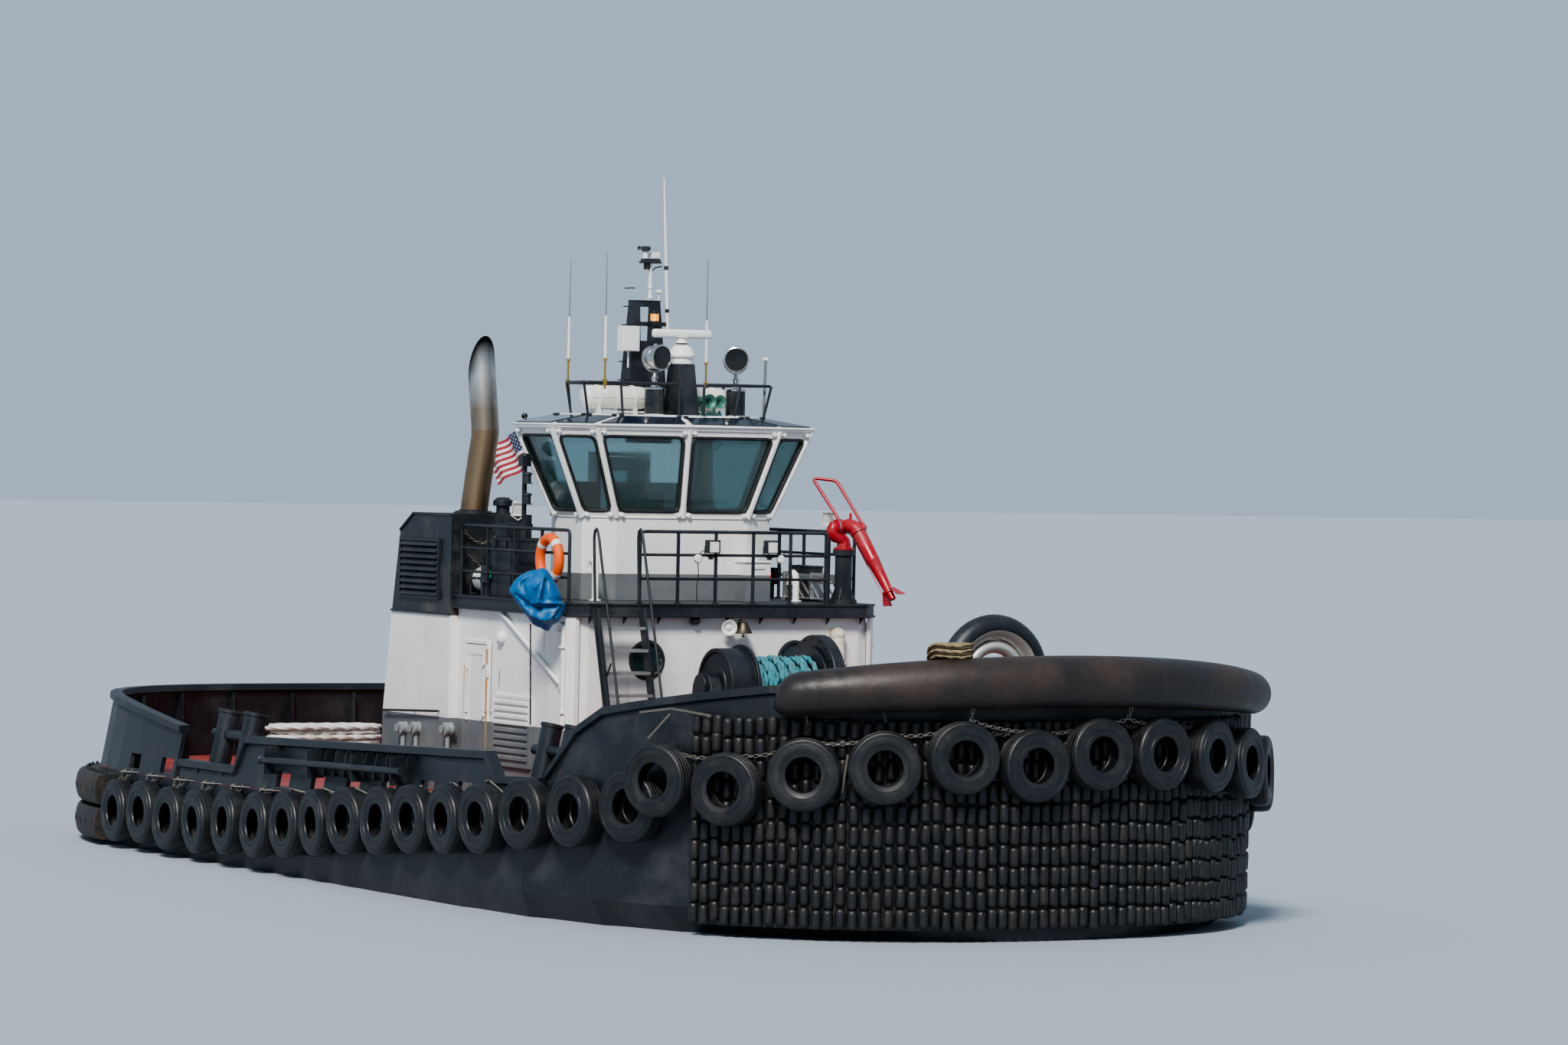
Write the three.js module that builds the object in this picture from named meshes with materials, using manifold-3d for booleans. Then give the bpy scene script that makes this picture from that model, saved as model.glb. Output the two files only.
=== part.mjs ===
// Harbour tug with two azimuthing thrusters and a fendered bow, afloat.
// Millimetres. X points to the bow, Y to port, Z up. The origin is amidships at the waterline.
import * as THREE from 'three';
import { mergeVertices } from 'three/addons/utils/BufferGeometryUtils.js';
import Module from 'manifold-3d';

const wasm = await Module();
wasm.setup();

// Hull
const HALF_BEAM = 5150;
const BOW_X = 11700;
const STERN_X = -11600;
const BOW_CURVE_START = 4600;
const BOW_POWER = 2.5;
const STERN_CURVE_START = -5600;
const STERN_POWER = 3.0;
const SEAT_GAP = 0.3;

// Main deck height, bulwark rim height and keel line along the hull
const DECK_LINE = [[-11700, 1160], [-5000, 1160], [0, 1220], [5000, 1420], [8000, 1720], [11800, 2150]];
const STERN_RIM_LINE = [[-11700, 2320], [-9000, 2300], [-7600, 2210], [-5300, 1960]];
const MID_RIM_LINE = [[-5200, 1470], [-3100, 1470], [-2900, 1930], [5150, 2150], [5550, 1840], [6750, 1880]];
const FORE_RIM_LINE = [[6850, 1960], [7600, 2820], [10600, 3300], [11900, 3400]];
const KEEL_LINE = [[-11700, -500], [-9500, -1050], [-7000, -1650], [-4500, -2500], [-2000, -2800],
  [7000, -2800], [9500, -2100], [11000, -900], [11800, -150]];

// Boat deck, deckhouse and casings
const BOAT_DECK_TOP = 4080;
const BOAT_DECK_DEPTH = 200;
const BOAT_DECK_FRONT = 2700;
const BOAT_DECK_HALF = 2500;
const HOUSE_FRONT = 2550;
const HOUSE_AFT = -3300;
const HOUSE_HALF = 2420;
const HOUSE_WALL = 90;
const CASING_FRONT = -1200;
const CASING_AFT = -3200;
const CASING_OUTER = 2560;
const CASING_INNER = 1250;
const CASING_TOP = 5260;
const RAIL_HEIGHT = 1020;
const RAIL_RADIUS = 25;

// Wheelhouse: plan corners from the front round to the aft wall, starboard side, at sill and eave
const SILL_HEIGHT = 5260;
const EAVE_HEIGHT = 6560;
const ROOF_TOP = 6765;
const SILL_PLAN = [[1180, 1070], [1000, 1540], [150, 1540], [-750, 1150]];
const EAVE_PLAN = [[1350, 1500], [1150, 2130], [0, 2130], [-950, 1400]];
const FRAME_WALL = 80;

// Exhaust stacks, mast and roof gear
const STACK_RADIUS = 205;
const STACK_FOOT = [-1830, 1900];
const STBD_STACK_TOP = 8000;
const PORT_STACK_TOP = 6450;
const MAST_TOP = 8430;

// Fenders
const LOG_RADIUS = 340;
const ROLL_PITCH = 150;
const ROLL_COUNT = 66;
const TYRE_RADIUS = 480;
const TYRE_THICKNESS = 290;

// Thrusters
const THRUSTER_X = -8300;
const THRUSTER_Y = 2150;
const THRUSTER_AXIS_Z = -2950;
const THRUSTER_TOP = -1560;
const RUNNING_GAP = 6;
const NOZZLE_RADIUS = 1230;
const PROPELLER_RADIUS = 1040;

const tug = new THREE.Group();

const PAINT = {
  blackPaint: [0x23272b, 0.55, 0.1],
  greyPaint: [0x6d7275, 0.6, 0.1],
  whitePaint: [0xe6e7e4, 0.5, 0.05],
  redPaint: [0xc01f2c, 0.45, 0.1],
  rubber: [0x1d1b1a, 0.85, 0.0],
  steel: [0x9a968c, 0.35, 0.9],
  bronze: [0x8a6a3c, 0.4, 0.9],
  glass: [0x7fa6a8, 0.1, 0.0],
  orange: [0xe8541a, 0.7, 0.0],
  blueCloth: [0x1767b8, 0.8, 0.0],
  rope: [0xd9d6cc, 0.9, 0.0],
  tealRope: [0x4aa7ae, 0.9, 0.0],
  tanRope: [0x9c8a5c, 0.9, 0.0],
  aluminium: [0xb9bbbb, 0.45, 0.8],
  antifouling: [0x1f2326, 0.6, 0.1],
};

// Turns a closed three.js geometry into a solid that can be joined and cut
function solid(geometry) {
  const plain = geometry.clone();
  plain.deleteAttribute('normal');
  plain.deleteAttribute('uv');
  const merged = mergeVertices(plain, 1e-3);
  return new wasm.Manifold(new wasm.Mesh({
    numProp: 3,
    vertProperties: new Float32Array(merged.attributes.position.array),
    triVerts: new Uint32Array(merged.index.array),
  }));
}

function join(pieces) {
  return pieces.reduce((whole, piece) => whole.add(piece));
}

function mirrored(piece) {
  return piece.mirror([0, 1, 0]);
}

// Drops the thin offcuts that a trim against the hull leaves beside the main body
function mainBody(piece) {
  const bodies = piece.decompose().sort((a, b) => b.volume() - a.volume());
  return bodies[0];
}

// Adds one named mesh, with its own material, to the tug
function node(name, piece, paint) {
  const mesh = mainBody(piece).getMesh();
  const geometry = new THREE.BufferGeometry();
  geometry.setAttribute('position', new THREE.BufferAttribute(new Float32Array(mesh.vertProperties), 3));
  geometry.setIndex(new THREE.BufferAttribute(new Uint32Array(mesh.triVerts), 1));
  geometry.computeVertexNormals();
  const [color, roughness, metalness] = PAINT[paint];
  const material = new THREE.MeshStandardMaterial({ color, roughness, metalness });
  const part = new THREE.Mesh(geometry, material);
  part.name = name;
  tug.add(part);
  return part;
}

function block(x0, x1, y0, y1, z0, z1) {
  const geometry = new THREE.BoxGeometry(x1 - x0, y1 - y0, z1 - z0);
  geometry.translate((x0 + x1) / 2, (y0 + y1) / 2, (z0 + z1) / 2);
  return solid(geometry);
}

// A round bar or cone between two points
function rod(from, to, radius, sides = 8, endRadius = radius) {
  const a = new THREE.Vector3(...from);
  const b = new THREE.Vector3(...to);
  const geometry = new THREE.CylinderGeometry(endRadius, radius, a.distanceTo(b), sides);
  const turn = new THREE.Quaternion().setFromUnitVectors(
    new THREE.Vector3(0, 1, 0),
    b.clone().sub(a).normalize(),
  );
  geometry.applyQuaternion(turn);
  geometry.translate((a.x + b.x) / 2, (a.y + b.y) / 2, (a.z + b.z) / 2);
  return solid(geometry);
}

function ball(centre, radius, sides = 8) {
  const geometry = new THREE.SphereGeometry(radius, sides, Math.max(4, sides / 2));
  geometry.rotateX(Math.PI / 2);
  geometry.translate(...centre);
  return solid(geometry);
}

function outlineShape(outline) {
  return new THREE.Shape(outline.map(([a, b]) => new THREE.Vector2(a, b)));
}

// An outline in plan, raised from z0 to z1
function prism(outline, z0, z1) {
  const geometry = new THREE.ExtrudeGeometry(outlineShape(outline), { depth: z1 - z0, bevelEnabled: false });
  geometry.translate(0, 0, z0);
  return solid(geometry);
}

// An outline in side view (x, z), drawn out from y0 to y1
function sidePrism(outline, y0, y1) {
  const geometry = new THREE.ExtrudeGeometry(outlineShape(outline), { depth: y1 - y0, bevelEnabled: false });
  geometry.rotateX(Math.PI / 2);
  geometry.translate(0, y1, 0);
  return solid(geometry);
}

// A profile (radius, height) turned about a vertical axis
function turned(profile, sides) {
  const geometry = new THREE.LatheGeometry(profile.map(([r, h]) => new THREE.Vector2(r, h)), sides);
  geometry.rotateX(Math.PI / 2);
  return solid(geometry);
}

// Skins a row of rings that hold the same number of points. plane names the two axes of the end caps,
// or is null where the end rings are convex and a fan will do.
function loft(rings, plane, closed = false) {
  const count = rings[0].length;
  const positions = rings.flat(2);
  const index = [];
  const turns = closed ? rings.length : rings.length - 1;
  for (let r = 0; r < turns; r += 1) {
    const next = (r + 1) % rings.length;
    for (let i = 0; i < count; i += 1) {
      const j = (i + 1) % count;
      const [a, b, c, d] = [r * count + i, r * count + j, next * count + i, next * count + j];
      index.push(a, b, d, a, d, c);
    }
  }
  if (!closed) {
    for (const [r, wanted] of [[0, -1], [rings.length - 1, 1]]) {
      if (plane === null) {
        for (let k = 1; k + 1 < count; k += 1) {
          const ordered = wanted > 0 ? [0, k, k + 1] : [0, k + 1, k];
          index.push(...ordered.map((i) => r * count + i));
        }
        continue;
      }
      const flat = rings[r].map((p) => new THREE.Vector2(p[plane[0]], p[plane[1]]));
      const ringSign = Math.sign(THREE.ShapeUtils.area(flat));
      for (const [a, b, c] of THREE.ShapeUtils.triangulateShape(flat, [])) {
        const sign = Math.sign(THREE.ShapeUtils.area([flat[a], flat[b], flat[c]]));
        const ordered = sign * ringSign === wanted ? [a, b, c] : [a, c, b];
        index.push(...ordered.map((k) => r * count + k));
      }
    }
  }
  let volume = 0;
  for (let t = 0; t < index.length; t += 3) {
    const [a, b, c] = [0, 1, 2].map((k) => new THREE.Vector3().fromArray(positions, index[t + k] * 3));
    volume += a.dot(b.cross(c));
  }
  if (volume < 0) {
    for (let t = 0; t < index.length; t += 3) {
      [index[t + 1], index[t + 2]] = [index[t + 2], index[t + 1]];
    }
  }
  const geometry = new THREE.BufferGeometry();
  geometry.setAttribute('position', new THREE.Float32BufferAttribute(positions, 3));
  geometry.setIndex(index);
  return solid(geometry);
}

// A round pipe through a list of points, mitred at each corner
function pipe(points, radius, sides = 6) {
  const path = points.map((p) => new THREE.Vector3(...p));
  const directions = path.slice(1).map((p, i) => p.clone().sub(path[i]).normalize());
  const side = new THREE.Vector3(0, 0, 1).cross(directions[0]);
  if (side.length() < 0.01) side.set(1, 0, 0);
  side.normalize();
  const rings = path.map((point, i) => {
    const before = directions[Math.max(0, i - 1)];
    const after = directions[Math.min(directions.length - 1, i)];
    if (i > 1) {
      side.applyQuaternion(new THREE.Quaternion().setFromUnitVectors(directions[i - 2], before));
    }
    const up = before.clone().cross(side);
    const mitre = before.clone().add(after).normalize();
    const ring = [];
    for (let k = 0; k < sides; k += 1) {
      const angle = ((k + 0.5) / sides) * 2 * Math.PI;
      const offset = side.clone().multiplyScalar(Math.cos(angle) * radius);
      offset.addScaledVector(up, Math.sin(angle) * radius);
      offset.addScaledVector(before, -offset.dot(mitre) / before.dot(mitre));
      ring.push(point.clone().add(offset).toArray());
    }
    return ring;
  });
  return loft(rings, null);
}

function along(line, x) {
  if (x <= line[0][0]) return line[0][1];
  for (let i = 1; i < line.length; i += 1) {
    const [x0, v0] = line[i - 1];
    const [x1, v1] = line[i];
    if (x <= x1) return v0 + ((v1 - v0) * (x - x0)) / (x1 - x0);
  }
  return line[line.length - 1][1];
}

// Hull outline at deck level: half breadth at a station
function halfBreadth(x) {
  if (x > BOW_CURVE_START) {
    const part = Math.min(1, (x - BOW_CURVE_START) / (BOW_X - BOW_CURVE_START));
    return HALF_BEAM * (1 - part ** BOW_POWER) ** (1 / BOW_POWER);
  }
  if (x < STERN_CURVE_START) {
    const part = Math.min(1, (STERN_CURVE_START - x) / (STERN_CURVE_START - STERN_X));
    return HALF_BEAM * (1 - part ** STERN_POWER) ** (1 / STERN_POWER);
  }
  return HALF_BEAM;
}

// The starboard half of the deck outline as points with outward normals, stern centre to bow centre
function outlinePoints() {
  const points = [];
  const steps = 60;
  for (let i = 0; i <= steps; i += 1) {
    const angle = (i / steps) * (Math.PI / 2);
    const x = STERN_CURVE_START - (STERN_CURVE_START - STERN_X) * Math.cos(angle) ** (2 / STERN_POWER);
    points.push([x, -HALF_BEAM * Math.sin(angle) ** (2 / STERN_POWER)]);
  }
  for (let i = 0; i <= steps; i += 1) {
    const angle = (i / steps) * (Math.PI / 2);
    const x = BOW_CURVE_START + (BOW_X - BOW_CURVE_START) * Math.sin(angle) ** (2 / BOW_POWER);
    points.push([x, -HALF_BEAM * Math.cos(angle) ** (2 / BOW_POWER)]);
  }
  return points;
}

const EDGE = outlinePoints();
const EDGE_LENGTHS = [0];
for (let i = 1; i < EDGE.length; i += 1) {
  const step = Math.hypot(EDGE[i][0] - EDGE[i - 1][0], EDGE[i][1] - EDGE[i - 1][1]);
  EDGE_LENGTHS.push(EDGE_LENGTHS[i - 1] + step);
}
const HALF_GIRTH = EDGE_LENGTHS[EDGE_LENGTHS.length - 1];

// A place on the outline, by its distance from the stern centre round the starboard side.
// Distances past HALF_GIRTH, or below 0, go on round the port side.
function edgeAt(distance) {
  if (distance < 0 || distance > HALF_GIRTH) {
    const inside = distance < 0 ? -distance : 2 * HALF_GIRTH - distance;
    const place = edgeAt(inside);
    return { x: place.x, y: -place.y, nx: place.nx, ny: -place.ny };
  }
  let i = 1;
  while (i < EDGE.length - 1 && EDGE_LENGTHS[i] < distance) i += 1;
  const share = (distance - EDGE_LENGTHS[i - 1]) / (EDGE_LENGTHS[i] - EDGE_LENGTHS[i - 1] || 1);
  const [x0, y0] = EDGE[i - 1];
  const [x1, y1] = EDGE[i];
  const length = Math.hypot(x1 - x0, y1 - y0) || 1;
  const atEnd = distance < 1 || distance > HALF_GIRTH - 1;
  return {
    x: x0 + (x1 - x0) * share,
    y: y0 + (y1 - y0) * share,
    nx: atEnd ? Math.sign(x0) : (y1 - y0) / length,
    ny: atEnd ? 0 : -(x1 - x0) / length,
  };
}

function distanceAtX(x) {
  let i = 1;
  while (i < EDGE.length - 1 && EDGE[i][0] < x) i += 1;
  const share = (x - EDGE[i - 1][0]) / (EDGE[i][0] - EDGE[i - 1][0] || 1);
  return EDGE_LENGTHS[i - 1] + (EDGE_LENGTHS[i] - EDGE_LENGTHS[i - 1]) * share;
}

// A band that follows the outline; profile(place) gives its section as [outward, z] pairs
function edgeBand(from, to, steps, profile, closed = false) {
  const rings = [];
  const last = closed ? steps - 1 : steps;
  for (let i = 0; i <= last; i += 1) {
    const distance = from + ((to - from) * i) / steps;
    const place = edgeAt(distance);
    rings.push(profile(place, distance).map(([out, z]) => [place.x + place.nx * out, place.y + place.ny * out, z]));
  }
  const plane = closed || Math.abs(rings[0][0][0] - rings[0][2][0]) > 30 ? [0, 2] : [1, 2];
  return loft(rings, plane, closed);
}

// Hull: stations from stern to bow, each a ring from the starboard deck edge under the keel to port
const STATIONS = [-11590, -11450, -11150, -10600, -9800, -8600, -7200, -5600, -2800, 0, 2400, 4600,
  6400, 7900, 9100, 10100, 10850, 11300, 11560, 11680];
function hullRing(x) {
  const half = Math.max(halfBreadth(x), 300);
  const keel = along(KEEL_LINE, x);
  const fullness = x > 4600 ? 1 - 0.45 * ((x - 4600) / (BOW_X - 4600)) ** 1.5 : 1;
  const side = [
    [half, along(DECK_LINE, x)],
    [half * (0.97 + 0.03 * fullness), 350],
    [half * 0.93 * fullness, keel * 0.5],
    [half * 0.72 * fullness, keel * 0.9],
    [half * 0.3 * fullness, keel],
  ];
  const starboard = side.map(([y, z]) => [x, -y, z]);
  const port = side.map(([y, z]) => [x, y, z]).reverse();
  return [...starboard, ...port];
}
const bareHull = loft(STATIONS.map(hullRing), [1, 2]);
const skeg = sidePrism([[-5200, -2000], [-4300, -3900], [3500, -3900], [6200, -2500], [6200, -2000]], -190, 190);
const thrusterPads = [-1, 1].map((side) => rod([THRUSTER_X, side * THRUSTER_Y, -900],
  [THRUSTER_X, side * THRUSTER_Y, THRUSTER_TOP], 660, 16));
const AFT_HATCHES = { x0: -7600, x1: -6200, inner: 1000, outer: 3000, top: 1510 };
const hatchStbd = block(AFT_HATCHES.x0, AFT_HATCHES.x1, -AFT_HATCHES.outer, -AFT_HATCHES.inner, 1000, AFT_HATCHES.top);
const hull = join([bareHull, skeg, ...thrusterPads, hatchStbd, mirrored(hatchStbd)]);
const hullRoom = bareHull.scale([1.0001, 1.0001, 1]).translate([0, 0, SEAT_GAP])
  .add(bareHull.translate([0, 0, -SEAT_GAP]));
node('hull', hull, 'antifouling');

// Cuts a deck or side fitting back to the hull, leaving the seating gap
function seatOnHull(piece) {
  return piece.subtract(hullRoom);
}

// The deck is straight between stations, so its height is read along them
const DECK_PROFILE = STATIONS.map((x) => [x, along(DECK_LINE, x)]);
function deckZ(x) {
  return along(DECK_PROFILE, x);
}

// Bulwarks: a plated wall that leans inboard, less and less to the bow, under a thick rounded cap
const LEAN_LINE = [[7500, 0.16], [9300, 0]];
function bulwarkProfile(rimLine) {
  return (place) => {
    const deck = deckZ(place.x) - 60;
    const rim = along(rimLine, place.x);
    const lean = (rim - deck) * along(LEAN_LINE, place.x);
    return [
      [-20, deck], [-20 - lean, rim - 130], [40 - lean, rim - 100], [30 - lean, rim],
      [-140 - lean, rim], [-150 - lean, rim - 100], [-90 - lean, rim - 130], [-90, deck],
    ];
  };
}
const FREEING_PORTS = [-7000, -5700, -1400, -200, 1000, 2200, 3400, 4600];
function freeingPortCuts(side) {
  const cuts = FREEING_PORTS.map((x) => block(x - 230, x + 230, side * 4700 - 700, side * 4700 + 700,
    deckZ(x) + 60, deckZ(x) + 290));
  return join(cuts);
}
const sternStart = -distanceAtX(-5350);
const bothPorts = freeingPortCuts(-1).add(freeingPortCuts(1));
const bulwarkStern = edgeBand(sternStart, -sternStart, 24, bulwarkProfile(STERN_RIM_LINE));
node('bulwark_stern', seatOnHull(bulwarkStern).subtract(bothPorts), 'blackPaint');

// The midship bulwark is low where the two pairs of bitts stand
function midBulwark() {
  const stops = [-5200, -3120, -2900, -1400, 1900, 5150, 5550, 6100, 6750];
  const rings = stops.map((x) => {
    const place = edgeAt(distanceAtX(x));
    return bulwarkProfile(MID_RIM_LINE)(place).map(([out, z]) => [x, place.y + place.ny * out, z]);
  });
  return loft(rings, [1, 2]);
}
function pipeRack() {
  const pieces = [rod([-1900, -5230, 1640], [2900, -5230, 1740], 45, 6)];
  for (const x of [-1700, -200, 1300, 2600]) {
    pieces.push(block(x - 12, x + 12, -5265, -4985, 1480 + x * 0.02, 1880 + x * 0.02));
  }
  return join(pieces);
}
// Bitts: two posts that lean inboard, joined by a cross bar, welded in at the low ends of the bulwark
function bitts({ x, spacing, foot, top, radius }) {
  const pieces = [];
  const barY = -foot + 150;
  for (const px of [x - spacing / 2, x + spacing / 2]) {
    pieces.push(rod([px, -foot, deckZ(px) - 80], [px, -foot + 230, top], radius, 10));
    pieces.push(rod([px, -foot + 229, top - 1], [px, -foot + 240, top + 40], radius * 1.12, 10, radius * 0.8));
    pieces.push(block(px - 90, px + 90, -foot - 330, -foot + 60, deckZ(px) - 60, deckZ(px) + 240));
  }
  const reach = spacing / 2 + 330;
  pieces.push(rod([x - reach, barY, top - 320], [x + reach, barY, top - 320], radius * 0.5, 6));
  return join(pieces);
}
const BITTS = [
  { x: -4150, spacing: 940, foot: 4760, top: 2180, radius: 160 },
  { x: 6080, spacing: 700, foot: 4560, top: 2500, radius: 140 },
];
const midStarboard = seatOnHull(join([midBulwark(), ...BITTS.map(bitts)]))
  .subtract(freeingPortCuts(-1)).add(pipeRack());
node('bulwark_mid_stbd', midStarboard, 'blackPaint');
node('bulwark_mid_port', mirrored(midStarboard), 'blackPaint');

const foreFrom = distanceAtX(6860);
const bulwarkFore = edgeBand(foreFrom, 2 * HALF_GIRTH - foreFrom, 28, bulwarkProfile(FORE_RIM_LINE));
node('bulwark_fore', seatOnHull(bulwarkFore), 'blackPaint');

// Stern fenders: two D-section rubbers round the stern
const sternFenderEnd = distanceAtX(-7650);
function sternFender(top, depth) {
  return edgeBand(-sternFenderEnd, sternFenderEnd, 26, () => [
    [-60, top], [260, top], [350, top - depth * 0.3], [350, top - depth * 0.7], [260, top - depth], [-60, top - depth],
  ]);
}
const sternBacking = edgeBand(-sternFenderEnd, sternFenderEnd, 26, () => [[-60, 700], [25, 700], [25, 500], [-60, 500]]);
node('fender_stern', seatOnHull(sternFender(1095, 480).add(sternFender(580, 500)).add(sternBacking)), 'rubber');

// Bow fender: a wall of upright rubber rolls, scalloped in plan
const rollFrom = HALF_GIRTH - (ROLL_COUNT * ROLL_PITCH) / 2;
function rollWall() {
  const outer = [];
  for (let i = 0; i < ROLL_COUNT; i += 1) {
    for (const [share, out] of [[0, 110], [0.5, 185]]) {
      const place = edgeAt(rollFrom + (i + share) * ROLL_PITCH);
      outer.push([place.x + place.nx * out, place.y + place.ny * out]);
    }
  }
  const inner = [];
  for (let i = 0; i <= 12; i += 1) {
    const place = edgeAt(rollFrom + (i / 12) * ROLL_COUNT * ROLL_PITCH);
    inner.push([place.x - place.nx * 45, place.y - place.ny * 45]);
  }
  return prism([...outer, ...inner.reverse()], 150, 2880);
}
const bulwarkRoom = join([bulwarkFore, bulwarkFore.translate([SEAT_GAP, 0, 0]), bulwarkFore.translate([0, 0, SEAT_GAP]),
  bulwarkFore.translate([0, 0, -SEAT_GAP]), bulwarkFore.scale([1.0002, 1.0002, 1])]);
node('fender_bow_rolls', seatOnHull(rollWall()).subtract(bulwarkRoom), 'rubber');

// Bow log: one thick round rubber along the top of the bow
function bowLog() {
  const points = [];
  const radii = [0.62, 0.9, 1, 1, 1, 1, 1, 1, 1, 0.9, 0.62];
  const rings = radii.map((share, i) => {
    const distance = HALF_GIRTH + ((i - 5) / 5) * 3750;
    const place = edgeAt(distance);
    const out = 330;
    const z = 3380 - 200 * Math.abs((i - 5) / 5) ** 2;
    const ring = [];
    for (let k = 0; k < 12; k += 1) {
      const angle = (k / 12) * 2 * Math.PI;
      const reach = out + LOG_RADIUS * share * Math.cos(angle);
      ring.push([place.x + place.nx * reach, place.y + place.ny * reach, z + LOG_RADIUS * share * Math.sin(angle)]);
    }
    return ring;
  });
  return loft(rings, [0, 2]);
}
const rollRoom = rollWall().translate([0, 0, SEAT_GAP]);
const bowLogBody = bowLog().subtract(bulwarkRoom);
node('fender_bow_log', bowLogBody, 'rubber');

// Tyres hung along the side and round the bow: distance from the stern centre, centre height
function tyre(distance, z, out) {
  const half = TYRE_THICKNESS / 2;
  const profile = [
    [TYRE_RADIUS * 0.46, -half * 0.75], [TYRE_RADIUS, -half * 0.85],
    [TYRE_RADIUS, half * 0.85], [TYRE_RADIUS * 0.46, half * 0.75], [TYRE_RADIUS * 0.46, -half * 0.75],
  ];
  const place = edgeAt(distance);
  const angle = Math.atan2(place.ny, place.nx);
  const geometry = new THREE.LatheGeometry(profile.map(([r, h]) => new THREE.Vector2(r, h)), 10);
  geometry.rotateZ(-Math.PI / 2);
  geometry.rotateZ(angle);
  geometry.translate(place.x + place.nx * out, place.y + place.ny * out, z);
  return solid(geometry);
}
const SIDE_TYRE_PITCH = 1060;
const SIDE_TYRE_COUNT = 16;
const SIDE_TYRE_LINE = [[-7000, 600], [-3000, 640], [3000, 1060], [6000, 1330], [9000, 1620]];
function sideTyres() {
  const start = distanceAtX(-7050);
  const tyres = [];
  for (let i = 0; i < SIDE_TYRE_COUNT; i += 1) {
    const distance = start + i * SIDE_TYRE_PITCH;
    tyres.push(tyre(distance, along(SIDE_TYRE_LINE, edgeAt(distance).x), 160));
  }
  const chain = edgeBand(start, start + (SIDE_TYRE_COUNT - 1) * SIDE_TYRE_PITCH, 16, (place) => {
    const z = along(SIDE_TYRE_LINE, place.x) + TYRE_RADIUS * 0.66;
    return [[-30, z - 22], [-30, z + 22], [70, z + 22], [70, z - 22]];
  });
  return join([chain, ...tyres]);
}
const starboardTyres = seatOnHull(sideTyres()).subtract(bulwarkRoom).subtract(midStarboard.scale([1, 1.0002, 1]));
node('tyres_side_stbd', starboardTyres, 'rubber');
node('tyres_side_port', mirrored(starboardTyres), 'rubber');

// distance from the bow centre along the outline (starboard negative), centre height
const BOW_TYRES = [[-5300, 2000], [-4330, 1930], [-3370, 2150], [-2420, 2260], [-1470, 2400], [-520, 2300],
  [430, 2440], [1380, 2430], [2330, 2380], [3280, 2250], [4230, 2100], [5180, 1960]];
const bowChain = edgeBand(HALF_GIRTH - 5300, HALF_GIRTH + 5180, 22, (place, distance) => {
  const z = along(BOW_TYRES, distance - HALF_GIRTH) + TYRE_RADIUS * 0.66;
  return [[215, z - 22], [215, z + 22], [260, z + 22], [260, z - 22]];
});
const bowTyres = join([bowChain, ...BOW_TYRES.map(([distance, z]) => tyre(HALF_GIRTH + distance, z, 330))]);
const wideTyres = starboardTyres.scale([1.00005, 1.00005, 1]);
const sideTyreRoom = wideTyres.translate([0, 0, 0.4]).add(wideTyres.translate([0, 0, -0.4]));
node('tyres_bow', seatOnHull(bowTyres).subtract(bulwarkRoom).subtract(rollRoom.scale([1.0001, 1.0001, 1]))
  .subtract(sideTyreRoom).subtract(mirrored(sideTyreRoom)), 'rubber');

// Bow staple: an inverted U of heavy pipe with a polished liner inside it
function arch(x, halfWidth, springZ, footZ, radius, sides) {
  const points = [[x, -halfWidth, footZ]];
  for (let i = 0; i <= 8; i += 1) {
    const angle = Math.PI - (i / 8) * Math.PI;
    points.push([x, Math.cos(angle) * halfWidth, springZ + Math.sin(angle) * halfWidth]);
  }
  points.push([x, halfWidth, footZ]);
  return pipe(points, radius, sides);
}
const stapleFoot = deckZ(10050) - 100;
const stapleBaseTop = deckZ(10050) + 190;
const staple = arch(10050, 640, 3380, stapleFoot, 165, 10);
const stapleBase = block(9700, 10400, -860, 860, stapleFoot - 200, stapleBaseTop);
const stapleLiner = arch(10050, 380, 3380, stapleBaseTop + SEAT_GAP, 88, 8);
node('bow_staple', seatOnHull(staple.add(stapleBase)), 'blackPaint');
node('bow_staple_liner', stapleLiner, 'steel');

// Winch on the fore deck: a drum with a brake wheel to starboard, and its gear case and motor to port
const WINCH_X = 4300;
const WINCH_AXIS_Z = 2980;
const BRAKE_WHEEL = { y0: -1090, y1: -700, radius: 530 };
const DRUM_FLANGES = [{ y0: -700, y1: -655, radius: 585 }, { y0: 400, y1: 440, radius: 560 }];
const GEAR_CASE = { y0: 450, y1: 650, radius: 720 };
const WINCH_MOTOR = { y0: 640, y1: 1080, radius: 270 };
function onWinchAxis({ y0, y1, radius }, sides) {
  return rod([WINCH_X, y0, WINCH_AXIS_Z], [WINCH_X, y1, WINCH_AXIS_Z], radius, sides);
}
function winchFrame() {
  const stand = [[WINCH_X - 520, 1650], [WINCH_X - 200, WINCH_AXIS_Z + 180], [WINCH_X + 200, WINCH_AXIS_Z + 180],
    [WINCH_X + 520, 1650]];
  return join([
    block(WINCH_X - 700, WINCH_X + 700, -1340, 1140, deckZ(WINCH_X) - 200, 1700),
    sidePrism(stand, -1290, -1120),
    block(WINCH_X - 520, WINCH_X + 520, 470, 630, 1650, WINCH_AXIS_Z),
    onWinchAxis(GEAR_CASE, 20),
    onWinchAxis(WINCH_MOTOR, 14),
    block(WINCH_X - 240, WINCH_X + 240, 640, 1060, 1650, WINCH_AXIS_Z),
  ]).subtract(onWinchAxis({ y0: -1400, y1: 560, radius: 95 }, 12));
}
node('winch_frame', seatOnHull(winchFrame()), 'blackPaint');
const DRUM_RADIUS = 260;
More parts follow.
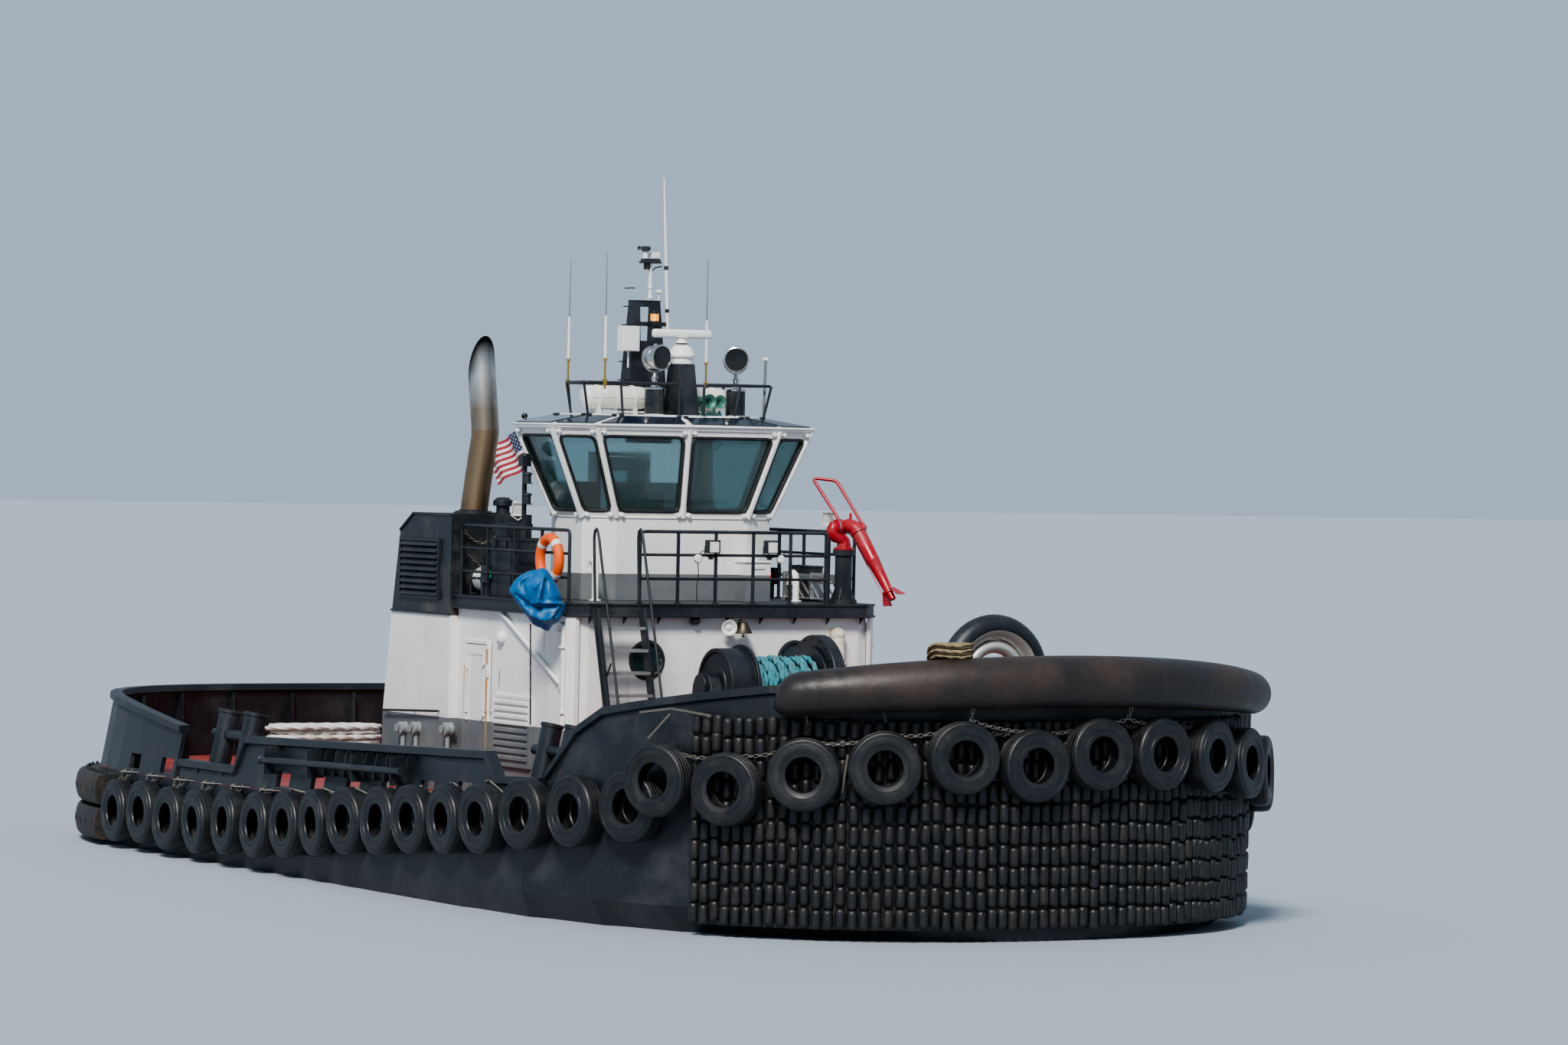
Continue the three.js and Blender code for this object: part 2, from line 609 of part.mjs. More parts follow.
node('winch_drum', join([
  onWinchAxis({ y0: -1280, y1: 560 - SEAT_GAP, radius: 88 }, 12),
  onWinchAxis({ y0: -700, y1: 430, radius: DRUM_RADIUS }, 16),
  onWinchAxis(BRAKE_WHEEL, 22),
  ...DRUM_FLANGES.map((flange) => onWinchAxis(flange, 22)),
]), 'blackPaint');
node('winch_rope', onWinchAxis({ y0: -655 + SEAT_GAP, y1: 400 - SEAT_GAP, radius: 450 }, 16)
  .subtract(onWinchAxis({ y0: -900, y1: 900, radius: DRUM_RADIUS + SEAT_GAP }, 16)), 'tealRope');

// Boat deck: plate with a deep edge, over the deckhouse and between the casings
const boatDeckPlan = [[BOAT_DECK_FRONT, -BOAT_DECK_HALF + 250], [BOAT_DECK_FRONT - 250, -BOAT_DECK_HALF],
  [CASING_FRONT + 1, -BOAT_DECK_HALF], [CASING_FRONT + 1, -CASING_INNER + 1], [HOUSE_AFT - 250, -CASING_INNER + 1],
  [HOUSE_AFT - 250, CASING_INNER - 1], [CASING_FRONT + 1, CASING_INNER - 1], [CASING_FRONT + 1, BOAT_DECK_HALF],
  [BOAT_DECK_FRONT - 250, BOAT_DECK_HALF], [BOAT_DECK_FRONT, BOAT_DECK_HALF - 250]];
const sidelightScreen = block(-480, -420, -2420, -2100, BOAT_DECK_TOP - 5, BOAT_DECK_TOP + 450)
  .add(block(-480, -330, -2420, -2380, BOAT_DECK_TOP + 200, BOAT_DECK_TOP + 450));
const FLAGSTAFF = [[-1860, 0, BOAT_DECK_TOP - 20], [-4020, 0, 6720]];
node('boat_deck', join([prism(boatDeckPlan, BOAT_DECK_TOP - BOAT_DECK_DEPTH, BOAT_DECK_TOP), sidelightScreen,
  mirrored(sidelightScreen), rod(FLAGSTAFF[0], FLAGSTAFF[1], 22, 8)]), 'blackPaint');

// Deckhouse: hollow walls under the boat deck, with doors, portholes and louvre openings
const houseFoot = 900;
const houseTop = BOAT_DECK_TOP - BOAT_DECK_DEPTH - SEAT_GAP;
const DOOR = { x0: -880, x1: -160, z0: 1520, z1: 3380 };
function roundedPlan(x0, x1, half, corner) {
  return [[x0, -half], [x1 - corner, -half], [x1 - corner * 0.3, -half + corner * 0.3], [x1, -half + corner],
    [x1, half - corner], [x1 - corner * 0.3, half - corner * 0.3], [x1 - corner, half], [x0, half]];
}
const HINGE_X = -152;
const HINGE_Y = HOUSE_HALF + 28;
const HINGE_HEIGHTS = [1800, 3000];
const PORTHOLES = [-1250, 1150];
function deckhouse() {
  const outer = prism(roundedPlan(CASING_FRONT + 2, HOUSE_FRONT, HOUSE_HALF, 230), houseFoot, houseTop)
    .add(block(HOUSE_AFT, CASING_FRONT + 3, -CASING_INNER + 2, CASING_INNER - 2, houseFoot, houseTop));
  const inner = prism(roundedPlan(CASING_FRONT + HOUSE_WALL, HOUSE_FRONT - HOUSE_WALL, HOUSE_HALF - HOUSE_WALL, 200),
    houseFoot - 10, houseTop + 10)
    .add(block(HOUSE_AFT + HOUSE_WALL, CASING_FRONT + HOUSE_WALL + 1, -CASING_INNER + HOUSE_WALL,
      CASING_INNER - HOUSE_WALL, houseFoot - 10, houseTop + 10));
  let walls = outer.subtract(inner);
  for (const side of [-1, 1]) {
    walls = walls.subtract(block(DOOR.x0, DOOR.x1, side * HOUSE_HALF - 200, side * HOUSE_HALF + 200, DOOR.z0, DOOR.z1));
  }
  for (const y of PORTHOLES) {
    walls = walls.subtract(rod([HOUSE_FRONT - 300, y, 3270], [HOUSE_FRONT + 100, y, 3270], 230, 14));
  }
  for (const side of [-1, 1]) {
    for (const z of HINGE_HEIGHTS) {
      walls = walls.add(rod([HINGE_X, side * HINGE_Y, z - 90], [HINGE_X, side * HINGE_Y, z], 18, 6));
      walls = walls.add(block(HINGE_X, HINGE_X + 60, side * (HOUSE_HALF + 10) - 18, side * (HOUSE_HALF + 10) + 18,
        z - 90, z - 4));
    }
    walls = walls.add(block(150, 1250, side * (HOUSE_HALF + 20) - 22, side * (HOUSE_HALF + 20) + 22, 1700, 2640));
    for (let i = 0; i < 9; i += 1) {
      const z = 1760 + i * 100;
      walls = walls.add(block(170, 1230, side * (HOUSE_HALF + 45) - 25, side * (HOUSE_HALF + 45) + 25, z, z + 40));
    }
  }
  return walls;
}
const ventBend = join([
  rod([HOUSE_FRONT + 110, 1800, 2900], [HOUSE_FRONT + 110, 1800, 3650], 90, 8),
  rod([HOUSE_FRONT + 130, 1800, 3640], [HOUSE_FRONT - 40, 1800, 3640], 90, 8),
]);
node('deckhouse', seatOnHull(deckhouse().add(ventBend)), 'whitePaint');

function deckhouseDoor() {
  const y = -HOUSE_HALF;
  const leaf = block(DOOR.x0 + 8, DOOR.x1 - 22, y - 25, y + 35, DOOR.z0 + 8, DOOR.z1 - 8);
  const handle = block(DOOR.x0 + 60, DOOR.x0 + 90, y - 70, y - 20, 2380, 2620);
  const hinges = HINGE_HEIGHTS.map((z) => rod([HINGE_X, -HINGE_Y, z + SEAT_GAP], [HINGE_X, -HINGE_Y, z + 90], 18, 6)
    .add(block(HINGE_X - 60, HINGE_X, -HINGE_Y - 8, -HINGE_Y + 14, z + 4, z + 90)));
  return join([leaf, handle, ...hinges]);
}
node('door_stbd', deckhouseDoor(), 'whitePaint');
node('door_port', mirrored(deckhouseDoor()), 'whitePaint');

// Engine casings either side of the deckhouse, with a sloped aft face and louvres
function casing() {
  const profile = [[CASING_FRONT, 900], [CASING_FRONT, CASING_TOP], [CASING_AFT + 700, CASING_TOP],
    [CASING_AFT + 250, CASING_TOP - 260], [CASING_AFT, 3780], [CASING_AFT - 260, 2270], [CASING_AFT - 300, 900]];
  let body = sidePrism(profile, -CASING_OUTER, -CASING_INNER);
  for (let i = 0; i < 9; i += 1) {
    const z = 4050 + i * 92;
    body = body.add(block(CASING_AFT + 380, CASING_FRONT - 420, -CASING_OUTER - 35, -CASING_OUTER + 20, z, z + 38));
  }
  const vents = [[CASING_AFT + 200, 1], [CASING_AFT + 520, 1], [CASING_AFT + 1480, 1]];
  for (const [x] of vents) {
    body = body.add(rod([x, -CASING_OUTER - 260, 1150], [x, -CASING_OUTER - 260, 1560], 60, 8));
    body = body.add(rod([x, -CASING_OUTER - 260, 1540], [x, -CASING_OUTER - 260, 1760], 150, 10));
    body = body.add(block(x - 40, x + 40, -CASING_OUTER - 260, -CASING_OUTER + 20, 1500, 1560));
  }
  return body;
}
const starboardCasing = seatOnHull(casing());
node('casing_stbd', starboardCasing, 'blackPaint');
node('casing_port', mirrored(starboardCasing), 'blackPaint');

// Exhaust stacks: a leaning lower length, a mitre bend and an upper length with a scarfed end
function stack(side, top) {
  const [x, y] = STACK_FOOT;
  const bend = Math.min(6480, top);
  const points = [[x - 18, side * (y + 18), CASING_TOP - 200], [x + 110, side * (y - 110), bend]];
  if (top <= bend) return pipe(points, STACK_RADIUS, 12);
  points.push([x + 30, side * (y - 20), top]);
  const scarf = sidePrism([[x - 400, top + 200], [x - 400, top - 420], [x + 500, top + 100], [x + 500, top + 200]],
    side * y - 500, side * y + 500);
  return pipe(points, STACK_RADIUS, 12).subtract(scarf);
}
function trimmedStack(side, top) {
  return stack(side, top).subtract(block(-4000, 0, side * 2000 - 700, side * 2000 + 700, 5000, CASING_TOP + SEAT_GAP));
}
node('exhaust_stack_stbd', trimmedStack(-1, STBD_STACK_TOP), 'bronze');
node('exhaust_stack_port', trimmedStack(1, PORT_STACK_TOP), 'bronze');

// Boat deck rail: three bars on stanchions round the front and sides
function railRun(points, stanchionEvery) {
  const pieces = [];
  for (const height of [350, 690, RAIL_HEIGHT]) {
    pieces.push(pipe(points.map(([x, y]) => [x, y, BOAT_DECK_TOP + height]), RAIL_RADIUS, 4));
  }
  for (let i = 0; i + 1 < points.length; i += 1) {
    const [x0, y0] = points[i];
    const [x1, y1] = points[i + 1];
    const count = Math.max(1, Math.round(Math.hypot(x1 - x0, y1 - y0) / stanchionEvery));
    for (let k = i === 0 ? 0 : 1; k <= count; k += 1) {
      const [x, y] = [x0 + ((x1 - x0) * k) / count, y0 + ((y1 - y0) * k) / count];
      pieces.push(rod([x, y, BOAT_DECK_TOP + SEAT_GAP], [x, y, BOAT_DECK_TOP + RAIL_HEIGHT], RAIL_RADIUS, 4));
    }
  }
  return join(pieces);
}
const railY = BOAT_DECK_HALF - 60;
const railX = BOAT_DECK_FRONT - 50;
const LADDER_Y = [-2180, -1480];
node('rail_front', railRun([[railX, LADDER_Y[1] + 40], [railX, 1600]], 620), 'blackPaint');
node('rail_side_stbd', railRun([[railX - 240, -railY], [-1080, -railY]], 880), 'blackPaint');
node('rail_side_port', railRun([[1950, railY], [-1080, railY]], 760), 'blackPaint');

// Wheelhouse base, window frame, glass and roof
function fullPlan(half, scaleOut) {
  const outward = half.map(([x, y]) => [x + Math.sign(x) * scaleOut * 0.7, y + scaleOut]);
  return [...outward.map(([x, y]) => [x, -y]).reverse(), ...outward];
}
function planRing(half, z, scaleOut = 0) {
  return fullPlan(half, scaleOut).map(([x, y]) => [x, y, z]);
}
const baseWalls = loft([planRing(SILL_PLAN, BOAT_DECK_TOP + SEAT_GAP), planRing(SILL_PLAN, SILL_HEIGHT)], [0, 1]);
const baseRoom = loft([planRing(SILL_PLAN, BOAT_DECK_TOP - 20, -90), planRing(SILL_PLAN, SILL_HEIGHT + 20, -90)], [0, 1]);
const aftDoorway = block(-900, -500, -380, 380, BOAT_DECK_TOP + 80, SILL_HEIGHT + 50);
const frontLocker = block(1090, 1500, 900, 1300, BOAT_DECK_TOP + SEAT_GAP, BOAT_DECK_TOP + 560);
// An upright porch carries the aft door, because the walls above the sill lean outwards
const PORCH = { aft: -1000, fore: -700, inner: 380, outer: 440, top: 6150 };
function porchCheeks(low, high) {
  return block(PORCH.aft, PORCH.fore, PORCH.inner, PORCH.outer, low, high)
    .add(block(PORCH.aft, PORCH.fore, -PORCH.outer, -PORCH.inner, low, high));
}
const CAB_HINGE = { x: -1030, y: 392, heights: [4700, 5000] };
const hingeLugs = join(CAB_HINGE.heights.map((z) => join([
  rod([CAB_HINGE.x, CAB_HINGE.y, z - 80], [CAB_HINGE.x, CAB_HINGE.y, z], 14, 6),
  block(CAB_HINGE.x, PORCH.aft + 10, CAB_HINGE.y - 7, CAB_HINGE.y + 20, z - 80, z - 4),
])));
node('wheelhouse_base', join([baseWalls.add(frontLocker).subtract(baseRoom).subtract(aftDoorway),
  porchCheeks(BOAT_DECK_TOP + SEAT_GAP, SILL_HEIGHT), hingeLugs]), 'whitePaint');
node('wheelhouse_door', join([
  block(PORCH.aft - 10, PORCH.aft + 30, -PORCH.inner + 8, PORCH.inner - 8, BOAT_DECK_TOP + 90, PORCH.top - 10),
  block(PORCH.aft - 60, PORCH.aft - 5, -PORCH.inner + 60, -PORCH.inner + 85, 5000, 5200),
  ...CAB_HINGE.heights.map((z) => join([
    rod([CAB_HINGE.x, CAB_HINGE.y, z + SEAT_GAP], [CAB_HINGE.x, CAB_HINGE.y, z + 80], 14, 6),
    block(CAB_HINGE.x - 6, PORCH.aft - 5, CAB_HINGE.y - 60, CAB_HINGE.y, z + 4, z + 80),
  ])),
]).subtract(block(PORCH.aft - 100, PORCH.aft + 100, -240, 240, 5300, 5950)), 'whitePaint');

const frameOuter = loft([planRing(SILL_PLAN, SILL_HEIGHT + SEAT_GAP), planRing(EAVE_PLAN, EAVE_HEIGHT)], [0, 1]);
const frameInner = loft([planRing(SILL_PLAN, SILL_HEIGHT - 20, -FRAME_WALL), planRing(EAVE_PLAN, EAVE_HEIGHT + 20,
  -FRAME_WALL)], [0, 1]);
// One window: the wall quad between two plan corners, drawn in by the post width, cut through
function windowCut(cornerA, cornerB, postWidth, floor = 90) {
  const lowA = new THREE.Vector3(cornerA.sill[0], cornerA.sill[1], SILL_HEIGHT);
  const lowB = new THREE.Vector3(cornerB.sill[0], cornerB.sill[1], SILL_HEIGHT);
  const highA = new THREE.Vector3(cornerA.eave[0], cornerA.eave[1], EAVE_HEIGHT);
  const highB = new THREE.Vector3(cornerB.eave[0], cornerB.eave[1], EAVE_HEIGHT);
  const height = EAVE_HEIGHT - SILL_HEIGHT;
  const corner = (low, high, otherLow, otherHigh, share) => {
    const here = low.clone().lerp(high, share);
    const there = otherLow.clone().lerp(otherHigh, share);
    return here.lerp(there, postWidth / here.distanceTo(there));
  };
  const bottom = floor / height;
  const top = 1 - 110 / height;
  const quad = [corner(lowA, highA, lowB, highB, bottom), corner(lowB, highB, lowA, highA, bottom),
    corner(lowB, highB, lowA, highA, top), corner(lowA, highA, lowB, highB, top)];
  const normal = quad[1].clone().sub(quad[0]).cross(quad[3].clone().sub(quad[0])).normalize();
  const inner = quad.map((p) => p.clone().addScaledVector(normal, -260).toArray());
  const outer = quad.map((p) => p.clone().addScaledVector(normal, 260).toArray());
  const plane = Math.abs(normal.x) > Math.abs(normal.y) ? [1, 2] : [0, 2];
  return loft([inner, outer], plane);
}
function plansAt(i) {
  return { sill: SILL_PLAN[i], eave: EAVE_PLAN[i] };
}
function flipped(corner) {
  return { sill: [corner.sill[0], -corner.sill[1]], eave: [corner.eave[0], -corner.eave[1]] };
}
const frontMiddle = { sill: [SILL_PLAN[0][0], 0], eave: [EAVE_PLAN[0][0], 0] };
let frame = frameOuter.subtract(frameInner);
const WINDOW_PAIRS = [[frontMiddle, plansAt(0)], [plansAt(0), plansAt(1)], [plansAt(1), plansAt(2)],
  [plansAt(2), plansAt(3)]];
for (const [a, b] of WINDOW_PAIRS) {
  frame = frame.subtract(windowCut(a, b, 60)).subtract(windowCut(flipped(a), flipped(b), 60));
}
frame = frame.subtract(windowCut(plansAt(3), flipped(plansAt(3)), 200, 500));
const doorHead = block(-1200, -500, -380, 380, SILL_HEIGHT - 50, SILL_HEIGHT + 850);
frame = frame.subtract(doorHead).add(porchCheeks(SILL_HEIGHT + SEAT_GAP, PORCH.top))
  .add(block(PORCH.aft, PORCH.fore, -PORCH.outer, PORCH.outer, PORCH.top, PORCH.top + 60));
node('wheelhouse_frame', frame, 'whitePaint');

const glassOuter = loft([planRing(SILL_PLAN, SILL_HEIGHT + SEAT_GAP, -FRAME_WALL - 12),
  planRing(EAVE_PLAN, EAVE_HEIGHT - SEAT_GAP, -FRAME_WALL - 12)], [0, 1]);
const glassInner = loft([planRing(SILL_PLAN, SILL_HEIGHT - 30, -FRAME_WALL - 28), planRing(EAVE_PLAN,
  EAVE_HEIGHT + 30, -FRAME_WALL - 28)], [0, 1]);
const porchRoom = block(PORCH.aft - 100, -500, -PORCH.outer - 5, PORCH.outer + 5, SILL_HEIGHT - 50, PORCH.top + 65);
const glass = glassOuter.subtract(glassInner).subtract(porchRoom);
node('wheelhouse_glass', glass, 'glass');

const ROOF_PLAN = [[1080, 1000], [900, 1430], [-50, 1430], [-650, 1050]];
// starboard first; aim is the lamp's heading in plan
const SEARCHLIGHTS = [
  { name: 'stbd', x: 700, y: -240, aim: [0.97, 0.24] },
  { name: 'port', x: 700, y: 1095, aim: [0.89, -0.46] },
];
const roofSlab = loft([planRing(EAVE_PLAN, EAVE_HEIGHT + SEAT_GAP, 40), planRing(EAVE_PLAN, EAVE_HEIGHT + 50, 40),
  planRing(ROOF_PLAN, ROOF_TOP - 30), planRing(ROOF_PLAN, ROOF_TOP)], [0, 1]);
const lampDrums = SEARCHLIGHTS.map(({ x, y }) => join([
  rod([x, y, ROOF_TOP - 10], [x, y, ROOF_TOP + 390], 145, 12),
  rod([x, y, ROOF_TOP + 380], [x, y, ROOF_TOP + 520], 40, 8),
]));
node('wheelhouse_roof', join([roofSlab, ...lampDrums]), 'whitePaint');

// Steering console and chair seen through the windows
const steeringConsole = join([
  sidePrism([[330, BOAT_DECK_TOP + SEAT_GAP], [330, 5050], [700, 5350], [900, 5350], [900, BOAT_DECK_TOP + SEAT_GAP]],
    -700, 700),
  block(760, 820, -520, -120, 5340, 5640),
  block(760, 820, 120, 520, 5340, 5640),
]);
const chair = join([
  rod([-250, 0, BOAT_DECK_TOP + SEAT_GAP], [-250, 0, 4900], 70, 8),
  block(-500, 0, -260, 260, 4880, 5000),
  sidePrism([[-500, 4980], [-600, 5750], [-500, 5770], [-380, 4990]], -240, 240),
]);
const cabFloor = block(-640, 1050, -1000, 1000, BOAT_DECK_TOP + SEAT_GAP, BOAT_DECK_TOP + 30);
node('wheelhouse_interior', join([cabFloor, steeringConsole, chair]), 'blackPaint');

// Roof rail in two runs, open ahead of the radar, with its whip aerials
const RAIL_TOP = ROOF_TOP + 450;
function roofRail(points) {
  return join([
    pipe(points.map(([x, y]) => [x, y, RAIL_TOP]), 22, 4),
    ...points.map(([x, y]) => rod([x, y, ROOF_TOP - 70], [x, y, RAIL_TOP], 22, 4)),
  ]);
}
const RAIL_BEND = [[-600, 1000], [-50, 1300], [980, 1540], [1060, 980]];
const railStarboard = RAIL_BEND.map(([x, y]) => [x, -y]);
const AERIALS = [[-500, -1054, 9000], [-330, 1147, 9090], [1025, -1225, 9070]];
const aerials = AERIALS.map(([x, y, top]) => join([
  rod([x, y, RAIL_TOP - 60], [x, y, 8140], 24, 4, 18),
  rod([x, y, 8130], [x, y, top], 9, 4, 6),
]));
const aftRail = pipe([[-600, -1000, RAIL_TOP], [-600, 1000, RAIL_TOP]], 22, 4);
const roofRails = join([roofRail([...railStarboard, [1060, -20]]), roofRail([...RAIL_BEND, [1060, 380]]),
  aftRail, ...aerials]);
node('roof_rail', roofRails.subtract(roofSlab.translate([0, 0, SEAT_GAP])), 'blackPaint');

// Mast: a tapered trunk with a slot through its upper half, lamps and the wind gauge,
// and the radar pedestal in front of it
const MAST_X = -140;
function mast() {
  const trunk = loft([[ROOF_TOP + SEAT_GAP, 180, 330], [MAST_TOP, 90, 215]].map(([z, halfX, halfY]) => [
    [MAST_X - halfX, -halfY, z], [MAST_X + halfX, -halfY, z], [MAST_X + halfX, halfY, z], [MAST_X - halfX, halfY, z],
  ]), [0, 1]);
  return join([
    trunk.subtract(block(-600, 400, -115, 115, 7850, 8350)),
    block(MAST_X - 90, MAST_X + 90, -120, 350, 8070, 8130),
    block(MAST_X, 60, 20, 200, 8070, 8100),
    rod([0, 100, 8095], [0, 100, 8270], 55, 8),
    rod([MAST_X, 90, MAST_TOP - 20], [MAST_X, 90, 9030], 22, 6),
    block(MAST_X - 70, MAST_X + 70, -40, 220, 9020, 9055),
    rod([MAST_X, 0, 9050], [MAST_X, 0, 9170], 20, 6),
    rod([MAST_X, 0, 9165], [MAST_X, 0, 9240], 60, 8),
    block(MAST_X - 50, MAST_X + 50, 80, 200, 9050, 9150),
    rod([MAST_X + 90, 345, 8000], [MAST_X + 90, 240, 10250], 22, 6, 10),
    block(-65, 90, -450, -200, 7700, 8050),
  ]);
}
const PEDESTAL = { x: 680, y: 200, half: 140 };
const radarPedestal = join([
  block(-100, PEDESTAL.x, -60, 60, ROOF_TOP + SEAT_GAP, ROOF_TOP + 60),
  block(PEDESTAL.x - 100, PEDESTAL.x + 100, -60, PEDESTAL.y, ROOF_TOP + SEAT_GAP, ROOF_TOP + 60),
  sidePrism([[PEDESTAL.x - 280, ROOF_TOP + SEAT_GAP], [PEDESTAL.x - 150, 7510], [PEDESTAL.x + 150, 7510],
    [PEDESTAL.x + 320, ROOF_TOP + SEAT_GAP]], PEDESTAL.y - PEDESTAL.half, PEDESTAL.y + PEDESTAL.half),
  rod([PEDESTAL.x, PEDESTAL.y, 7500], [PEDESTAL.x, PEDESTAL.y, 7800], 165, 12, 120),
]);
node('mast', mast().add(radarPedestal), 'blackPaint');
node('radar_scanner', join([
  rod([PEDESTAL.x, PEDESTAL.y, 7800 + SEAT_GAP], [PEDESTAL.x, PEDESTAL.y, 7820], 50, 8),
  rod([PEDESTAL.x, PEDESTAL.y, 7806], [PEDESTAL.x, PEDESTAL.y, 7900], 85, 10),
  block(PEDESTAL.x - 50, PEDESTAL.x + 50, PEDESTAL.y - 480, PEDESTAL.y + 480, 7890, 8015),
]), 'whitePaint');

// Searchlight lamps, turning on their drums
for (const { name, x, y, aim } of SEARCHLIGHTS) {
  const z = ROOF_TOP + 830;
  const [ax, ay] = aim;
  node(`searchlight_lamp_${name}`, join([
    rod([x, y, ROOF_TOP + 520 + SEAT_GAP], [x, y, ROOF_TOP + 540], 25, 6),
    rod([x, y, ROOF_TOP + 526], [x, y, ROOF_TOP + 580], 50, 8),
    block(x - 30, x + 30, y - 215, y - 190, ROOF_TOP + 560, z + 20),
    block(x - 30, x + 30, y + 190, y + 215, ROOF_TOP + 560, z + 20),
    block(x - 30, x + 30, y - 215, y + 215, ROOF_TOP + 560, ROOF_TOP + 585),
    rod([x, y - 205, z], [x, y + 205, z], 20, 6),
    rod([x - ax * 150, y, z], [x + ax * 150, y, z], 182, 14),
  ]), 'steel');
}

// Life raft canisters and horns on the roof
function canister(x, y, z, length, radius, alongY = false) {
  const half = length / 2;
  const shell = alongY ? rod([x, y - half, z], [x, y + half, z], radius, 12) : rod([x - half, y, z], [x + half, y, z], radius, 12);
  const cradle = block(x - (alongY ? 120 : half * 0.7), x + (alongY ? 120 : half * 0.7),
    y - (alongY ? half * 0.7 : 120), y + (alongY ? half * 0.7 : 120), z - radius - 70, z - radius * 0.6);
  return shell.add(cradle);
}
const RAFT_RADIUS = 170;
const raftPair = join([-660, 660].map((y) => canister(220, y, ROOF_TOP + 70 + RAFT_RADIUS, 1040, RAFT_RADIUS, true)));
const raftBar = block(150, 290, -900, 900, ROOF_TOP + 130, ROOF_TOP + 170);
node('raft_canister_roof', raftPair.add(raftBar).subtract(block(-2000, 2000, -2000, 2000, 0, ROOF_TOP + SEAT_GAP)),
  'whitePaint');
const HORN_Y = [560, 760];
node('horns', join([
  block(640, 740, 470, 850, ROOF_TOP + SEAT_GAP, ROOF_TOP + 60),
  ...HORN_Y.map((y) => block(660, 700, y - 20, y + 20, ROOF_TOP + 40, ROOF_TOP + 200)),
  rod([600, HORN_Y[0], ROOF_TOP + 210], [900, HORN_Y[0], ROOF_TOP + 210], 30, 10, 110),
  rod([600, HORN_Y[1], ROOF_TOP + 210], [860, HORN_Y[1], ROOF_TOP + 210], 30, 10, 90),
  block(590, 640, 530, 790, ROOF_TOP + 170, ROOF_TOP + 240),
]), 'bronze');

// Fire monitor on its pedestal at the port front corner of the boat deck
const MONITOR = [2330, 2050];
const MONITOR_SWIVEL_Z = 4860;
const MONITOR_TILT_Z = 5190;
node('monitor_pedestal', join([
  rod([...MONITOR, BOAT_DECK_TOP + SEAT_GAP], [...MONITOR, BOAT_DECK_TOP + 60], 200, 12),
  rod([...MONITOR, BOAT_DECK_TOP + 50], [...MONITOR, MONITOR_SWIVEL_Z - 80], 125, 12),
  rod([...MONITOR, MONITOR_SWIVEL_Z - 80], [...MONITOR, MONITOR_SWIVEL_Z - 6], 160, 12),
]), 'blackPaint');
const [MX, MY] = MONITOR;
node('monitor_swivel', join([
  rod([MX, MY, MONITOR_SWIVEL_Z - 6 + SEAT_GAP], [MX, MY, MONITOR_SWIVEL_Z + 10], 60, 8),
  rod([MX, MY, MONITOR_SWIVEL_Z], [MX, MY, MONITOR_SWIVEL_Z + 90], 105, 12),
  block(MX - 55, MX + 55, MY - 235, MY + 40, MONITOR_SWIVEL_Z + 60, MONITOR_SWIVEL_Z + 100),
  block(MX - 55, MX + 55, MY - 235, MY - 150, MONITOR_SWIVEL_Z + 60, MONITOR_TILT_Z),
  rod([MX, MY - 235, MONITOR_TILT_Z], [MX, MY - 112, MONITOR_TILT_Z], 85, 10),
]), 'redPaint');
function monitorBarrel() {
  const z = MONITOR_TILT_Z;
  const tip = [MX + 830, MY + 360, z - 1020];
  return join([
    rod([MX, MY - 104, z], [MX, MY + 110, z], 85, 10),
    rod([MX, MY - 112 + SEAT_GAP, z], [MX, MY - 90, z], 40, 8),
    pipe([[MX, MY + 30, z], [MX + 230, MY + 90, z - 40], tip], 75, 8),
    rod([MX + 570, MY + 239, z - 570], [MX + 660, MY + 280, z - 730], 100, 8),
    pipe([[MX, MY + 60, z + 40], [MX - 260, MY - 120, z + 700], [MX - 60, MY - 560, z + 760],
      [MX - 40, MY - 10, z + 60]], 18, 5),
  ]);
}
node('monitor_barrel', monitorBarrel(), 'redPaint');

// Ladder from the fore deck to the boat deck
function frontLadder() {
  const [y0, y1] = LADDER_Y;
  const foot = [3500, 1900];
  const head = [2760, BOAT_DECK_TOP - 60];
  const pieces = [];
  for (const y of [y0, y1]) {
    pieces.push(sidePrism([[foot[0] - 60, deckZ(3500) - 50], [head[0] - 20, head[1]], [head[0] + 110, head[1]],
      [foot[0] + 120, deckZ(3500) - 50]], y - 20, y + 20));
    pieces.push(pipe([[foot[0] + 100, y, deckZ(3500) + 200], [foot[0] + 60, y, deckZ(3500) + 1050],
      [head[0] + 130, y, head[1] + 700], [head[0] - 40, y, head[1] + 1120], [head[0] + 50, y, head[1] - 50]], 20, 4));
  }
  for (let i = 0; i < 8; i += 1) {
    const share = (i + 0.6) / 8.4;
    const z = deckZ(3500) + (head[1] - deckZ(3500)) * share;
    const x = foot[0] + 30 + (head[0] - foot[0]) * share;
    pieces.push(block(x - 90, x + 110, y0 - 5, y1 + 5, z - 20, z + 20));
  }
  return join(pieces);
}
const deckEdgeRoom = block(-4000, BOAT_DECK_FRONT + SEAT_GAP, -3000, 3000, BOAT_DECK_TOP - BOAT_DECK_DEPTH - 1,
  BOAT_DECK_TOP + SEAT_GAP);
node('ladder_front', seatOnHull(frontLadder()).subtract(deckEdgeRoom), 'aluminium');

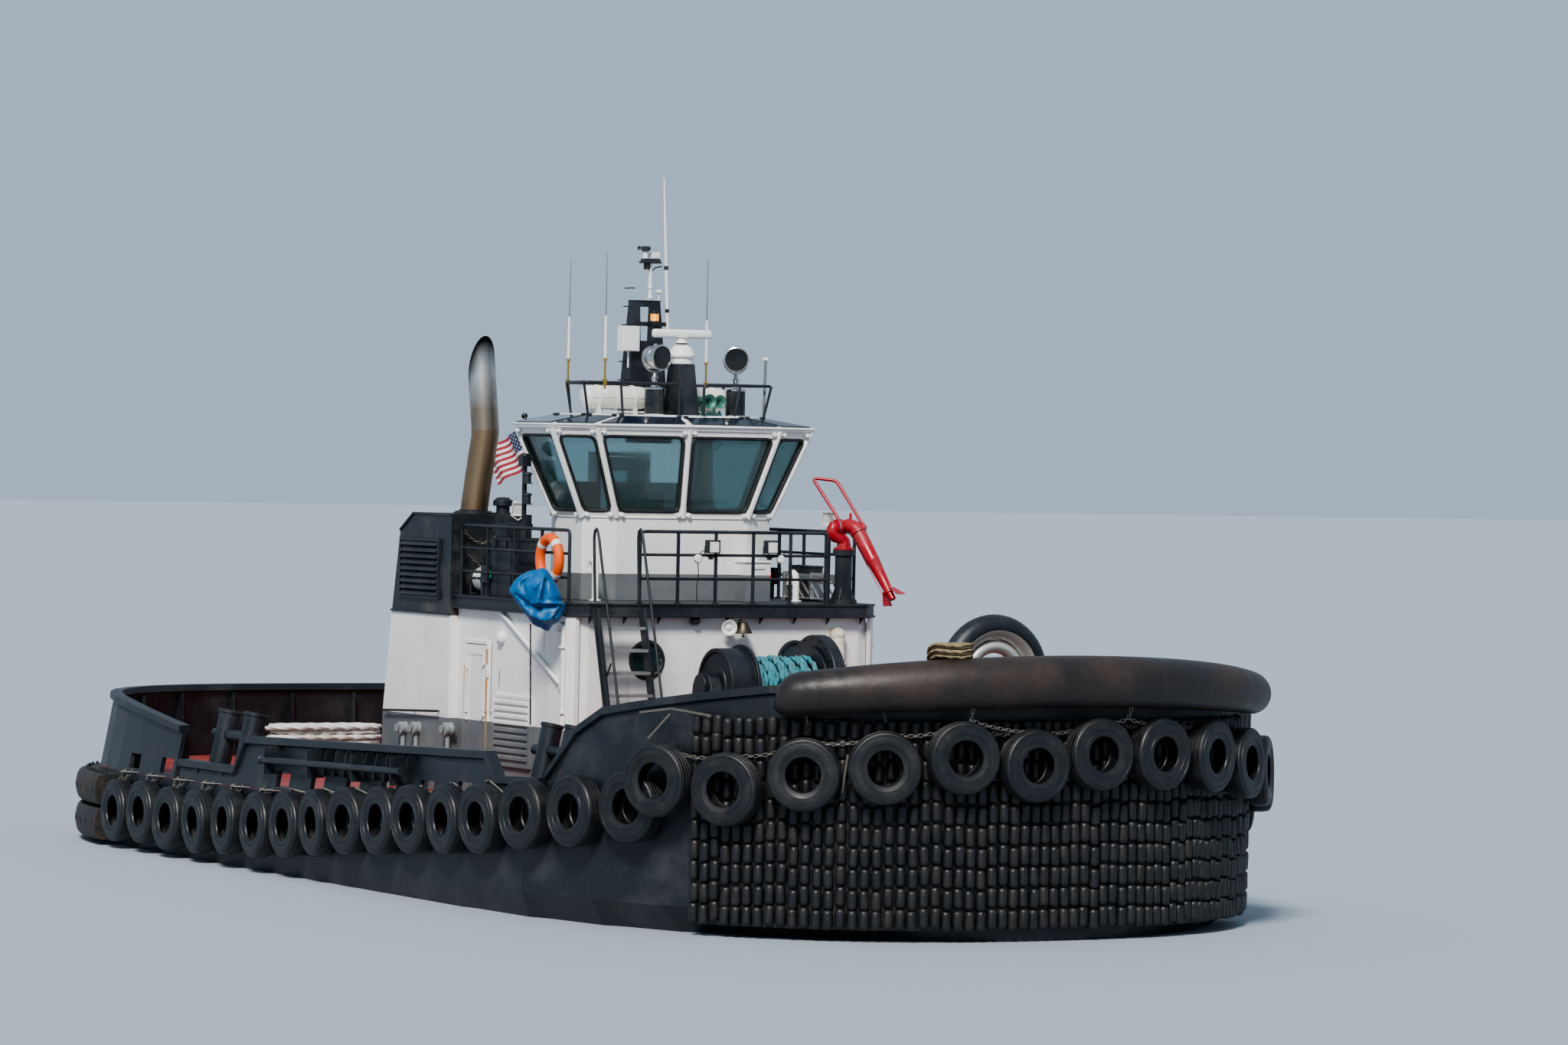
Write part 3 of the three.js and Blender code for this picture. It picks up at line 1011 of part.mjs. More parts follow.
// Stair from the aft deck to the aft end of the boat deck
function aftStair() {
  const pieces = [];
  for (const y of [-1000, -300]) {
    pieces.push(sidePrism([[-5300, 1100], [-5100, 1100], [-3552, 3700], [-3552, 3950]], y - 20, y + 20));
    pieces.push(pipe([[-5180, y, 1250], [-5180, y, 2200], [-3700, y, 4900], [-3580, y, 3990]], 20, 4));
  }
  for (let i = 0; i < 9; i += 1) {
    const share = (i + 0.7) / 9.5;
    const x = -5200 + 1600 * share;
    const z = 1150 + 2800 * share;
    pieces.push(block(x - 80, x + 100, -1010, -290, z - 18, z + 18));
  }
  return join(pieces);
}
node('stair_aft', seatOnHull(aftStair()).subtract(block(-3550 - SEAT_GAP, 0, -2000, 2000, 3000, 4200)), 'blackPaint');

// Boat deck gear, starboard: rafts, lockers, sidelights, floodlights
const z0 = BOAT_DECK_TOP + SEAT_GAP;
node('raft_canister_deck', canister(-820, -2150, z0 + 70 + 170, 560, 170), 'whitePaint');
node('locker_stbd', join([
  block(-300, 350, -2350, -1850, z0, z0 + 850),
  block(-250, 100, -2300, -1900, z0 + 840, z0 + 1050),
  rod([250, -2100, z0 + 800], [250, -2100, z0 + 1950], 40, 6),
  block(180, 320, -2170, -2030, z0 + 1900, z0 + 2050),
]), 'blackPaint');
node('gangway', join([
  block(1400, 1440, 2000, 2320, z0 + 40, z0 + 420),
  block(600, 640, 2000, 2320, z0, z0 + 420),
  block(560, 1900, 2010, 2050, z0 + 300, z0 + 400),
  block(560, 1900, 2270, 2310, z0 + 300, z0 + 400),
]), 'aluminium');

// Life rings
function lifeRing(centre, axis) {
  const geometry = new THREE.TorusGeometry(300, 75, 6, 14);
  if (axis === 'x') geometry.rotateY(Math.PI / 2);
  if (axis === 'y') geometry.rotateX(Math.PI / 2);
  geometry.translate(...centre);
  return solid(geometry);
}
node('life_ring_rail', lifeRing([1950, -railY - 82.9, BOAT_DECK_TOP + 600], 'y'), 'orange');
node('life_ring_deck', lifeRing([CASING_AFT - 400, -2000, deckZ(CASING_AFT - 400) + 375 + SEAT_GAP], 'x'), 'orange');

// Soft things: blue cover over the rail, the hawser hank, the bow line coil and the cover's tie
const railFace = railY + RAIL_RADIUS + SEAT_GAP;
const COVER = [2230, -2945, 4100];
const coverTop = rod([2270, -2900, 4230], [2400, -2500, 4500], 200, 10, 90);
const deckEdgeClear = block(0, 3000, -BOAT_DECK_HALF - 1, 0, 3000, BOAT_DECK_TOP + 30);
node('cover_blue', join([ball(COVER, 330, 10), coverTop])
  .subtract(block(0, 3000, -railFace, 0, 3000, 6000)).subtract(deckEdgeClear), 'blueCloth');
node('cable_cover', rod([COVER[0], COVER[1], COVER[2] - 330 - SEAT_GAP], [COVER[0] + 20, COVER[1] + 20, 2340], 12, 8),
  'blackPaint');
const HANK = { x: -6900, y: -1950, halfRun: 560, radius: 424, top: 1893 };
function hankOutline() {
  const outline = [];
  for (const end of [1, -1]) {
    for (let i = 0; i <= 8; i += 1) {
      const angle = (i / 8) * Math.PI;
      outline.push([HANK.x + end * HANK.radius * Math.cos(angle), HANK.y + end * (HANK.halfRun + HANK.radius * Math.sin(angle))]);
    }
  }
  return outline;
}
node('hawser_hank', prism(hankOutline(), AFT_HATCHES.top + SEAT_GAP, HANK.top), 'rope');
node('bow_line_coil', turned([[80, 3420], [316, 3420], [316, 3880], [80, 3880], [80, 3420]], 16)
  .translate([11680, -1620, 0]).subtract(bowLog().translate([0, 0, SEAT_GAP])).subtract(bowLog()).subtract(bulwarkRoom), 'tanRope');

// Flag on the staff behind the wheelhouse
const flagOutline = [[-3945, 6630], [-3475, 6050], [-4400, 5640], [-4900, 6240]];
const staffRoom = rod(FLAGSTAFF[0], FLAGSTAFF[1], 22.5, 8);
node('flag', sidePrism(flagOutline, -10, 10).subtract(staffRoom), 'redPaint');

// Bell on its bracket on the front wall
node('bell', join([
  turned([[0, 0], [130, 0], [90, 120], [0, 170]], 12).translate([HOUSE_FRONT + 200, 190, 3660]),
  block(HOUSE_FRONT + SEAT_GAP, HOUSE_FRONT + 220, 175, 205, 3815, 3850),
]), 'steel');

// Thrusters: a leg under the hull, a gear pod and a nozzle, with a propeller in it
function thruster(side) {
  const y = side * THRUSTER_Y;
  const z = THRUSTER_AXIS_Z;
  const x = THRUSTER_X;
  const ringProfile = [[NOZZLE_RADIUS - 150, -420], [NOZZLE_RADIUS - 60, -420], [NOZZLE_RADIUS, 380],
    [NOZZLE_RADIUS - 150, 420], [NOZZLE_RADIUS - 150, -420]];
  const ring = turned(ringProfile, 24).rotate([0, 90, 0]).translate([x - 150, y, z]);
  const top = THRUSTER_TOP - RUNNING_GAP;
  const leg = rod([x + 300, y, top - 60], [x + 350, y, z], 300, 10, 230);
  const pod = rod([x + 900, y, z], [x + 40, y, z], 190, 12, 270);
  const flange = rod([x, y, top - 90], [x, y, top], 620, 16);
  const spigot = rod([x, y, top - 20], [x, y, THRUSTER_TOP - SEAT_GAP], 200, 12);
  const web = block(x - 100, x + 420, y - 60, y + 60, z + 900, top - 80);
  const stays = join([0, 120, 240].map((degrees) => {
    const angle = (degrees + 90) * (Math.PI / 180);
    return rod([x + 150, y, z], [x + 60, y + Math.cos(angle) * (NOZZLE_RADIUS - 90),
      z + Math.sin(angle) * (NOZZLE_RADIUS - 90)], 60, 6);
  }));
  return join([ring, leg, pod, flange, spigot, web, stays]);
}
function propeller(side) {
  const hub = rod([-190, 0, 0], [190, 0, 0], 160, 12, 210).add(rod([180, 0, 0], [225 - SEAT_GAP, 0, 0], 90, 12));
  const blades = [0, 1, 2, 3].map((i) => {
    const geometry = new THREE.BoxGeometry(60, 520, PROPELLER_RADIUS - 180);
    geometry.translate(0, 0, 180 + (PROPELLER_RADIUS - 180) / 2);
    geometry.rotateZ(0.65);
    geometry.rotateX((i * Math.PI) / 2);
    return solid(geometry);
  });
  const rim = turned([[0, -260], [PROPELLER_RADIUS, -260], [PROPELLER_RADIUS, 260], [0, 260]], 24).rotate([0, 90, 0]);
  return join([hub, ...blades]).intersect(rim.add(rod([-200, 0, 0], [260, 0, 0], 240, 12)))
    .translate([THRUSTER_X - 185, side * THRUSTER_Y, THRUSTER_AXIS_Z]);
}
for (const [name, side] of [['stbd', -1], ['port', 1]]) {
  const room = rod([THRUSTER_X - 700, side * THRUSTER_Y, THRUSTER_AXIS_Z],
    [THRUSTER_X + 34, side * THRUSTER_Y, THRUSTER_AXIS_Z], PROPELLER_RADIUS + 15, 24);
  node(`thruster_${name}`, thruster(side).subtract(room), 'greyPaint');
  node(`propeller_${name}`, propeller(side), 'bronze');
}

export default tug;
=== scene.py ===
from math import atan2, copysign, cos, exp, hypot, pi, radians, sin, sqrt
import random

import bmesh
import bpy
from mathutils import Euler, Matrix, Vector, noise


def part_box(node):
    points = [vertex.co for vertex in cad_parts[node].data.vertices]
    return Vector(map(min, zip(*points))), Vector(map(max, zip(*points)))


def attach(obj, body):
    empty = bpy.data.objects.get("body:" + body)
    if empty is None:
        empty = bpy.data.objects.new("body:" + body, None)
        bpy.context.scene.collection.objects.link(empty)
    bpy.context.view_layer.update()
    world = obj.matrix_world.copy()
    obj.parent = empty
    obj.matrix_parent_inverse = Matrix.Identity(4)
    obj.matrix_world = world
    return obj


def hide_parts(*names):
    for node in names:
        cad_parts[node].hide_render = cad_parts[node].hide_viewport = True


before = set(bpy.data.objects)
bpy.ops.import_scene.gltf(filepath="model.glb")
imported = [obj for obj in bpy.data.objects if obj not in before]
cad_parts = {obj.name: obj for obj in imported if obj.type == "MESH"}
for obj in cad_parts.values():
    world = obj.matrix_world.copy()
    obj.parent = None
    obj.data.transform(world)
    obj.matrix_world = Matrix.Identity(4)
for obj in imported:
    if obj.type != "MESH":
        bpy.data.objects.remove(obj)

# Blender's own starting cube, lamp and camera go before the model's box is read.
for starter in ("Cube", "Light", "Camera"):
    if starter in bpy.data.objects:
        bpy.data.objects.remove(bpy.data.objects[starter])
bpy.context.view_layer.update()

# Camera: a long lens low over the water, off the starboard bow, level with the wheelhouse windows.
# The boat leans a little towards it, so the frame is rolled by about a degree.
PHOTO_WIDTH = 2048
VIEW_AZIMUTH = radians(62.5)
VIEW_DISTANCE = 88.0
EYE_HEIGHT = 6.4
FOCAL_PIXELS = 7832
CENTRE_RIGHT = 0.02324
CENTRE_DOWN = 0.01336
ROLL = radians(1.1)
camera = bpy.data.objects.new("camera", bpy.data.cameras.new("camera"))
bpy.context.scene.collection.objects.link(camera)
bpy.context.scene.camera = camera
across = Vector((cos(VIEW_AZIMUTH), sin(VIEW_AZIMUTH), 0))
ahead = Vector((-sin(VIEW_AZIMUTH), cos(VIEW_AZIMUTH), 0))
up = Vector((0, 0, 1))
aim = (ahead + CENTRE_RIGHT * across - CENTRE_DOWN * up).normalized()
right = cos(ROLL) * across + sin(ROLL) * up
right = (right - right.dot(aim) * aim).normalized()
top = right.cross(aim)
camera.matrix_world = Matrix(((right.x, top.x, -aim.x, -ahead.x * VIEW_DISTANCE),
    (right.y, top.y, -aim.y, -ahead.y * VIEW_DISTANCE),
    (right.z, top.z, -aim.z, EYE_HEIGHT),
    (0, 0, 0, 1),
))
camera.data.sensor_width = 36
camera.data.lens = FOCAL_PIXELS / PHOTO_WIDTH * camera.data.sensor_width
camera.data.clip_end = 1000

# Stage: a plain pale floor at the waterline, an even pale sky and one broad soft light
# from ahead of the boat, high on its starboard side.
FLOOR_HALF = 420.0
FLOOR_COLOUR, FLOOR_ROUGHNESS = (0.36, 0.41, 0.46, 1), 0.8
SKY_COLOUR, SKY_STRENGTH = (0.44, 0.55, 0.68, 1), 0.7
LIGHT_FROM, LIGHT_STRENGTH, LIGHT_SPREAD = Vector((50, -42, 62)), 3.3, radians(14)
LIGHT_COLOUR = (1.0, 0.96, 0.90)
floor_mesh = bpy.data.meshes.new("floor")
floor_mesh.from_pydata(
    [(-FLOOR_HALF, -FLOOR_HALF, 0), (FLOOR_HALF, -FLOOR_HALF, 0), (FLOOR_HALF, FLOOR_HALF, 0),
     (-FLOOR_HALF, FLOOR_HALF, 0)], [], [(0, 1, 2, 3)])
floor = bpy.data.objects.new("floor", floor_mesh)
bpy.context.scene.collection.objects.link(floor)
floor_paint = bpy.data.materials.new("pale_floor")
floor_paint.use_nodes = True
floor_shader = floor_paint.node_tree.nodes["Principled BSDF"]
floor_shader.inputs["Base Color"].default_value = FLOOR_COLOUR
floor_shader.inputs["Roughness"].default_value = FLOOR_ROUGHNESS
floor_mesh.materials.append(floor_paint)
sky = bpy.data.worlds.new("pale_sky")
sky.use_nodes = True
sky.node_tree.nodes["Background"].inputs["Color"].default_value = SKY_COLOUR
sky.node_tree.nodes["Background"].inputs["Strength"].default_value = SKY_STRENGTH
bpy.context.scene.world = sky
key_light = bpy.data.objects.new("key_light", bpy.data.lights.new("key_light", "SUN"))
key_light.data.energy = LIGHT_STRENGTH
key_light.data.angle = LIGHT_SPREAD
key_light.data.color = LIGHT_COLOUR
key_light.rotation_euler = LIGHT_FROM.to_track_quat("Z", "Y").to_euler()
bpy.context.scene.collection.objects.link(key_light)
bpy.context.scene.view_settings.view_transform = "AgX"
bpy.context.scene.view_settings.look = "AgX - Medium High Contrast"
bpy.context.scene.view_settings.exposure = 0.3

# Cover tie: a thin black cord that hangs straight down from the blue cover beside the ladder.
# It is laid polyester cord and ends bare some way above the deck.


class Form:
    """Gathers shapes, each with a paint number, and turns them into one piece."""

    def __init__(self):
        self.points = []
        self.faces = []
        self.paints = []

    def add(self, points, faces, paint=0):
        first = len(self.points)
        self.points += [tuple(p) for p in points]
        self.faces += [tuple(first + i for i in face) for face in faces]
        self.paints += [paint] * len(faces)
        return self

    def loft(self, rings, paint=0, closed=False):
        """Skins a row of rings; open ends get flat caps."""
        count = len(rings[0])
        points = [p for ring in rings for p in ring]
        faces = []
        for r in range(len(rings) if closed else len(rings) - 1):
            a, b = r * count, (r + 1) % len(rings) * count
            faces += [(a + i, a + (i + 1) % count, b + (i + 1) % count, b + i) for i in range(count)]
        self.add(points, faces, paint)
        if not closed:
            self.add(rings[0], [tuple(range(count))[::-1]], paint)
            self.add(rings[-1], [tuple(range(count))], paint)
        return self

    def tube(self, path, radius, sides=10, paint=0, closed=False):
        """A round bar along a path; radius is one number, or one for each point."""
        path = [Vector(p) for p in path]
        last = len(path) - 1
        radii = radius if isinstance(radius, (list, tuple)) else [radius] * len(path)
        heading = [(path[min(i + 1, last)] - path[max(i - 1, 0)]).normalized() for i in range(last + 1)]
        if closed:
            heading = [(path[(i + 1) % (last + 1)] - path[i - 1]).normalized() for i in range(last + 1)]
        side = heading[0].orthogonal().normalized()
        rings = []
        for i, point in enumerate(path):
            side = (side - side.dot(heading[i]) * heading[i]).normalized()
            lift = heading[i].cross(side)
            turns = [2 * pi * k / sides for k in range(sides)]
            rings.append([point + radii[i] * (cos(t) * side + sin(t) * lift) for t in turns])
        return self.loft(rings, paint, closed)

    def turned(self, profile, origin, axis=(0, 0, 1), sides=32, paint=0):
        """A profile of (radius, height) pairs turned about an axis from an origin."""
        axis, origin = Vector(axis).normalized(), Vector(origin)
        side = axis.orthogonal().normalized()
        lift = axis.cross(side)
        turns = [2 * pi * k / sides for k in range(sides)]
        rings = [[origin + axis * h + max(r, 1e-4) * (cos(t) * side + sin(t) * lift) for t in turns]
                 for r, h in profile]
        return self.loft(rings, paint)

    def block(self, low, high, paint=0):
        """An upright box between two corners."""
        (x0, y0, z0), (x1, y1, z1) = low, high
        rings = [[(x0, y0, z), (x1, y0, z), (x1, y1, z), (x0, y1, z)] for z in (z0, z1)]
        return self.loft(rings, paint)

    def beam(self, start, end, width, depth, paint=0):
        """A square-edged bar between two points."""
        start, end = Vector(start), Vector(end)
        run = (end - start).normalized()
        side = run.cross(Vector((0, 0, 1)))
        side = (side if side.length > 0.05 else Vector((0, 1, 0))).normalized() * width / 2
        lift = run.cross(side).normalized() * depth / 2
        corners = ((-1, -1), (1, -1), (1, 1), (-1, 1))
        rings = [[p + a * side + b * lift for a, b in corners] for p in (start, end)]
        return self.loft(rings, paint)

    def slab(self, outline, direction, paint=0):
        """A flat outline pushed along a direction."""
        push = Vector(direction)
        return self.loft([[Vector(p) for p in outline], [Vector(p) + push for p in outline]], paint)

    def bolts(self, profile, centre, radius, count, axis=(0, 0, 1), across=(1, 0, 0), lift=(0, 1, 0),
              phase=0.0, sides=6):
        """One small turned shape repeated at even steps round a circle."""
        for k in range(count):
            turn = 2 * pi * k / count + phase
            spoke = Vector(across) * cos(turn) + Vector(lift) * sin(turn)
            self.turned(profile, Vector(centre) + spoke * radius, axis=axis, sides=sides)
        return self

    def piece(self, name, materials, body="boat", slot=None, replaces=(), edge=0.0, crease=40):
        mesh = bpy.data.meshes.new(name)
        mesh.from_pydata(self.points, [], self.faces)
        mesh.polygons.foreach_set("material_index", self.paints)
        for material in materials if isinstance(materials, (list, tuple)) else [materials]:
            mesh.materials.append(material)
        made = bpy.data.objects.new(name, mesh)
        bpy.context.scene.collection.objects.link(made)
        point_faces_out(mesh, crease)
        if edge:
            bevel = made.modifiers.new("edge", "BEVEL")
            bevel.width = edge
            bevel.segments = 2
            bevel.limit_method = "ANGLE"
        return declared(made, body, replaces)


def declared(made, body, replaces):
    """Says which body a piece rides on, and hides the nodes it replaces."""
    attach(made, body)
    if replaces:
        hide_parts(*replaces)
    return made


def point_faces_out(mesh, crease):
    """Welds the shapes, turns every face outwards and keeps edges sharper than crease degrees crisp."""
    shell = bmesh.new()
    shell.from_mesh(mesh)
    bmesh.ops.remove_doubles(shell, verts=shell.verts, dist=1e-5)
    bmesh.ops.recalc_face_normals(shell, faces=shell.faces)
    shell.to_mesh(mesh)
    shell.free()
    mesh.polygons.foreach_set("use_smooth", [True] * len(mesh.polygons))
    mesh.set_sharp_from_angle(angle=radians(crease))
    mesh.update()


def effect(name, inputs, outputs):
    """An empty shader group with its named sockets."""
    group = bpy.data.node_groups.new(name, "ShaderNodeTree")
    for socket, value in inputs:
        group.interface.new_socket(name=socket, in_out="INPUT",
                                   socket_type="NodeSocketFloat").default_value = value
    for socket in outputs:
        group.interface.new_socket(name=socket, in_out="OUTPUT", socket_type="NodeSocketFloat")
    return group, group.nodes.new("NodeGroupInput"), group.nodes.new("NodeGroupOutput")


def linked(tree, kind, sockets, **settings):
    """A new node with some sockets linked or set."""
    node = tree.nodes.new(kind)
    for setting, value in settings.items():
        setattr(node, setting, value)
    for socket, value in sockets.items():
        if isinstance(value, bpy.types.NodeSocket):
            tree.links.new(value, node.inputs[socket])
        else:
            node.inputs[socket].default_value = value
    return node


def sea_weather():
    """Blotches of salt and dirt, thin rust runs that follow gravity, and a fine hammered relief."""
    group, given, made = effect("sea_weather", [("Scale", 1.0)], ["Dirt", "Runs", "Relief"])
    place = group.nodes.new("ShaderNodeTexCoord").outputs["Object"]
    sized = linked(group, "ShaderNodeVectorMath", {0: place, "Scale": given.outputs["Scale"]},
                   operation="SCALE")
    blotch = linked(group, "ShaderNodeTexNoise", {"Vector": sized.outputs[0], "Scale": 1.6, "Detail": 8.0,
                                                  "Roughness": 0.62})
    dirt = linked(group, "ShaderNodeMapRange",
                  {"Value": blotch.outputs[0], "From Min": 0.45, "From Max": 0.72})
    drawn = linked(group, "ShaderNodeVectorMath", {0: sized.outputs[0], 1: (5.5, 5.5, 0.35)},
                   operation="MULTIPLY")
    streak = linked(group, "ShaderNodeTexNoise", {"Vector": drawn.outputs[0], "Scale": 1.5, "Detail": 5.0,
                                                  "Roughness": 0.7})
    patch = linked(group, "ShaderNodeTexNoise", {"Vector": sized.outputs[0], "Scale": 0.9, "Detail": 2.0})
    thin = linked(group, "ShaderNodeMapRange",
                  {"Value": streak.outputs[0], "From Min": 0.58, "From Max": 0.76})
    here = linked(group, "ShaderNodeMapRange",
                  {"Value": patch.outputs[0], "From Min": 0.46, "From Max": 0.66})
    runs = linked(group, "ShaderNodeMath", {0: thin.outputs[0], 1: here.outputs[0]}, operation="MULTIPLY")
    relief = linked(group, "ShaderNodeTexNoise", {"Vector": sized.outputs[0], "Scale": 14.0, "Detail": 6.0})
    for socket, source in (("Dirt", dirt), ("Runs", runs), ("Relief", relief)):
        group.links.new(source.outputs[0], made.inputs[socket])
    return group


SEA_WEATHER = sea_weather()
# The colours that most finishes weather to.
RUST = (0.30, 0.13, 0.045)
SALT = (0.34, 0.35, 0.36)
GRIME = (0.42, 0.39, 0.34)


def shader_of(material):
    return material.node_tree.nodes["Principled BSDF"]


def blended(tree, low, high, share):
    """A colour between two, by a mask."""
    mixed = linked(tree, "ShaderNodeMix", {"Factor": share}, data_type="RGBA")
    for socket, value in ((6, low), (7, high)):
        if isinstance(value, bpy.types.NodeSocket):
            tree.links.new(value, mixed.inputs[socket])
        else:
            mixed.inputs[socket].default_value = (*value, 1)
    return mixed.outputs[2]


def scaled(tree, value, factor, offset=0.0):
    return linked(tree, "ShaderNodeMath", {0: value, 1: factor, 2: offset},
                  operation="MULTIPLY_ADD").outputs[0]


def finish(name, colour, roughness, metallic=0.0, dirt=(SALT, 0.25), runs=(RUST, 0.0), scale=1.0,
           relief=0.15, bands=()):
    """A weathered finish. bands repaints it above each height: (height, colour, blend length, slant)."""
    material = bpy.data.materials.new(name)
    material.use_nodes = True
    tree = material.node_tree
    shader = shader_of(material)
    weather = linked(tree, "ShaderNodeGroup", {}, node_tree=SEA_WEATHER)
    weather.inputs["Scale"].default_value = scale
    base = colour
    if bands:
        place = tree.nodes.new("ShaderNodeTexCoord").outputs["Object"]
        for level, shade, *more in bands:
            blend, slant = more or (0.001, 0.0)
            height = linked(tree, "ShaderNodeVectorMath", {0: place, 1: (-slant, 0.0, 1.0)},
                            operation="DOT_PRODUCT")
            above = linked(tree, "ShaderNodeMapRange", {0: height.outputs["Value"], 1: level - blend / 2,
                                                        2: level + blend / 2})
            base = blended(tree, base, shade, above.outputs[0])
    dirty = blended(tree, base, dirt[0], scaled(tree, weather.outputs["Dirt"], dirt[1]))
    stained = blended(tree, dirty, runs[0], scaled(tree, weather.outputs["Runs"], runs[1]))
    tree.links.new(stained, shader.inputs["Base Color"])
    tree.links.new(scaled(tree, weather.outputs["Dirt"], 0.22, roughness), shader.inputs["Roughness"])
    shader.inputs["Metallic"].default_value = metallic
    bump = linked(tree, "ShaderNodeBump", {"Height": weather.outputs["Relief"], "Strength": relief,
                                           "Distance": 0.01})
    tree.links.new(bump.outputs[0], shader.inputs["Normal"])
    return material


def swag(start, end, drop, steps=8):
    """Points along a line between two places that hangs down by drop in its middle."""
    start, end = Vector(start), Vector(end)
    return [start.lerp(end, i / steps) - up * drop * 4 * (i / steps) * (1 - i / steps)
            for i in range(steps + 1)]


TIE_DIAMETER = 0.024
TIE_TOP = (2.23, -2.945, 3.7697)
TIE_FOOT = (2.25, -2.925, 2.34)
tie_path = swag(TIE_TOP, TIE_FOOT, 0, 18)
black_cord = finish("black_cord", (0.018, 0.018, 0.02), 0.75, scale=6, relief=0.4)
tie = Form().tube(tie_path, TIE_DIAMETER / 2, 12).piece("cover_tie", black_cord, replaces=["cable_cover"])


# Hawser hank: a white three-strand nylon hawser, laid up in long oval turns with a bend at each end.
# It lies on the aft hatch, where its top shows above the low part of the rail.


def oval_turn(half_run, radius, phase):
    """A place on an oval of two straight runs along Y and two round ends; phase 0 to 4 goes once round."""
    leg, share = int(phase % 4), phase % 1
    if leg == 0:
        return radius, half_run * (2 * share - 1)
    if leg == 1:
        return radius * cos(pi * share), half_run + radius * sin(pi * share)
    if leg == 2:
        return -radius, half_run * (1 - 2 * share)
    return -radius * cos(pi * share), -half_run - radius * sin(pi * share)


def coil_path(centre, half_run, inner, turns, layers, pitch, steps=24):
    """Turns that wind in on one layer and out on the next, each layer a rope's thickness higher."""
    points = []
    per_layer = turns * steps
    for layer in range(layers):
        for i in range(per_layer + (layer == layers - 1)):
            share = i / per_layer
            inward = share if layer % 2 == 0 else 1 - share
            radius = inner + turns * pitch * (1 - inward)
            climb = min(1, max(0, (i - per_layer + steps / 3) / (steps / 3)))
            rise = 0 if layer == layers - 1 else climb * climb * (3 - 2 * climb)
            x, y = oval_turn(half_run, radius, 4 * i / steps)
            points.append(centre + Vector((x, y, (layer + rise) * pitch)))
    return points


def smooth_path(points, step):
    """The same line with points a step apart, rounded through a Catmull-Rom curve."""
    points = [Vector(p) for p in points]
    fine = []
    last = len(points) - 1
    for i in range(last):
        a, b, c, d = (points[max(i - 1, 0)], points[i], points[i + 1], points[min(i + 2, last)])
        count = max(1, round((c - b).length / step))
        for k in range(count):
            t = k / count
            fine.append(0.5 * (2 * b + (c - a) * t + (2 * a - 5 * b + 4 * c - d) * t * t
                               + (3 * b - a - 3 * c + d) * t ** 3))
    fine.append(points[last])
    return fine


def strand_rope(path, diameter, strands=3, lay=3.6):
    """A laid rope: its section has one lobe for each strand, and the lobes turn along the path."""
    rope = Form()
    sides = 5 * strands
    last = len(path) - 1
    side = (path[1] - path[0]).orthogonal().normalized()
    run = 0.0
    rings = []
    for i, point in enumerate(path):
        heading = (path[min(i + 1, last)] - path[max(i - 1, 0)]).normalized()
        side = (side - side.dot(heading) * heading).normalized()
        lift = heading.cross(side)
        run += (point - path[i - 1]).length if i else 0
        twist = 2 * pi * run / (lay * diameter) / strands
        ring = []
        for k in range(sides):
            turn = 2 * pi * k / sides + twist
            radius = diameter / 2 * (0.86 + 0.14 * cos(2 * pi * k / 5))
            ring.append(point + radius * (cos(turn) * side + sin(turn) * lift))
        rings.append(ring)
    return rope.loft(rings)


HAWSER_DIAMETER = 0.074
HAWSER_PITCH = 0.077
HANK_CENTRE = Vector((-6.9, -1.95, 1.511 + HAWSER_DIAMETER / 2))
hawser_path = smooth_path(coil_path(HANK_CENTRE, 0.56, 0.155, 3, 5, HAWSER_PITCH), 0.034)
white_rope = finish("white_nylon_rope", (0.62, 0.61, 0.57), 0.85, dirt=((0.30, 0.27, 0.22), 0.5),
                    runs=(RUST, 0.35), scale=2.5, relief=0.5)
hawser = strand_rope(hawser_path, HAWSER_DIAMETER).piece("hawser", white_rope, replaces=["hawser_hank"])

# Bow line: a tan manila line in a round coil, thrown over the big rubber log beside the bow staple.
# It drapes over the log's round top.
LOG_RADIUS = 0.34
BOW_LINE_DIAMETER = 0.036
COIL_PLACE = Vector((11.68, -1.62, 0))
LOG_CREST = Vector((11.845, -1.62, 3.345))
CREST_TURN = radians(-12)


def draped(points):
    """Lets a flat coil sink on to the log: each point follows the log's round top."""
    across_log = Vector((cos(CREST_TURN), sin(CREST_TURN), 0))
    sunk = []
    for point in points:
        off = max(-0.30, min(0.30, (point - LOG_CREST).dot(across_log)))
        sunk.append(Vector((point.x, point.y, LOG_CREST.z + sqrt(LOG_RADIUS ** 2 - off ** 2) + point.z)))
    return sunk


flat_coil = coil_path(COIL_PLACE + Vector((0, 0, 0.6 * BOW_LINE_DIAMETER)), 0.0, 0.10, 5, 5,
                      BOW_LINE_DIAMETER * 1.08, 20)
bow_line_path = smooth_path(draped(flat_coil), 0.03)
tan_rope = finish("tan_manila_rope", (0.27, 0.21, 0.115), 0.9, dirt=((0.12, 0.10, 0.07), 0.6),
                  scale=4, relief=0.6)
bow_line = strand_rope(bow_line_path, BOW_LINE_DIAMETER).piece("bow_line", tan_rope,
                                                               replaces=["bow_line_coil"])

# Hull: a round-bilged steel hull with a skeg, black above and below the water. The deck is red
# non-slip paint with a worn walkway, so flat faces that look up at deck height take the deck colour.
HALF_BEAM = 5.15
BOW_X, BOW_CURVE_X, BOW_POWER = 11.7, 4.6, 2.5
STERN_X, STERN_CURVE_X, STERN_POWER = -11.6, -5.6, 3.0
DECK_LINE = ((-11.7, 1.16), (-5.0, 1.16), (0, 1.22), (5.0, 1.42), (8.0, 1.72), (11.8, 2.15))
BLACK_PAINT = (0.009, 0.0125, 0.017)
DECK_RED = (0.26, 0.028, 0.022)


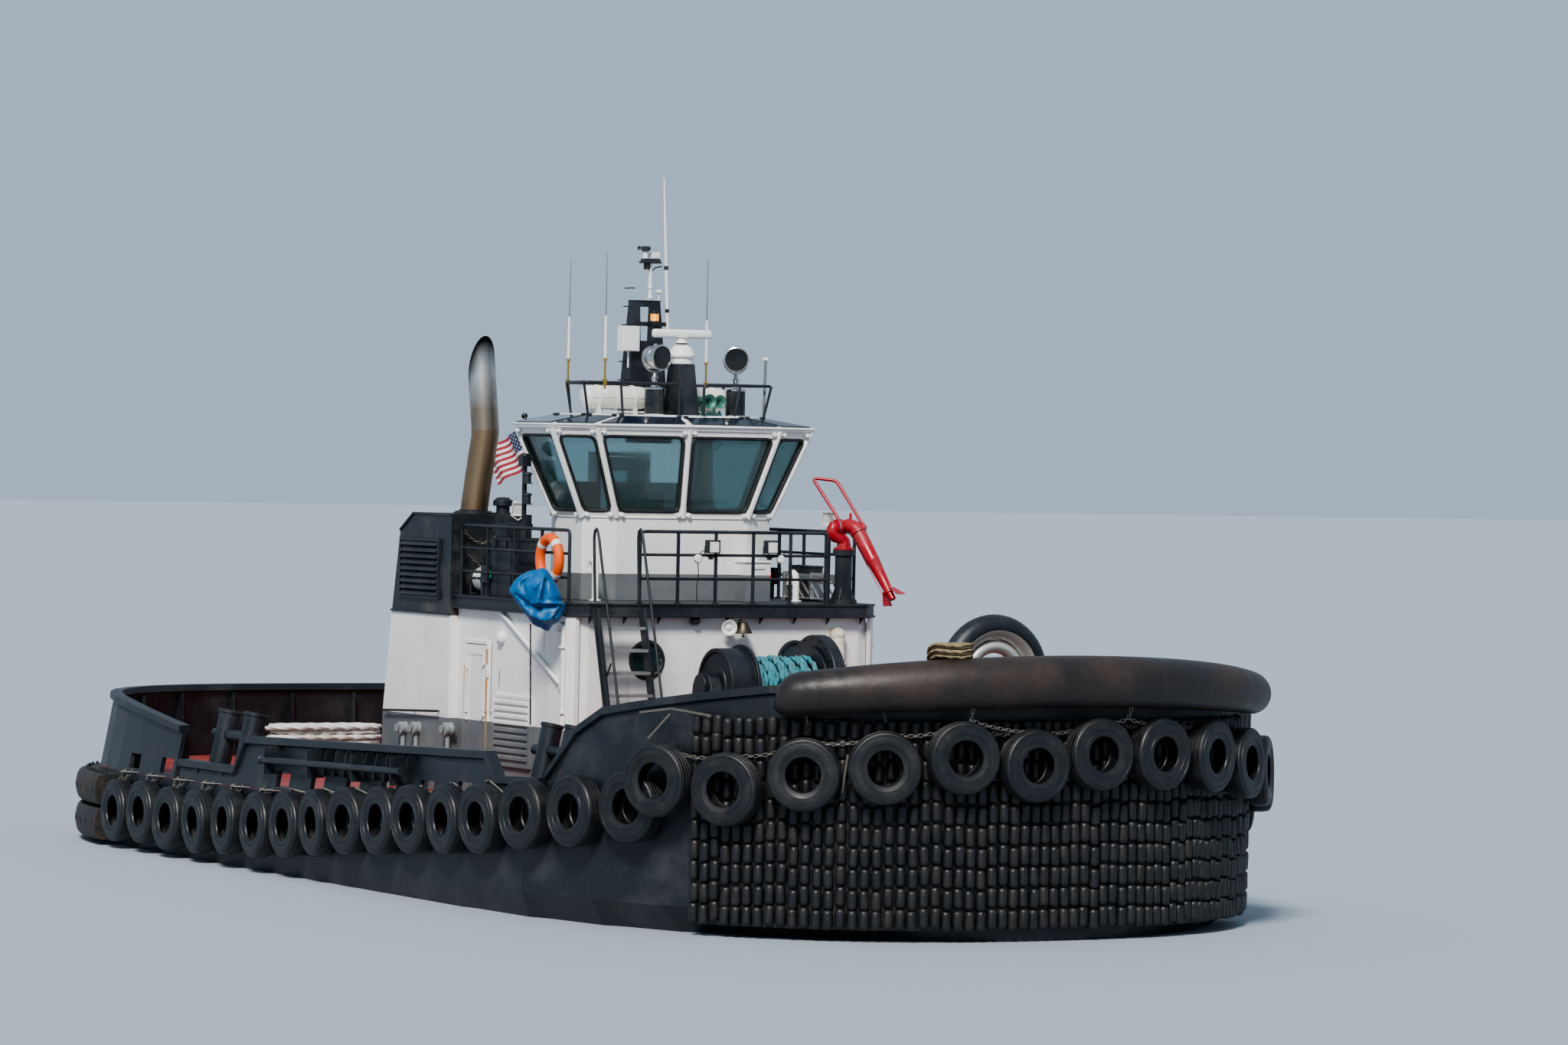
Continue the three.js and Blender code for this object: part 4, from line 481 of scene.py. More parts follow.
def along(line, x):
    """The height of a broken line at x."""
    if x <= line[0][0]:
        return line[0][1]
    for (x0, z0), (x1, z1) in zip(line, line[1:]):
        if x <= x1:
            return z0 + (z1 - z0) * (x - x0) / (x1 - x0)
    return line[-1][1]


def deck_height(x):
    return along(DECK_LINE, x)


def outline():
    """The starboard deck edge as points, from the middle of the stern to the middle of the bow."""
    points = []
    for i in range(121):
        turn = i / 120 * pi / 2
        points.append(Vector((STERN_CURVE_X
                              - (STERN_CURVE_X - STERN_X) * max(cos(turn), 0) ** (2 / STERN_POWER),
                              -HALF_BEAM * sin(turn) ** (2 / STERN_POWER), 0)))
    for i in range(121):
        turn = i / 120 * pi / 2
        points.append(Vector((BOW_CURVE_X + (BOW_X - BOW_CURVE_X) * sin(turn) ** (2 / BOW_POWER),
                              -HALF_BEAM * max(cos(turn), 0) ** (2 / BOW_POWER), 0)))
    return points


EDGE = outline()
EDGE_RUN = [0.0]
for before, after in zip(EDGE, EDGE[1:]):
    EDGE_RUN.append(EDGE_RUN[-1] + (after - before).length)
HALF_GIRTH = EDGE_RUN[-1]


def edge_at(distance):
    """Place and outward direction on the deck edge; past the bow or stern it goes on round the port side."""
    if distance < 0 or distance > HALF_GIRTH:
        place, out = edge_at(-distance if distance < 0 else 2 * HALF_GIRTH - distance)
        return Vector((place.x, -place.y, 0)), Vector((out.x, -out.y, 0))
    i = 1
    while i < len(EDGE) - 1 and EDGE_RUN[i] < distance:
        i += 1
    step = EDGE_RUN[i] - EDGE_RUN[i - 1] or 1
    place = EDGE[i - 1].lerp(EDGE[i], (distance - EDGE_RUN[i - 1]) / step)
    run = (EDGE[i] - EDGE[i - 1]).normalized()
    return place, Vector((run.y, -run.x, 0))


def distance_at(x):
    i = 1
    while i < len(EDGE) - 1 and EDGE[i].x < x:
        i += 1
    share = (x - EDGE[i - 1].x) / ((EDGE[i].x - EDGE[i - 1].x) or 1)
    return EDGE_RUN[i - 1] + (EDGE_RUN[i] - EDGE_RUN[i - 1]) * share


def facing_up(tree, lowest):
    """A mask for level faces above a height."""
    normal = tree.nodes.new("ShaderNodeNewGeometry").outputs["Normal"]
    lift = linked(tree, "ShaderNodeSeparateXYZ", {0: normal}).outputs[2]
    place = tree.nodes.new("ShaderNodeTexCoord").outputs["Object"]
    height = linked(tree, "ShaderNodeSeparateXYZ", {0: place}).outputs[2]
    level = linked(tree, "ShaderNodeMath", {0: lift, 1: 0.93}, operation="GREATER_THAN").outputs[0]
    above = linked(tree, "ShaderNodeMath", {0: height, 1: lowest}, operation="GREATER_THAN").outputs[0]
    return linked(tree, "ShaderNodeMath", {0: level, 1: above}, operation="MULTIPLY").outputs[0]


def with_top_colour(material, colour, lowest):
    """Puts another colour under the weather on a finish's level faces."""
    tree = material.node_tree
    first = next(n for n in tree.nodes if n.bl_idname == "ShaderNodeMix")
    low = first.inputs[6]
    base = low.links[0].from_socket if low.links else tuple(low.default_value)[:3]
    tree.links.new(blended(tree, base, colour, facing_up(tree, lowest)), low)
    return material


black_paint = finish("black_deck_paint", BLACK_PAINT, 0.42, dirt=(SALT, 0.08),
                     runs=(RUST, 0.2), scale=0.9)
hull_paint = with_top_colour(
    finish("hull_and_deck_paint", BLACK_PAINT, 0.5, dirt=(SALT, 0.11), runs=(RUST, 0.3),
           scale=0.7), DECK_RED, 1.1)


def dress(node, material):
    """Gives a CAD node its finish."""
    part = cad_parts[node]
    part.data.materials.clear()
    part.data.materials.append(material)


dress("hull", hull_paint)

# Bulwarks: plated walls that lean inboard under a thick rounded cap, with triangular stays inside them.
# They are welded steel in black paint, with salt on the cap and rust at the freeing ports.
STERN_RIM = ((-11.7, 2.32), (-9.0, 2.30), (-7.6, 2.21), (-5.3, 1.96))
FORE_RIM = ((6.85, 1.96), (7.6, 2.82), (10.6, 3.3), (11.9, 3.4))
for bulwark in ("bulwark_stern", "bulwark_mid_stbd", "bulwark_mid_port", "bulwark_fore"):
    dress(bulwark, black_paint)
STAY_PITCH = 1.1


def bulwark_stays():
    """The stays at a steady pitch; their lean fades out where the fore bulwark stands upright."""
    stays = Form()
    aft_reach, fore_start = distance_at(-5.6), distance_at(7.4)
    for start, end, rim in ((-aft_reach, aft_reach, STERN_RIM),
                            (fore_start, 2 * HALF_GIRTH - fore_start, FORE_RIM)):
        count = round((end - start) / STAY_PITCH)
        for i in range(count + 1):
            place, out = edge_at(start + (end - start) * i / count)
            deck, top_z = deck_height(place.x) + 0.004, along(rim, place.x) - 0.14
            lean = (top_z - deck) * (0.16 if place.x < 7.5 else max(0, 0.16 * (9.3 - place.x) / 1.8))
            side = Vector((-out.y, out.x, 0)) * 0.012
            foot, head = place - out * 0.1, place - out * (0.11 + lean)
            plate = [foot + up * deck, foot - out * 0.32 + up * deck, head - out * 0.1 + up * top_z,
                     head + up * top_z]
            stays.slab([p - side for p in plate], 2 * side)
    return stays


bulwark_stays().piece("bulwark_stays", black_paint)

# Pipe rack ribs: ten short upright flats of black steel, welded on the outside of each midship bulwark
# behind the stowed pipe. They follow the rise of the deck edge.
rack_ribs = Form()
for side in (-1, 1):
    for i in range(10):
        x = -0.20 + 0.34 * i
        rise = 0.02 * x
        rib = ((x, 4.99, 1.52), (x, 5.17, 1.52), (x + 0.05, 5.14, 1.90), (x + 0.05, 4.96, 1.90))
        rack_ribs.slab([(rib_x, side * y, z + rise) for rib_x, y, z in rib], (0.024, 0, 0))
rack_ribs.piece("rack_ribs", black_paint)

# Bitts: round posts of steel pipe with flat caps, in pairs at both ends of each midship bulwark.
# They lean inboard, a cross bar goes through each pair, and they are welded to the deck and painted black.
# Each pair is its x, spacing, distance of its foot from the middle line, top height and radius.
BITT_PAIRS = ((-4.15, 0.94, 4.76, 2.18, 0.16), (6.08, 0.70, 4.56, 2.50, 0.14))
BITT_COAT, BITT_LEAN, CAP_FLARE = 0.004, 0.23, 1.12
BAR_LEAN, BAR_DROP, BAR_OVERHANG = 0.15, 0.32, 0.335
bitts = Form()
for side in (-1, 1):
    for x, spacing, foot, top, radius in BITT_PAIRS:
        for post_x in (x - spacing / 2, x + spacing / 2):
            low = Vector((post_x, side * foot, deck_height(post_x) - 0.06))
            high = Vector((post_x, side * (foot - BITT_LEAN), top))
            bitts.tube([low, high], radius + BITT_COAT, 32)
            cap = radius * CAP_FLARE + BITT_COAT
            bitts.turned([(radius, -0.006), (cap, -0.006), (cap, 0.03), (cap - 0.012, 0.044), (0, 0.05)],
                         high, axis=high - low, sides=32)
        bar_y, bar_z, bar_half = side * (foot - BAR_LEAN), top - BAR_DROP, spacing / 2 + BAR_OVERHANG
        bitts.tube([(x - bar_half, bar_y, bar_z), (x + bar_half, bar_y, bar_z)], radius * 0.5 + BITT_COAT, 24)
bitts.piece("bitt_posts", black_paint)

# Stowed pipes: a long round steel pipe with a collar at each end lies on the rack's arms outside each
# midship bulwark. It is painted black like the bulwark.
PIPE_AFT, PIPE_FORE, PIPE_RADIUS = (-1.905, 5.23, 1.64), (2.905, 5.23, 1.74), 0.049
stowed = Form()
for side in (-1, 1):
    ends = [(x, side * y, z) for x, y, z in (PIPE_AFT, PIPE_FORE)]
    stowed.tube(ends, PIPE_RADIUS, 24)
    for end, way in zip(ends, (1, -1)):
        stowed.turned([(0.045, -0.002), (0.062, -0.002), (0.062, 0.05), (0.05, 0.06)], end, axis=(way, 0, 0),
                      sides=24)
stowed.piece("stowed_pipes", black_paint)

# Margin plate bolts: a row of forged steel bolts round the stern that holds the rubbers to the deck edge.
# They are painted black with the plate.
STERN_BOLT_COUNT = 58


def row_tree():
    """Geometry Nodes: one piece at every point, turned by the point's turn, with a little size variation."""
    tree = bpy.data.node_groups.new("row_of_pieces", "GeometryNodeTree")
    face = tree.interface
    face.new_socket(name="Places", in_out="INPUT", socket_type="NodeSocketGeometry")
    face.new_socket(name="Piece", in_out="INPUT", socket_type="NodeSocketObject")
    face.new_socket(name="Size Variation", in_out="INPUT", socket_type="NodeSocketFloat").default_value = 0.0
    face.new_socket(name="Seed", in_out="INPUT", socket_type="NodeSocketInt").default_value = 7
    face.new_socket(name="Finish", in_out="INPUT", socket_type="NodeSocketMaterial")
    face.new_socket(name="Row", in_out="OUTPUT", socket_type="NodeSocketGeometry")
    given, made = tree.nodes.new("NodeGroupInput"), tree.nodes.new("NodeGroupOutput")
    piece = linked(tree, "GeometryNodeObjectInfo", {"Object": given.outputs["Piece"]})
    turn = linked(tree, "GeometryNodeInputNamedAttribute", {"Name": "turn"}, data_type="FLOAT_VECTOR")
    spin = linked(tree, "FunctionNodeEulerToRotation", {0: turn.outputs["Attribute"]})
    low = linked(tree, "ShaderNodeMath", {0: 1.0, 1: given.outputs["Size Variation"]}, operation="SUBTRACT")
    size = linked(tree, "FunctionNodeRandomValue", {"Seed": given.outputs["Seed"]}, data_type="FLOAT")
    tree.links.new(low.outputs[0], size.inputs[2])
    size.inputs[3].default_value = 1.0
    placed = linked(tree, "GeometryNodeInstanceOnPoints", {
        "Points": given.outputs["Places"], "Instance": piece.outputs["Geometry"],
        "Rotation": spin.outputs[0], "Scale": size.outputs[1]})
    solid = linked(tree, "GeometryNodeRealizeInstances", {"Geometry": placed.outputs[0]})
    painted = linked(tree, "GeometryNodeSetMaterial", {"Geometry": solid.outputs[0],
                                                       "Material": given.outputs["Finish"]})
    tree.links.new(painted.outputs[0], made.inputs[0])
    return tree


ROW_TREE = row_tree()


def row_of(name, template, places, material, variation=0.0, seed=7, body="boat", replaces=(),
           extra=None):
    """Repeats a template form at places, each a point and an Euler turn, as one plain mesh piece."""
    pattern = template.piece("pattern", material)
    carrier_mesh = bpy.data.meshes.new(name)
    carrier_mesh.from_pydata([tuple(p) for p, _ in places], [], [])
    turns = carrier_mesh.attributes.new("turn", "FLOAT_VECTOR", "POINT")
    turns.data.foreach_set("vector", [value for _, turn in places for value in turn])
    carrier = bpy.data.objects.new(name, carrier_mesh)
    bpy.context.scene.collection.objects.link(carrier)
    modifier = carrier.modifiers.new("row", "NODES")
    modifier.node_group = ROW_TREE
    wanted = {"Piece": pattern, "Size Variation": variation, "Seed": seed, "Finish": material}
    for item in ROW_TREE.interface.items_tree:
        if item.in_out == "INPUT" and item.name in wanted:
            modifier[item.identifier] = wanted[item.name]
    shown = carrier.evaluated_get(bpy.context.evaluated_depsgraph_get())
    plain = bpy.data.meshes.new_from_object(shown)
    carrier.modifiers.clear()
    carrier.data = plain
    plain.name = name
    bpy.data.objects.remove(pattern)
    if extra:
        join_form(carrier, extra, material)
    return declared(carrier, body, replaces)


def join_form(target, form, material):
    """Adds a form's shapes to a finished mesh."""
    helper = form.piece("helper", material)
    whole = bmesh.new()
    whole.from_mesh(target.data)
    whole.from_mesh(helper.data)
    whole.to_mesh(target.data)
    whole.free()
    bpy.data.objects.remove(helper)


def heading_of(out):
    """The Euler turn about Z that points a template's X outwards."""
    return (0.0, 0.0, atan2(out.y, out.x))


def stern_bolts():
    places = []
    reach = distance_at(-7.7)
    for i in range(STERN_BOLT_COUNT + 1):
        place, out = edge_at(-reach + 2 * reach * i / STERN_BOLT_COUNT)
        places.append((place + out * 0.17 + up * 1.096, heading_of(out)))
    return places


bolt = Form().turned([(0, 0), (0.034, 0), (0.034, 0.012), (0.024, 0.016), (0.022, 0.042), (0, 0.046)],
                     (0, 0, 0), sides=6)
row_of("stern_bolts", bolt, stern_bolts(), black_paint)

# Stern rubbers: two belts of moulded D-section rubber round the stern, each set in lengths end to end.
# The rubber is bolted to the margin plate and is worn brown and grey where it rubs on quays.
RUBBER_BELTS = ((1.095, 0.48), (0.58, 0.50))
BELT_LENGTHS = 13
WORN_RUBBER = (0.105, 0.062, 0.042)
rubber = finish("worn_rubber", (0.015, 0.015, 0.015), 0.62, dirt=(WORN_RUBBER, 0.55),
                runs=(RUST, 0.3), scale=1.6, relief=0.55)
dress("fender_stern", rubber)


def belt_section(place, out, top_z, depth):
    """The D section at one place on the hull's edge: flat at the back, round at the front."""
    points = [(-0.06, top_z), (0.22, top_z)]
    for i in range(1, 10):
        turn = pi * i / 10
        points.append((0.22 + 0.13 * sin(turn) ** 0.7, top_z - depth * (0.5 - 0.5 * cos(turn))))
    points += [(0.22, top_z - depth), (-0.06, top_z - depth)]
    return [place + out * o + up * z for o, z in points]


belts = Form()
belt_reach = distance_at(-7.65)
for top_z, depth in RUBBER_BELTS:
    for i in range(BELT_LENGTHS):
        start = -belt_reach + 2 * belt_reach * i / BELT_LENGTHS + 0.008
        end = -belt_reach + 2 * belt_reach * (i + 1) / BELT_LENGTHS - 0.008
        belts.loft([belt_section(*edge_at(start + (end - start) * k / 14), top_z, depth) for k in range(15)])
belts.piece("stern_rubbers", rubber, replaces=["fender_stern"], edge=0.008)


def belt_bolt_places():
    places = []
    for top_z, depth in RUBBER_BELTS:
        for i in range(BELT_LENGTHS * 3):
            place, out = edge_at(-belt_reach + 2 * belt_reach * (i + 0.5) / (BELT_LENGTHS * 3))
            places.append((place + out * 0.343 + up * (top_z - depth / 2), heading_of(out)))
    return places


bolt_well = Form().turned([(0.045, 0), (0.05, 0.012), (0.032, 0.012), (0.028, 0.004), (0, 0.004)], (0, 0, 0),
                          axis=(1, 0, 0), sides=14)
row_of("rubber_bolts", bolt_well, belt_bolt_places(), rubber)

# Bow rolls: upright rolls cut from old tyre treads, threaded on bars in ten rows round the stem.
# Each roll is a short black cylinder with rounded ends, and no two hang quite alike.
ROLL_PITCH, ROLL_COUNT = 0.15, 66
ROLL_ROWS, ROLL_ROW_HEIGHT = 10, 0.272
ROLL_LENGTH = 0.262
ROLLS_TOP, ROLLS_FOOT = 2.88, 0.155
roll_start = HALF_GIRTH - ROLL_COUNT * ROLL_PITCH / 2
roll_rubber = finish("roll_rubber", (0.009, 0.0095, 0.011), 0.44,
                     dirt=((0.042, 0.036, 0.031), 0.35), scale=2.5, relief=0.3)


def roll_profile():
    half = [(0.0, 0.0), (0.046, 0.005), (0.066, 0.022), (0.072, 0.055)]
    return half + [(0.071, ROLL_LENGTH / 2)] + [(r, ROLL_LENGTH - z) for r, z in reversed(half)]


def roll_places():
    chance = random.Random(11)
    places = []
    for i in range(ROLL_COUNT):
        place, out = edge_at(roll_start + (i + 0.5) * ROLL_PITCH)
        column_drop = chance.uniform(-0.035, 0.035)
        for row in range(ROLL_ROWS):
            foot = ROLLS_TOP - ROLL_LENGTH - row * ROLL_ROW_HEIGHT + column_drop + chance.uniform(-0.01, 0.01)
            foot = max(ROLLS_FOOT, min(foot, ROLLS_TOP - ROLL_LENGTH))
            lean = (chance.uniform(-0.05, 0.05), chance.uniform(-0.05, 0.05), chance.uniform(0, 6))
            places.append((place + out * (0.108 + chance.uniform(-0.010, 0.006)) + up * foot, lean))
    return places


backing = Form()
BACKING_SECTION = ((-0.04, 0.16), (0.075, 0.16), (0.075, 2.85), (-0.04, 2.85))
rings = []
for i in range(ROLL_COUNT + 1):
    place, out = edge_at(roll_start + i * ROLL_PITCH)
    rings.append([place + out * o + up * z for o, z in BACKING_SECTION])
backing.loft(rings)
row_of("bow_rolls", Form().turned(roll_profile(), (0, 0, 0), sides=10), roll_places(), roll_rubber,
       replaces=["fender_bow_rolls"], extra=backing)

# Bow log: one very thick bent cylinder of solid rubber on top of the rolls, chained down from below.
# It thins to a blunt nose at each end, ring marks show where the chains bite, and it is scuffed brown.
LOG_REACH, LOG_OUT, LOG_RINGS = 3.75, 0.33, 110
LOG_CENTRE_Z, LOG_SAG = 3.38, 0.2
NOSE_START, CHAIN_MARKS = 0.91, (0.12, 0.5, 0.78)
log_rubber = finish("log_rubber", (0.016, 0.013, 0.012), 0.42, dirt=((0.070, 0.038, 0.028), 0.7),
                    runs=((0.20, 0.15, 0.11), 0.25), scale=0.5, relief=0.7)


def log_radius(share):
    """The log's radius along it, from -1 to 1: thinner towards a blunt nose, with shallow chain marks."""
    off = abs(share)
    size = 1.0 - 0.2 * off ** 2.5
    if off > NOSE_START:
        size *= sqrt(max(0.02, 1 - ((off - NOSE_START) / (1 - NOSE_START)) ** 3))
    for mark in CHAIN_MARKS:
        size -= 0.022 * exp(-((off - mark) / 0.006) ** 2)
    return LOG_RADIUS * size


log = Form()
rings = []
for i in range(LOG_RINGS + 1):
    share = -1 + 2 * i / LOG_RINGS
    place, out = edge_at(HALF_GIRTH + share * LOG_REACH)
    radius = log_radius(share)
    centre = place + out * LOG_OUT + up * (LOG_CENTRE_Z - LOG_SAG * share ** 2 - 0.5 * (LOG_RADIUS - radius))
    rings.append([centre + radius * (cos(t) * out + sin(t) * up)
                  for t in (2 * pi * k / 40 for k in range(40))])
log.loft(rings).piece("bow_log", log_rubber, replaces=["fender_bow_log"])

# Tyres: worn lorry tyres hung in rows over the sides and round the bow, each a little askew.
# Each is a hollow casing of black rubber with sidewall rings and a bald tread.
# The side tyres' heights are a line of (x, height); the bow tyres are (distance from the stem, height).
TYRE_RADIUS = 0.478
SIDE_TYRE_PITCH, SIDE_TYRE_COUNT = 1.06, 16
SIDE_TYRE_LINE = ((-7.0, 0.60), (-3.0, 0.64), (3.0, 1.06), (6.0, 1.33), (9.0, 1.62))
BOW_TYRES = ((-5.30, 2.00), (-4.33, 1.93), (-3.37, 2.15), (-2.42, 2.26), (-1.47, 2.40), (-0.52, 2.30),
             (0.43, 2.44), (1.38, 2.43), (2.33, 2.38), (3.28, 2.25), (4.23, 2.10), (5.18, 1.96))
tyre_rubber = finish("tyre_rubber", (0.008, 0.0095, 0.012), 0.42, dirt=((0.036, 0.033, 0.031), 0.45),
                     runs=(RUST, 0.12), scale=3, relief=0.25)
# Half of the casing's section, as radius and distance from the middle, from the tread to the bead.
TYRE_SECTION = ((0.478, 0.0), (0.478, 0.020), (0.470, 0.024), (0.470, 0.032), (0.477, 0.036), (0.474, 0.080),
                (0.466, 0.084), (0.466, 0.092), (0.471, 0.096), (0.462, 0.118), (0.440, 0.134),
                (0.425, 0.134), (0.422, 0.141), (0.410, 0.142), (0.406, 0.137), (0.360, 0.145),
                (0.320, 0.142), (0.316, 0.136), (0.304, 0.135), (0.300, 0.140), (0.262, 0.128),
                (0.236, 0.124), (0.228, 0.108), (0.240, 0.094), (0.300, 0.100), (0.400, 0.104),
                (0.440, 0.080), (0.452, 0.0))


def tyre_form():
    outer = list(TYRE_SECTION)
    section = outer + [(r, -h) for r, h in reversed(outer[1:-1])]
    rings = []
    for r, h in section:
        rings.append([(h, r * cos(t), r * sin(t)) for t in (2 * pi * k / 36 for k in range(36))])
    return Form().loft(rings, closed=True)


def hung(distance, height, off, chance, side=1):
    """A tyre's place and turn on the hull's edge, a little askew."""
    place, out = edge_at(distance)
    turn = atan2(out.y, out.x) + chance.uniform(-0.07, 0.07)
    lean = chance.uniform(-0.05, 0.03)
    point = place + out * off + up * height
    return Vector((point.x, side * point.y, point.z)), (chance.uniform(0, 6), lean, side * turn)


def side_tyres(side):
    chance = random.Random(21)
    start = distance_at(-7.05)
    places = []
    for i in range(SIDE_TYRE_COUNT):
        distance = start + i * SIDE_TYRE_PITCH
        height = along(SIDE_TYRE_LINE, edge_at(distance)[0].x) + chance.uniform(-0.03, 0.03)
        places.append(hung(distance + chance.uniform(-0.05, 0.05), height, 0.165, chance, side))
    return places


def bow_tyre_places():
    chance = random.Random(33)
    return [hung(HALF_GIRTH + distance, height, 0.335, chance) for distance, height in BOW_TYRES]


row_of("tyres_starboard", tyre_form(), side_tyres(1), tyre_rubber, replaces=["tyres_side_stbd"])
row_of("tyres_port", tyre_form(), side_tyres(-1), tyre_rubber, replaces=["tyres_side_port"])
row_of("tyres_round_bow", tyre_form(), bow_tyre_places(), tyre_rubber, replaces=["tyres_bow"])

# Tyre chains: galvanised chain, rusting, that hangs each tyre from the deck edge.
# A longer chain goes from tyre to tyre round the bow, and short drops of it hang from the log.
LINK_LENGTH, LINK_WIRE = 0.075, 0.011
# Drops under the log: the share along it and the tyre before the drop.
LOG_DROPS = ((-0.37, 4), (0.225, 6))
chain_steel = finish("rusty_chain", (0.20, 0.19, 0.175), 0.55, metallic=0.6,
                     dirt=((0.13, 0.075, 0.045), 0.8), scale=6)


def link_form(length=LINK_LENGTH, wire=LINK_WIRE):
    """One long chain link with round ends."""
    path = []
    bend = length * 0.27
    for i in range(12):
        turn = 2 * pi * i / 12
        straight = (length / 2 - bend) * (1 if cos(turn) > 0 else -1) * min(1, abs(cos(turn)) * 3)
        path.append((straight + bend * cos(turn), bend * 1.08 * sin(turn), 0))
    return Form().tube(path, wire / 2 + length * 0.025, 6, closed=True)


def chain_places(path, length=LINK_LENGTH * 0.74):
    """Links along a path, each turned a quarter from the one before."""
    fine = smooth_path(path, length)
    places = []
    for i, (a, b) in enumerate(zip(fine, fine[1:])):
        run = (b - a).normalized()
        turn = run.to_track_quat("X", "Z").to_euler()
        quarter = (turn.to_matrix() @ Euler((pi / 2 * (i % 2) + 0.4, 0, 0)).to_matrix()).to_euler()
        places.append(((a + b) / 2, tuple(quarter)))
    return places


def off_hull(distance, off, height):
    place, out = edge_at(distance)
    return place + out * off + up * height


def all_chains():
    places = []
    for (d0, z0), (d1, z1) in zip(BOW_TYRES, BOW_TYRES[1:]):
        places += chain_places(swag(off_hull(HALF_GIRTH + d0, 0.25, z0 + 0.44),
                                    off_hull(HALF_GIRTH + d1, 0.25, z1 + 0.44), 0.09))
    for share, before in LOG_DROPS:
        distance = HALF_GIRTH + share * LOG_REACH
        log_height = LOG_CENTRE_Z - LOG_SAG * share ** 2
        hook = off_hull(distance, 0.36, log_height - 0.47)
        places += chain_places([off_hull(distance, LOG_OUT + 0.10, log_height - 0.33), hook])
        for d, z in BOW_TYRES[before:before + 2]:
            places += chain_places(swag(hook, off_hull(HALF_GIRTH + d, 0.30, z + 0.43), 0.04))
    for i in range(SIDE_TYRE_COUNT - 1):
        distance = distance_at(-7.05) + i * SIDE_TYRE_PITCH
        x = edge_at(distance)[0].x
        height, deck = along(SIDE_TYRE_LINE, x), deck_height(x)
        for shift in (-0.16, 0.16):
            start = off_hull(distance + shift, 0.015, deck + 0.03)
            end = off_hull(distance + shift * 0.4, 0.15, height + 0.40)
            if start.z - end.z > 0.05:
                places += chain_places([start, end])
                places += chain_places([Vector((p.x, -p.y, p.z)) for p in (start, end)])
    return places


row_of("tyre_chains", link_form(), all_chains(), chain_steel)

# Tyre straps: grubby webbing that ties the starboard bow tyres back between the chains,
# and pairs of it that lash the tops of the side tyres to the margin plate.
# Each bow strap is named by its line along the hull, as distance from the stem and height.
TYRE_STRAPS = (((-5.70, 2.86), (-5.2, 2.93), (-4.62, 2.86)), ((-5.56, 2.52), (-5.22, 2.86)),
               ((-3.40, 3.00), (-3.36, 2.80)), ((-2.44, 2.98), (-2.40, 2.84)), ((-2.86, 2.42), (-2.92, 1.92)))
webbing = finish("grubby_webbing", (0.12, 0.105, 0.09), 0.85, dirt=((0.06, 0.055, 0.05), 0.7),
                 scale=9, relief=0.6)
straps = Form()
for line in TYRE_STRAPS:
    for (d0, z0), (d1, z1) in zip(line, line[1:]):
        start, end = off_hull(HALF_GIRTH + d0, 0.20, z0), off_hull(HALF_GIRTH + d1, 0.20, z1)
        out = edge_at(HALF_GIRTH + d0)[1]
        half = (end - start).cross(out).normalized() * 0.014
        straps.slab([start - half, start + half, end + half, end - half], out * 0.006)
straps.piece("tyre_straps", webbing)
lashing_webbing = finish("pale_webbing", (0.27, 0.245, 0.21), 0.85,
                         dirt=((0.09, 0.08, 0.07), 0.7), scale=7, relief=0.6)
lashings = Form()
chance = random.Random(8)
for i in range(SIDE_TYRE_COUNT - 3):
    distance = distance_at(-7.05) + i * SIDE_TYRE_PITCH
    x = edge_at(distance)[0].x
    deck, tyre_top = deck_height(x), along(SIDE_TYRE_LINE, x) + TYRE_RADIUS
    for foot_shift, head_shift in ((-0.42, 0.02), (0.10, -0.06), (0.40, 0.08)):
        foot_shift += chance.uniform(-0.06, 0.06)
        start = off_hull(distance + foot_shift, -0.10, deck + 0.012)
        end = off_hull(distance + head_shift, 0.13, max(tyre_top + 0.005, deck + 0.012))
        half = (end - start).cross(up).normalized() * 0.022
        for side in (1, -1):
            corners = [Vector((p.x, side * p.y, p.z)) for p in (start - half, start + half, end + half,
                                                                end - half)]
            lashings.slab(corners, up * 0.007)
lashings.piece("tyre_lashings", lashing_webbing)

# Bow staple: an inverted U of heavy steel pipe on a welded foot, that leads the towing rope.
# It is painted black. Its inner half is sheathed in polished stainless, and the rope runs on a ring of it.
STAPLE_X, STAPLE_SPRING, STAPLE_HALF, STAPLE_PIPE = 10.05, 3.38, 0.64, 0.165
SHEATH_OUT, SHEATH_IN = 0.170, 0.160
stainless = finish("polished_stainless", (0.70, 0.69, 0.66), 0.38, metallic=0.75,
                   dirt=((0.34, 0.27, 0.19), 0.4), scale=3, relief=0.06)


def arch_path(half_width, foot):
    points = [(STAPLE_X, -half_width, foot)]
    for i in range(25):
        turn = pi - pi * i / 24
        points.append((STAPLE_X, half_width * cos(turn), STAPLE_SPRING + half_width * sin(turn)))
    return points + [(STAPLE_X, half_width, foot)]


staple_deck = deck_height(STAPLE_X)
staple = Form().tube(arch_path(STAPLE_HALF, staple_deck - 0.05), STAPLE_PIPE, 24)
staple.block((9.7, -0.86, staple_deck - 0.1), (10.4, 0.86, staple_deck + 0.18))
for y in (-STAPLE_HALF, STAPLE_HALF):
    staple.turned([(0.20, 0.18), (0.20, 0.205), (0.168, 0.235)], (STAPLE_X, y, staple_deck), sides=28)
    for x in (-0.27, 0.27):
        staple.slab([(STAPLE_X + x * 0.55, y - 0.012, staple_deck + 0.62),
                     (STAPLE_X + x * 1.15, y - 0.012, staple_deck + 0.18),
                     (STAPLE_X + x * 0.4, y - 0.012, staple_deck + 0.18)], (0, 0.024, 0))
staple.piece("staple", black_paint, replaces=["bow_staple"], edge=0.01)
lining = Form().tube(arch_path(0.38, staple_deck + 0.19), 0.088, 20)
sheath_rings = []
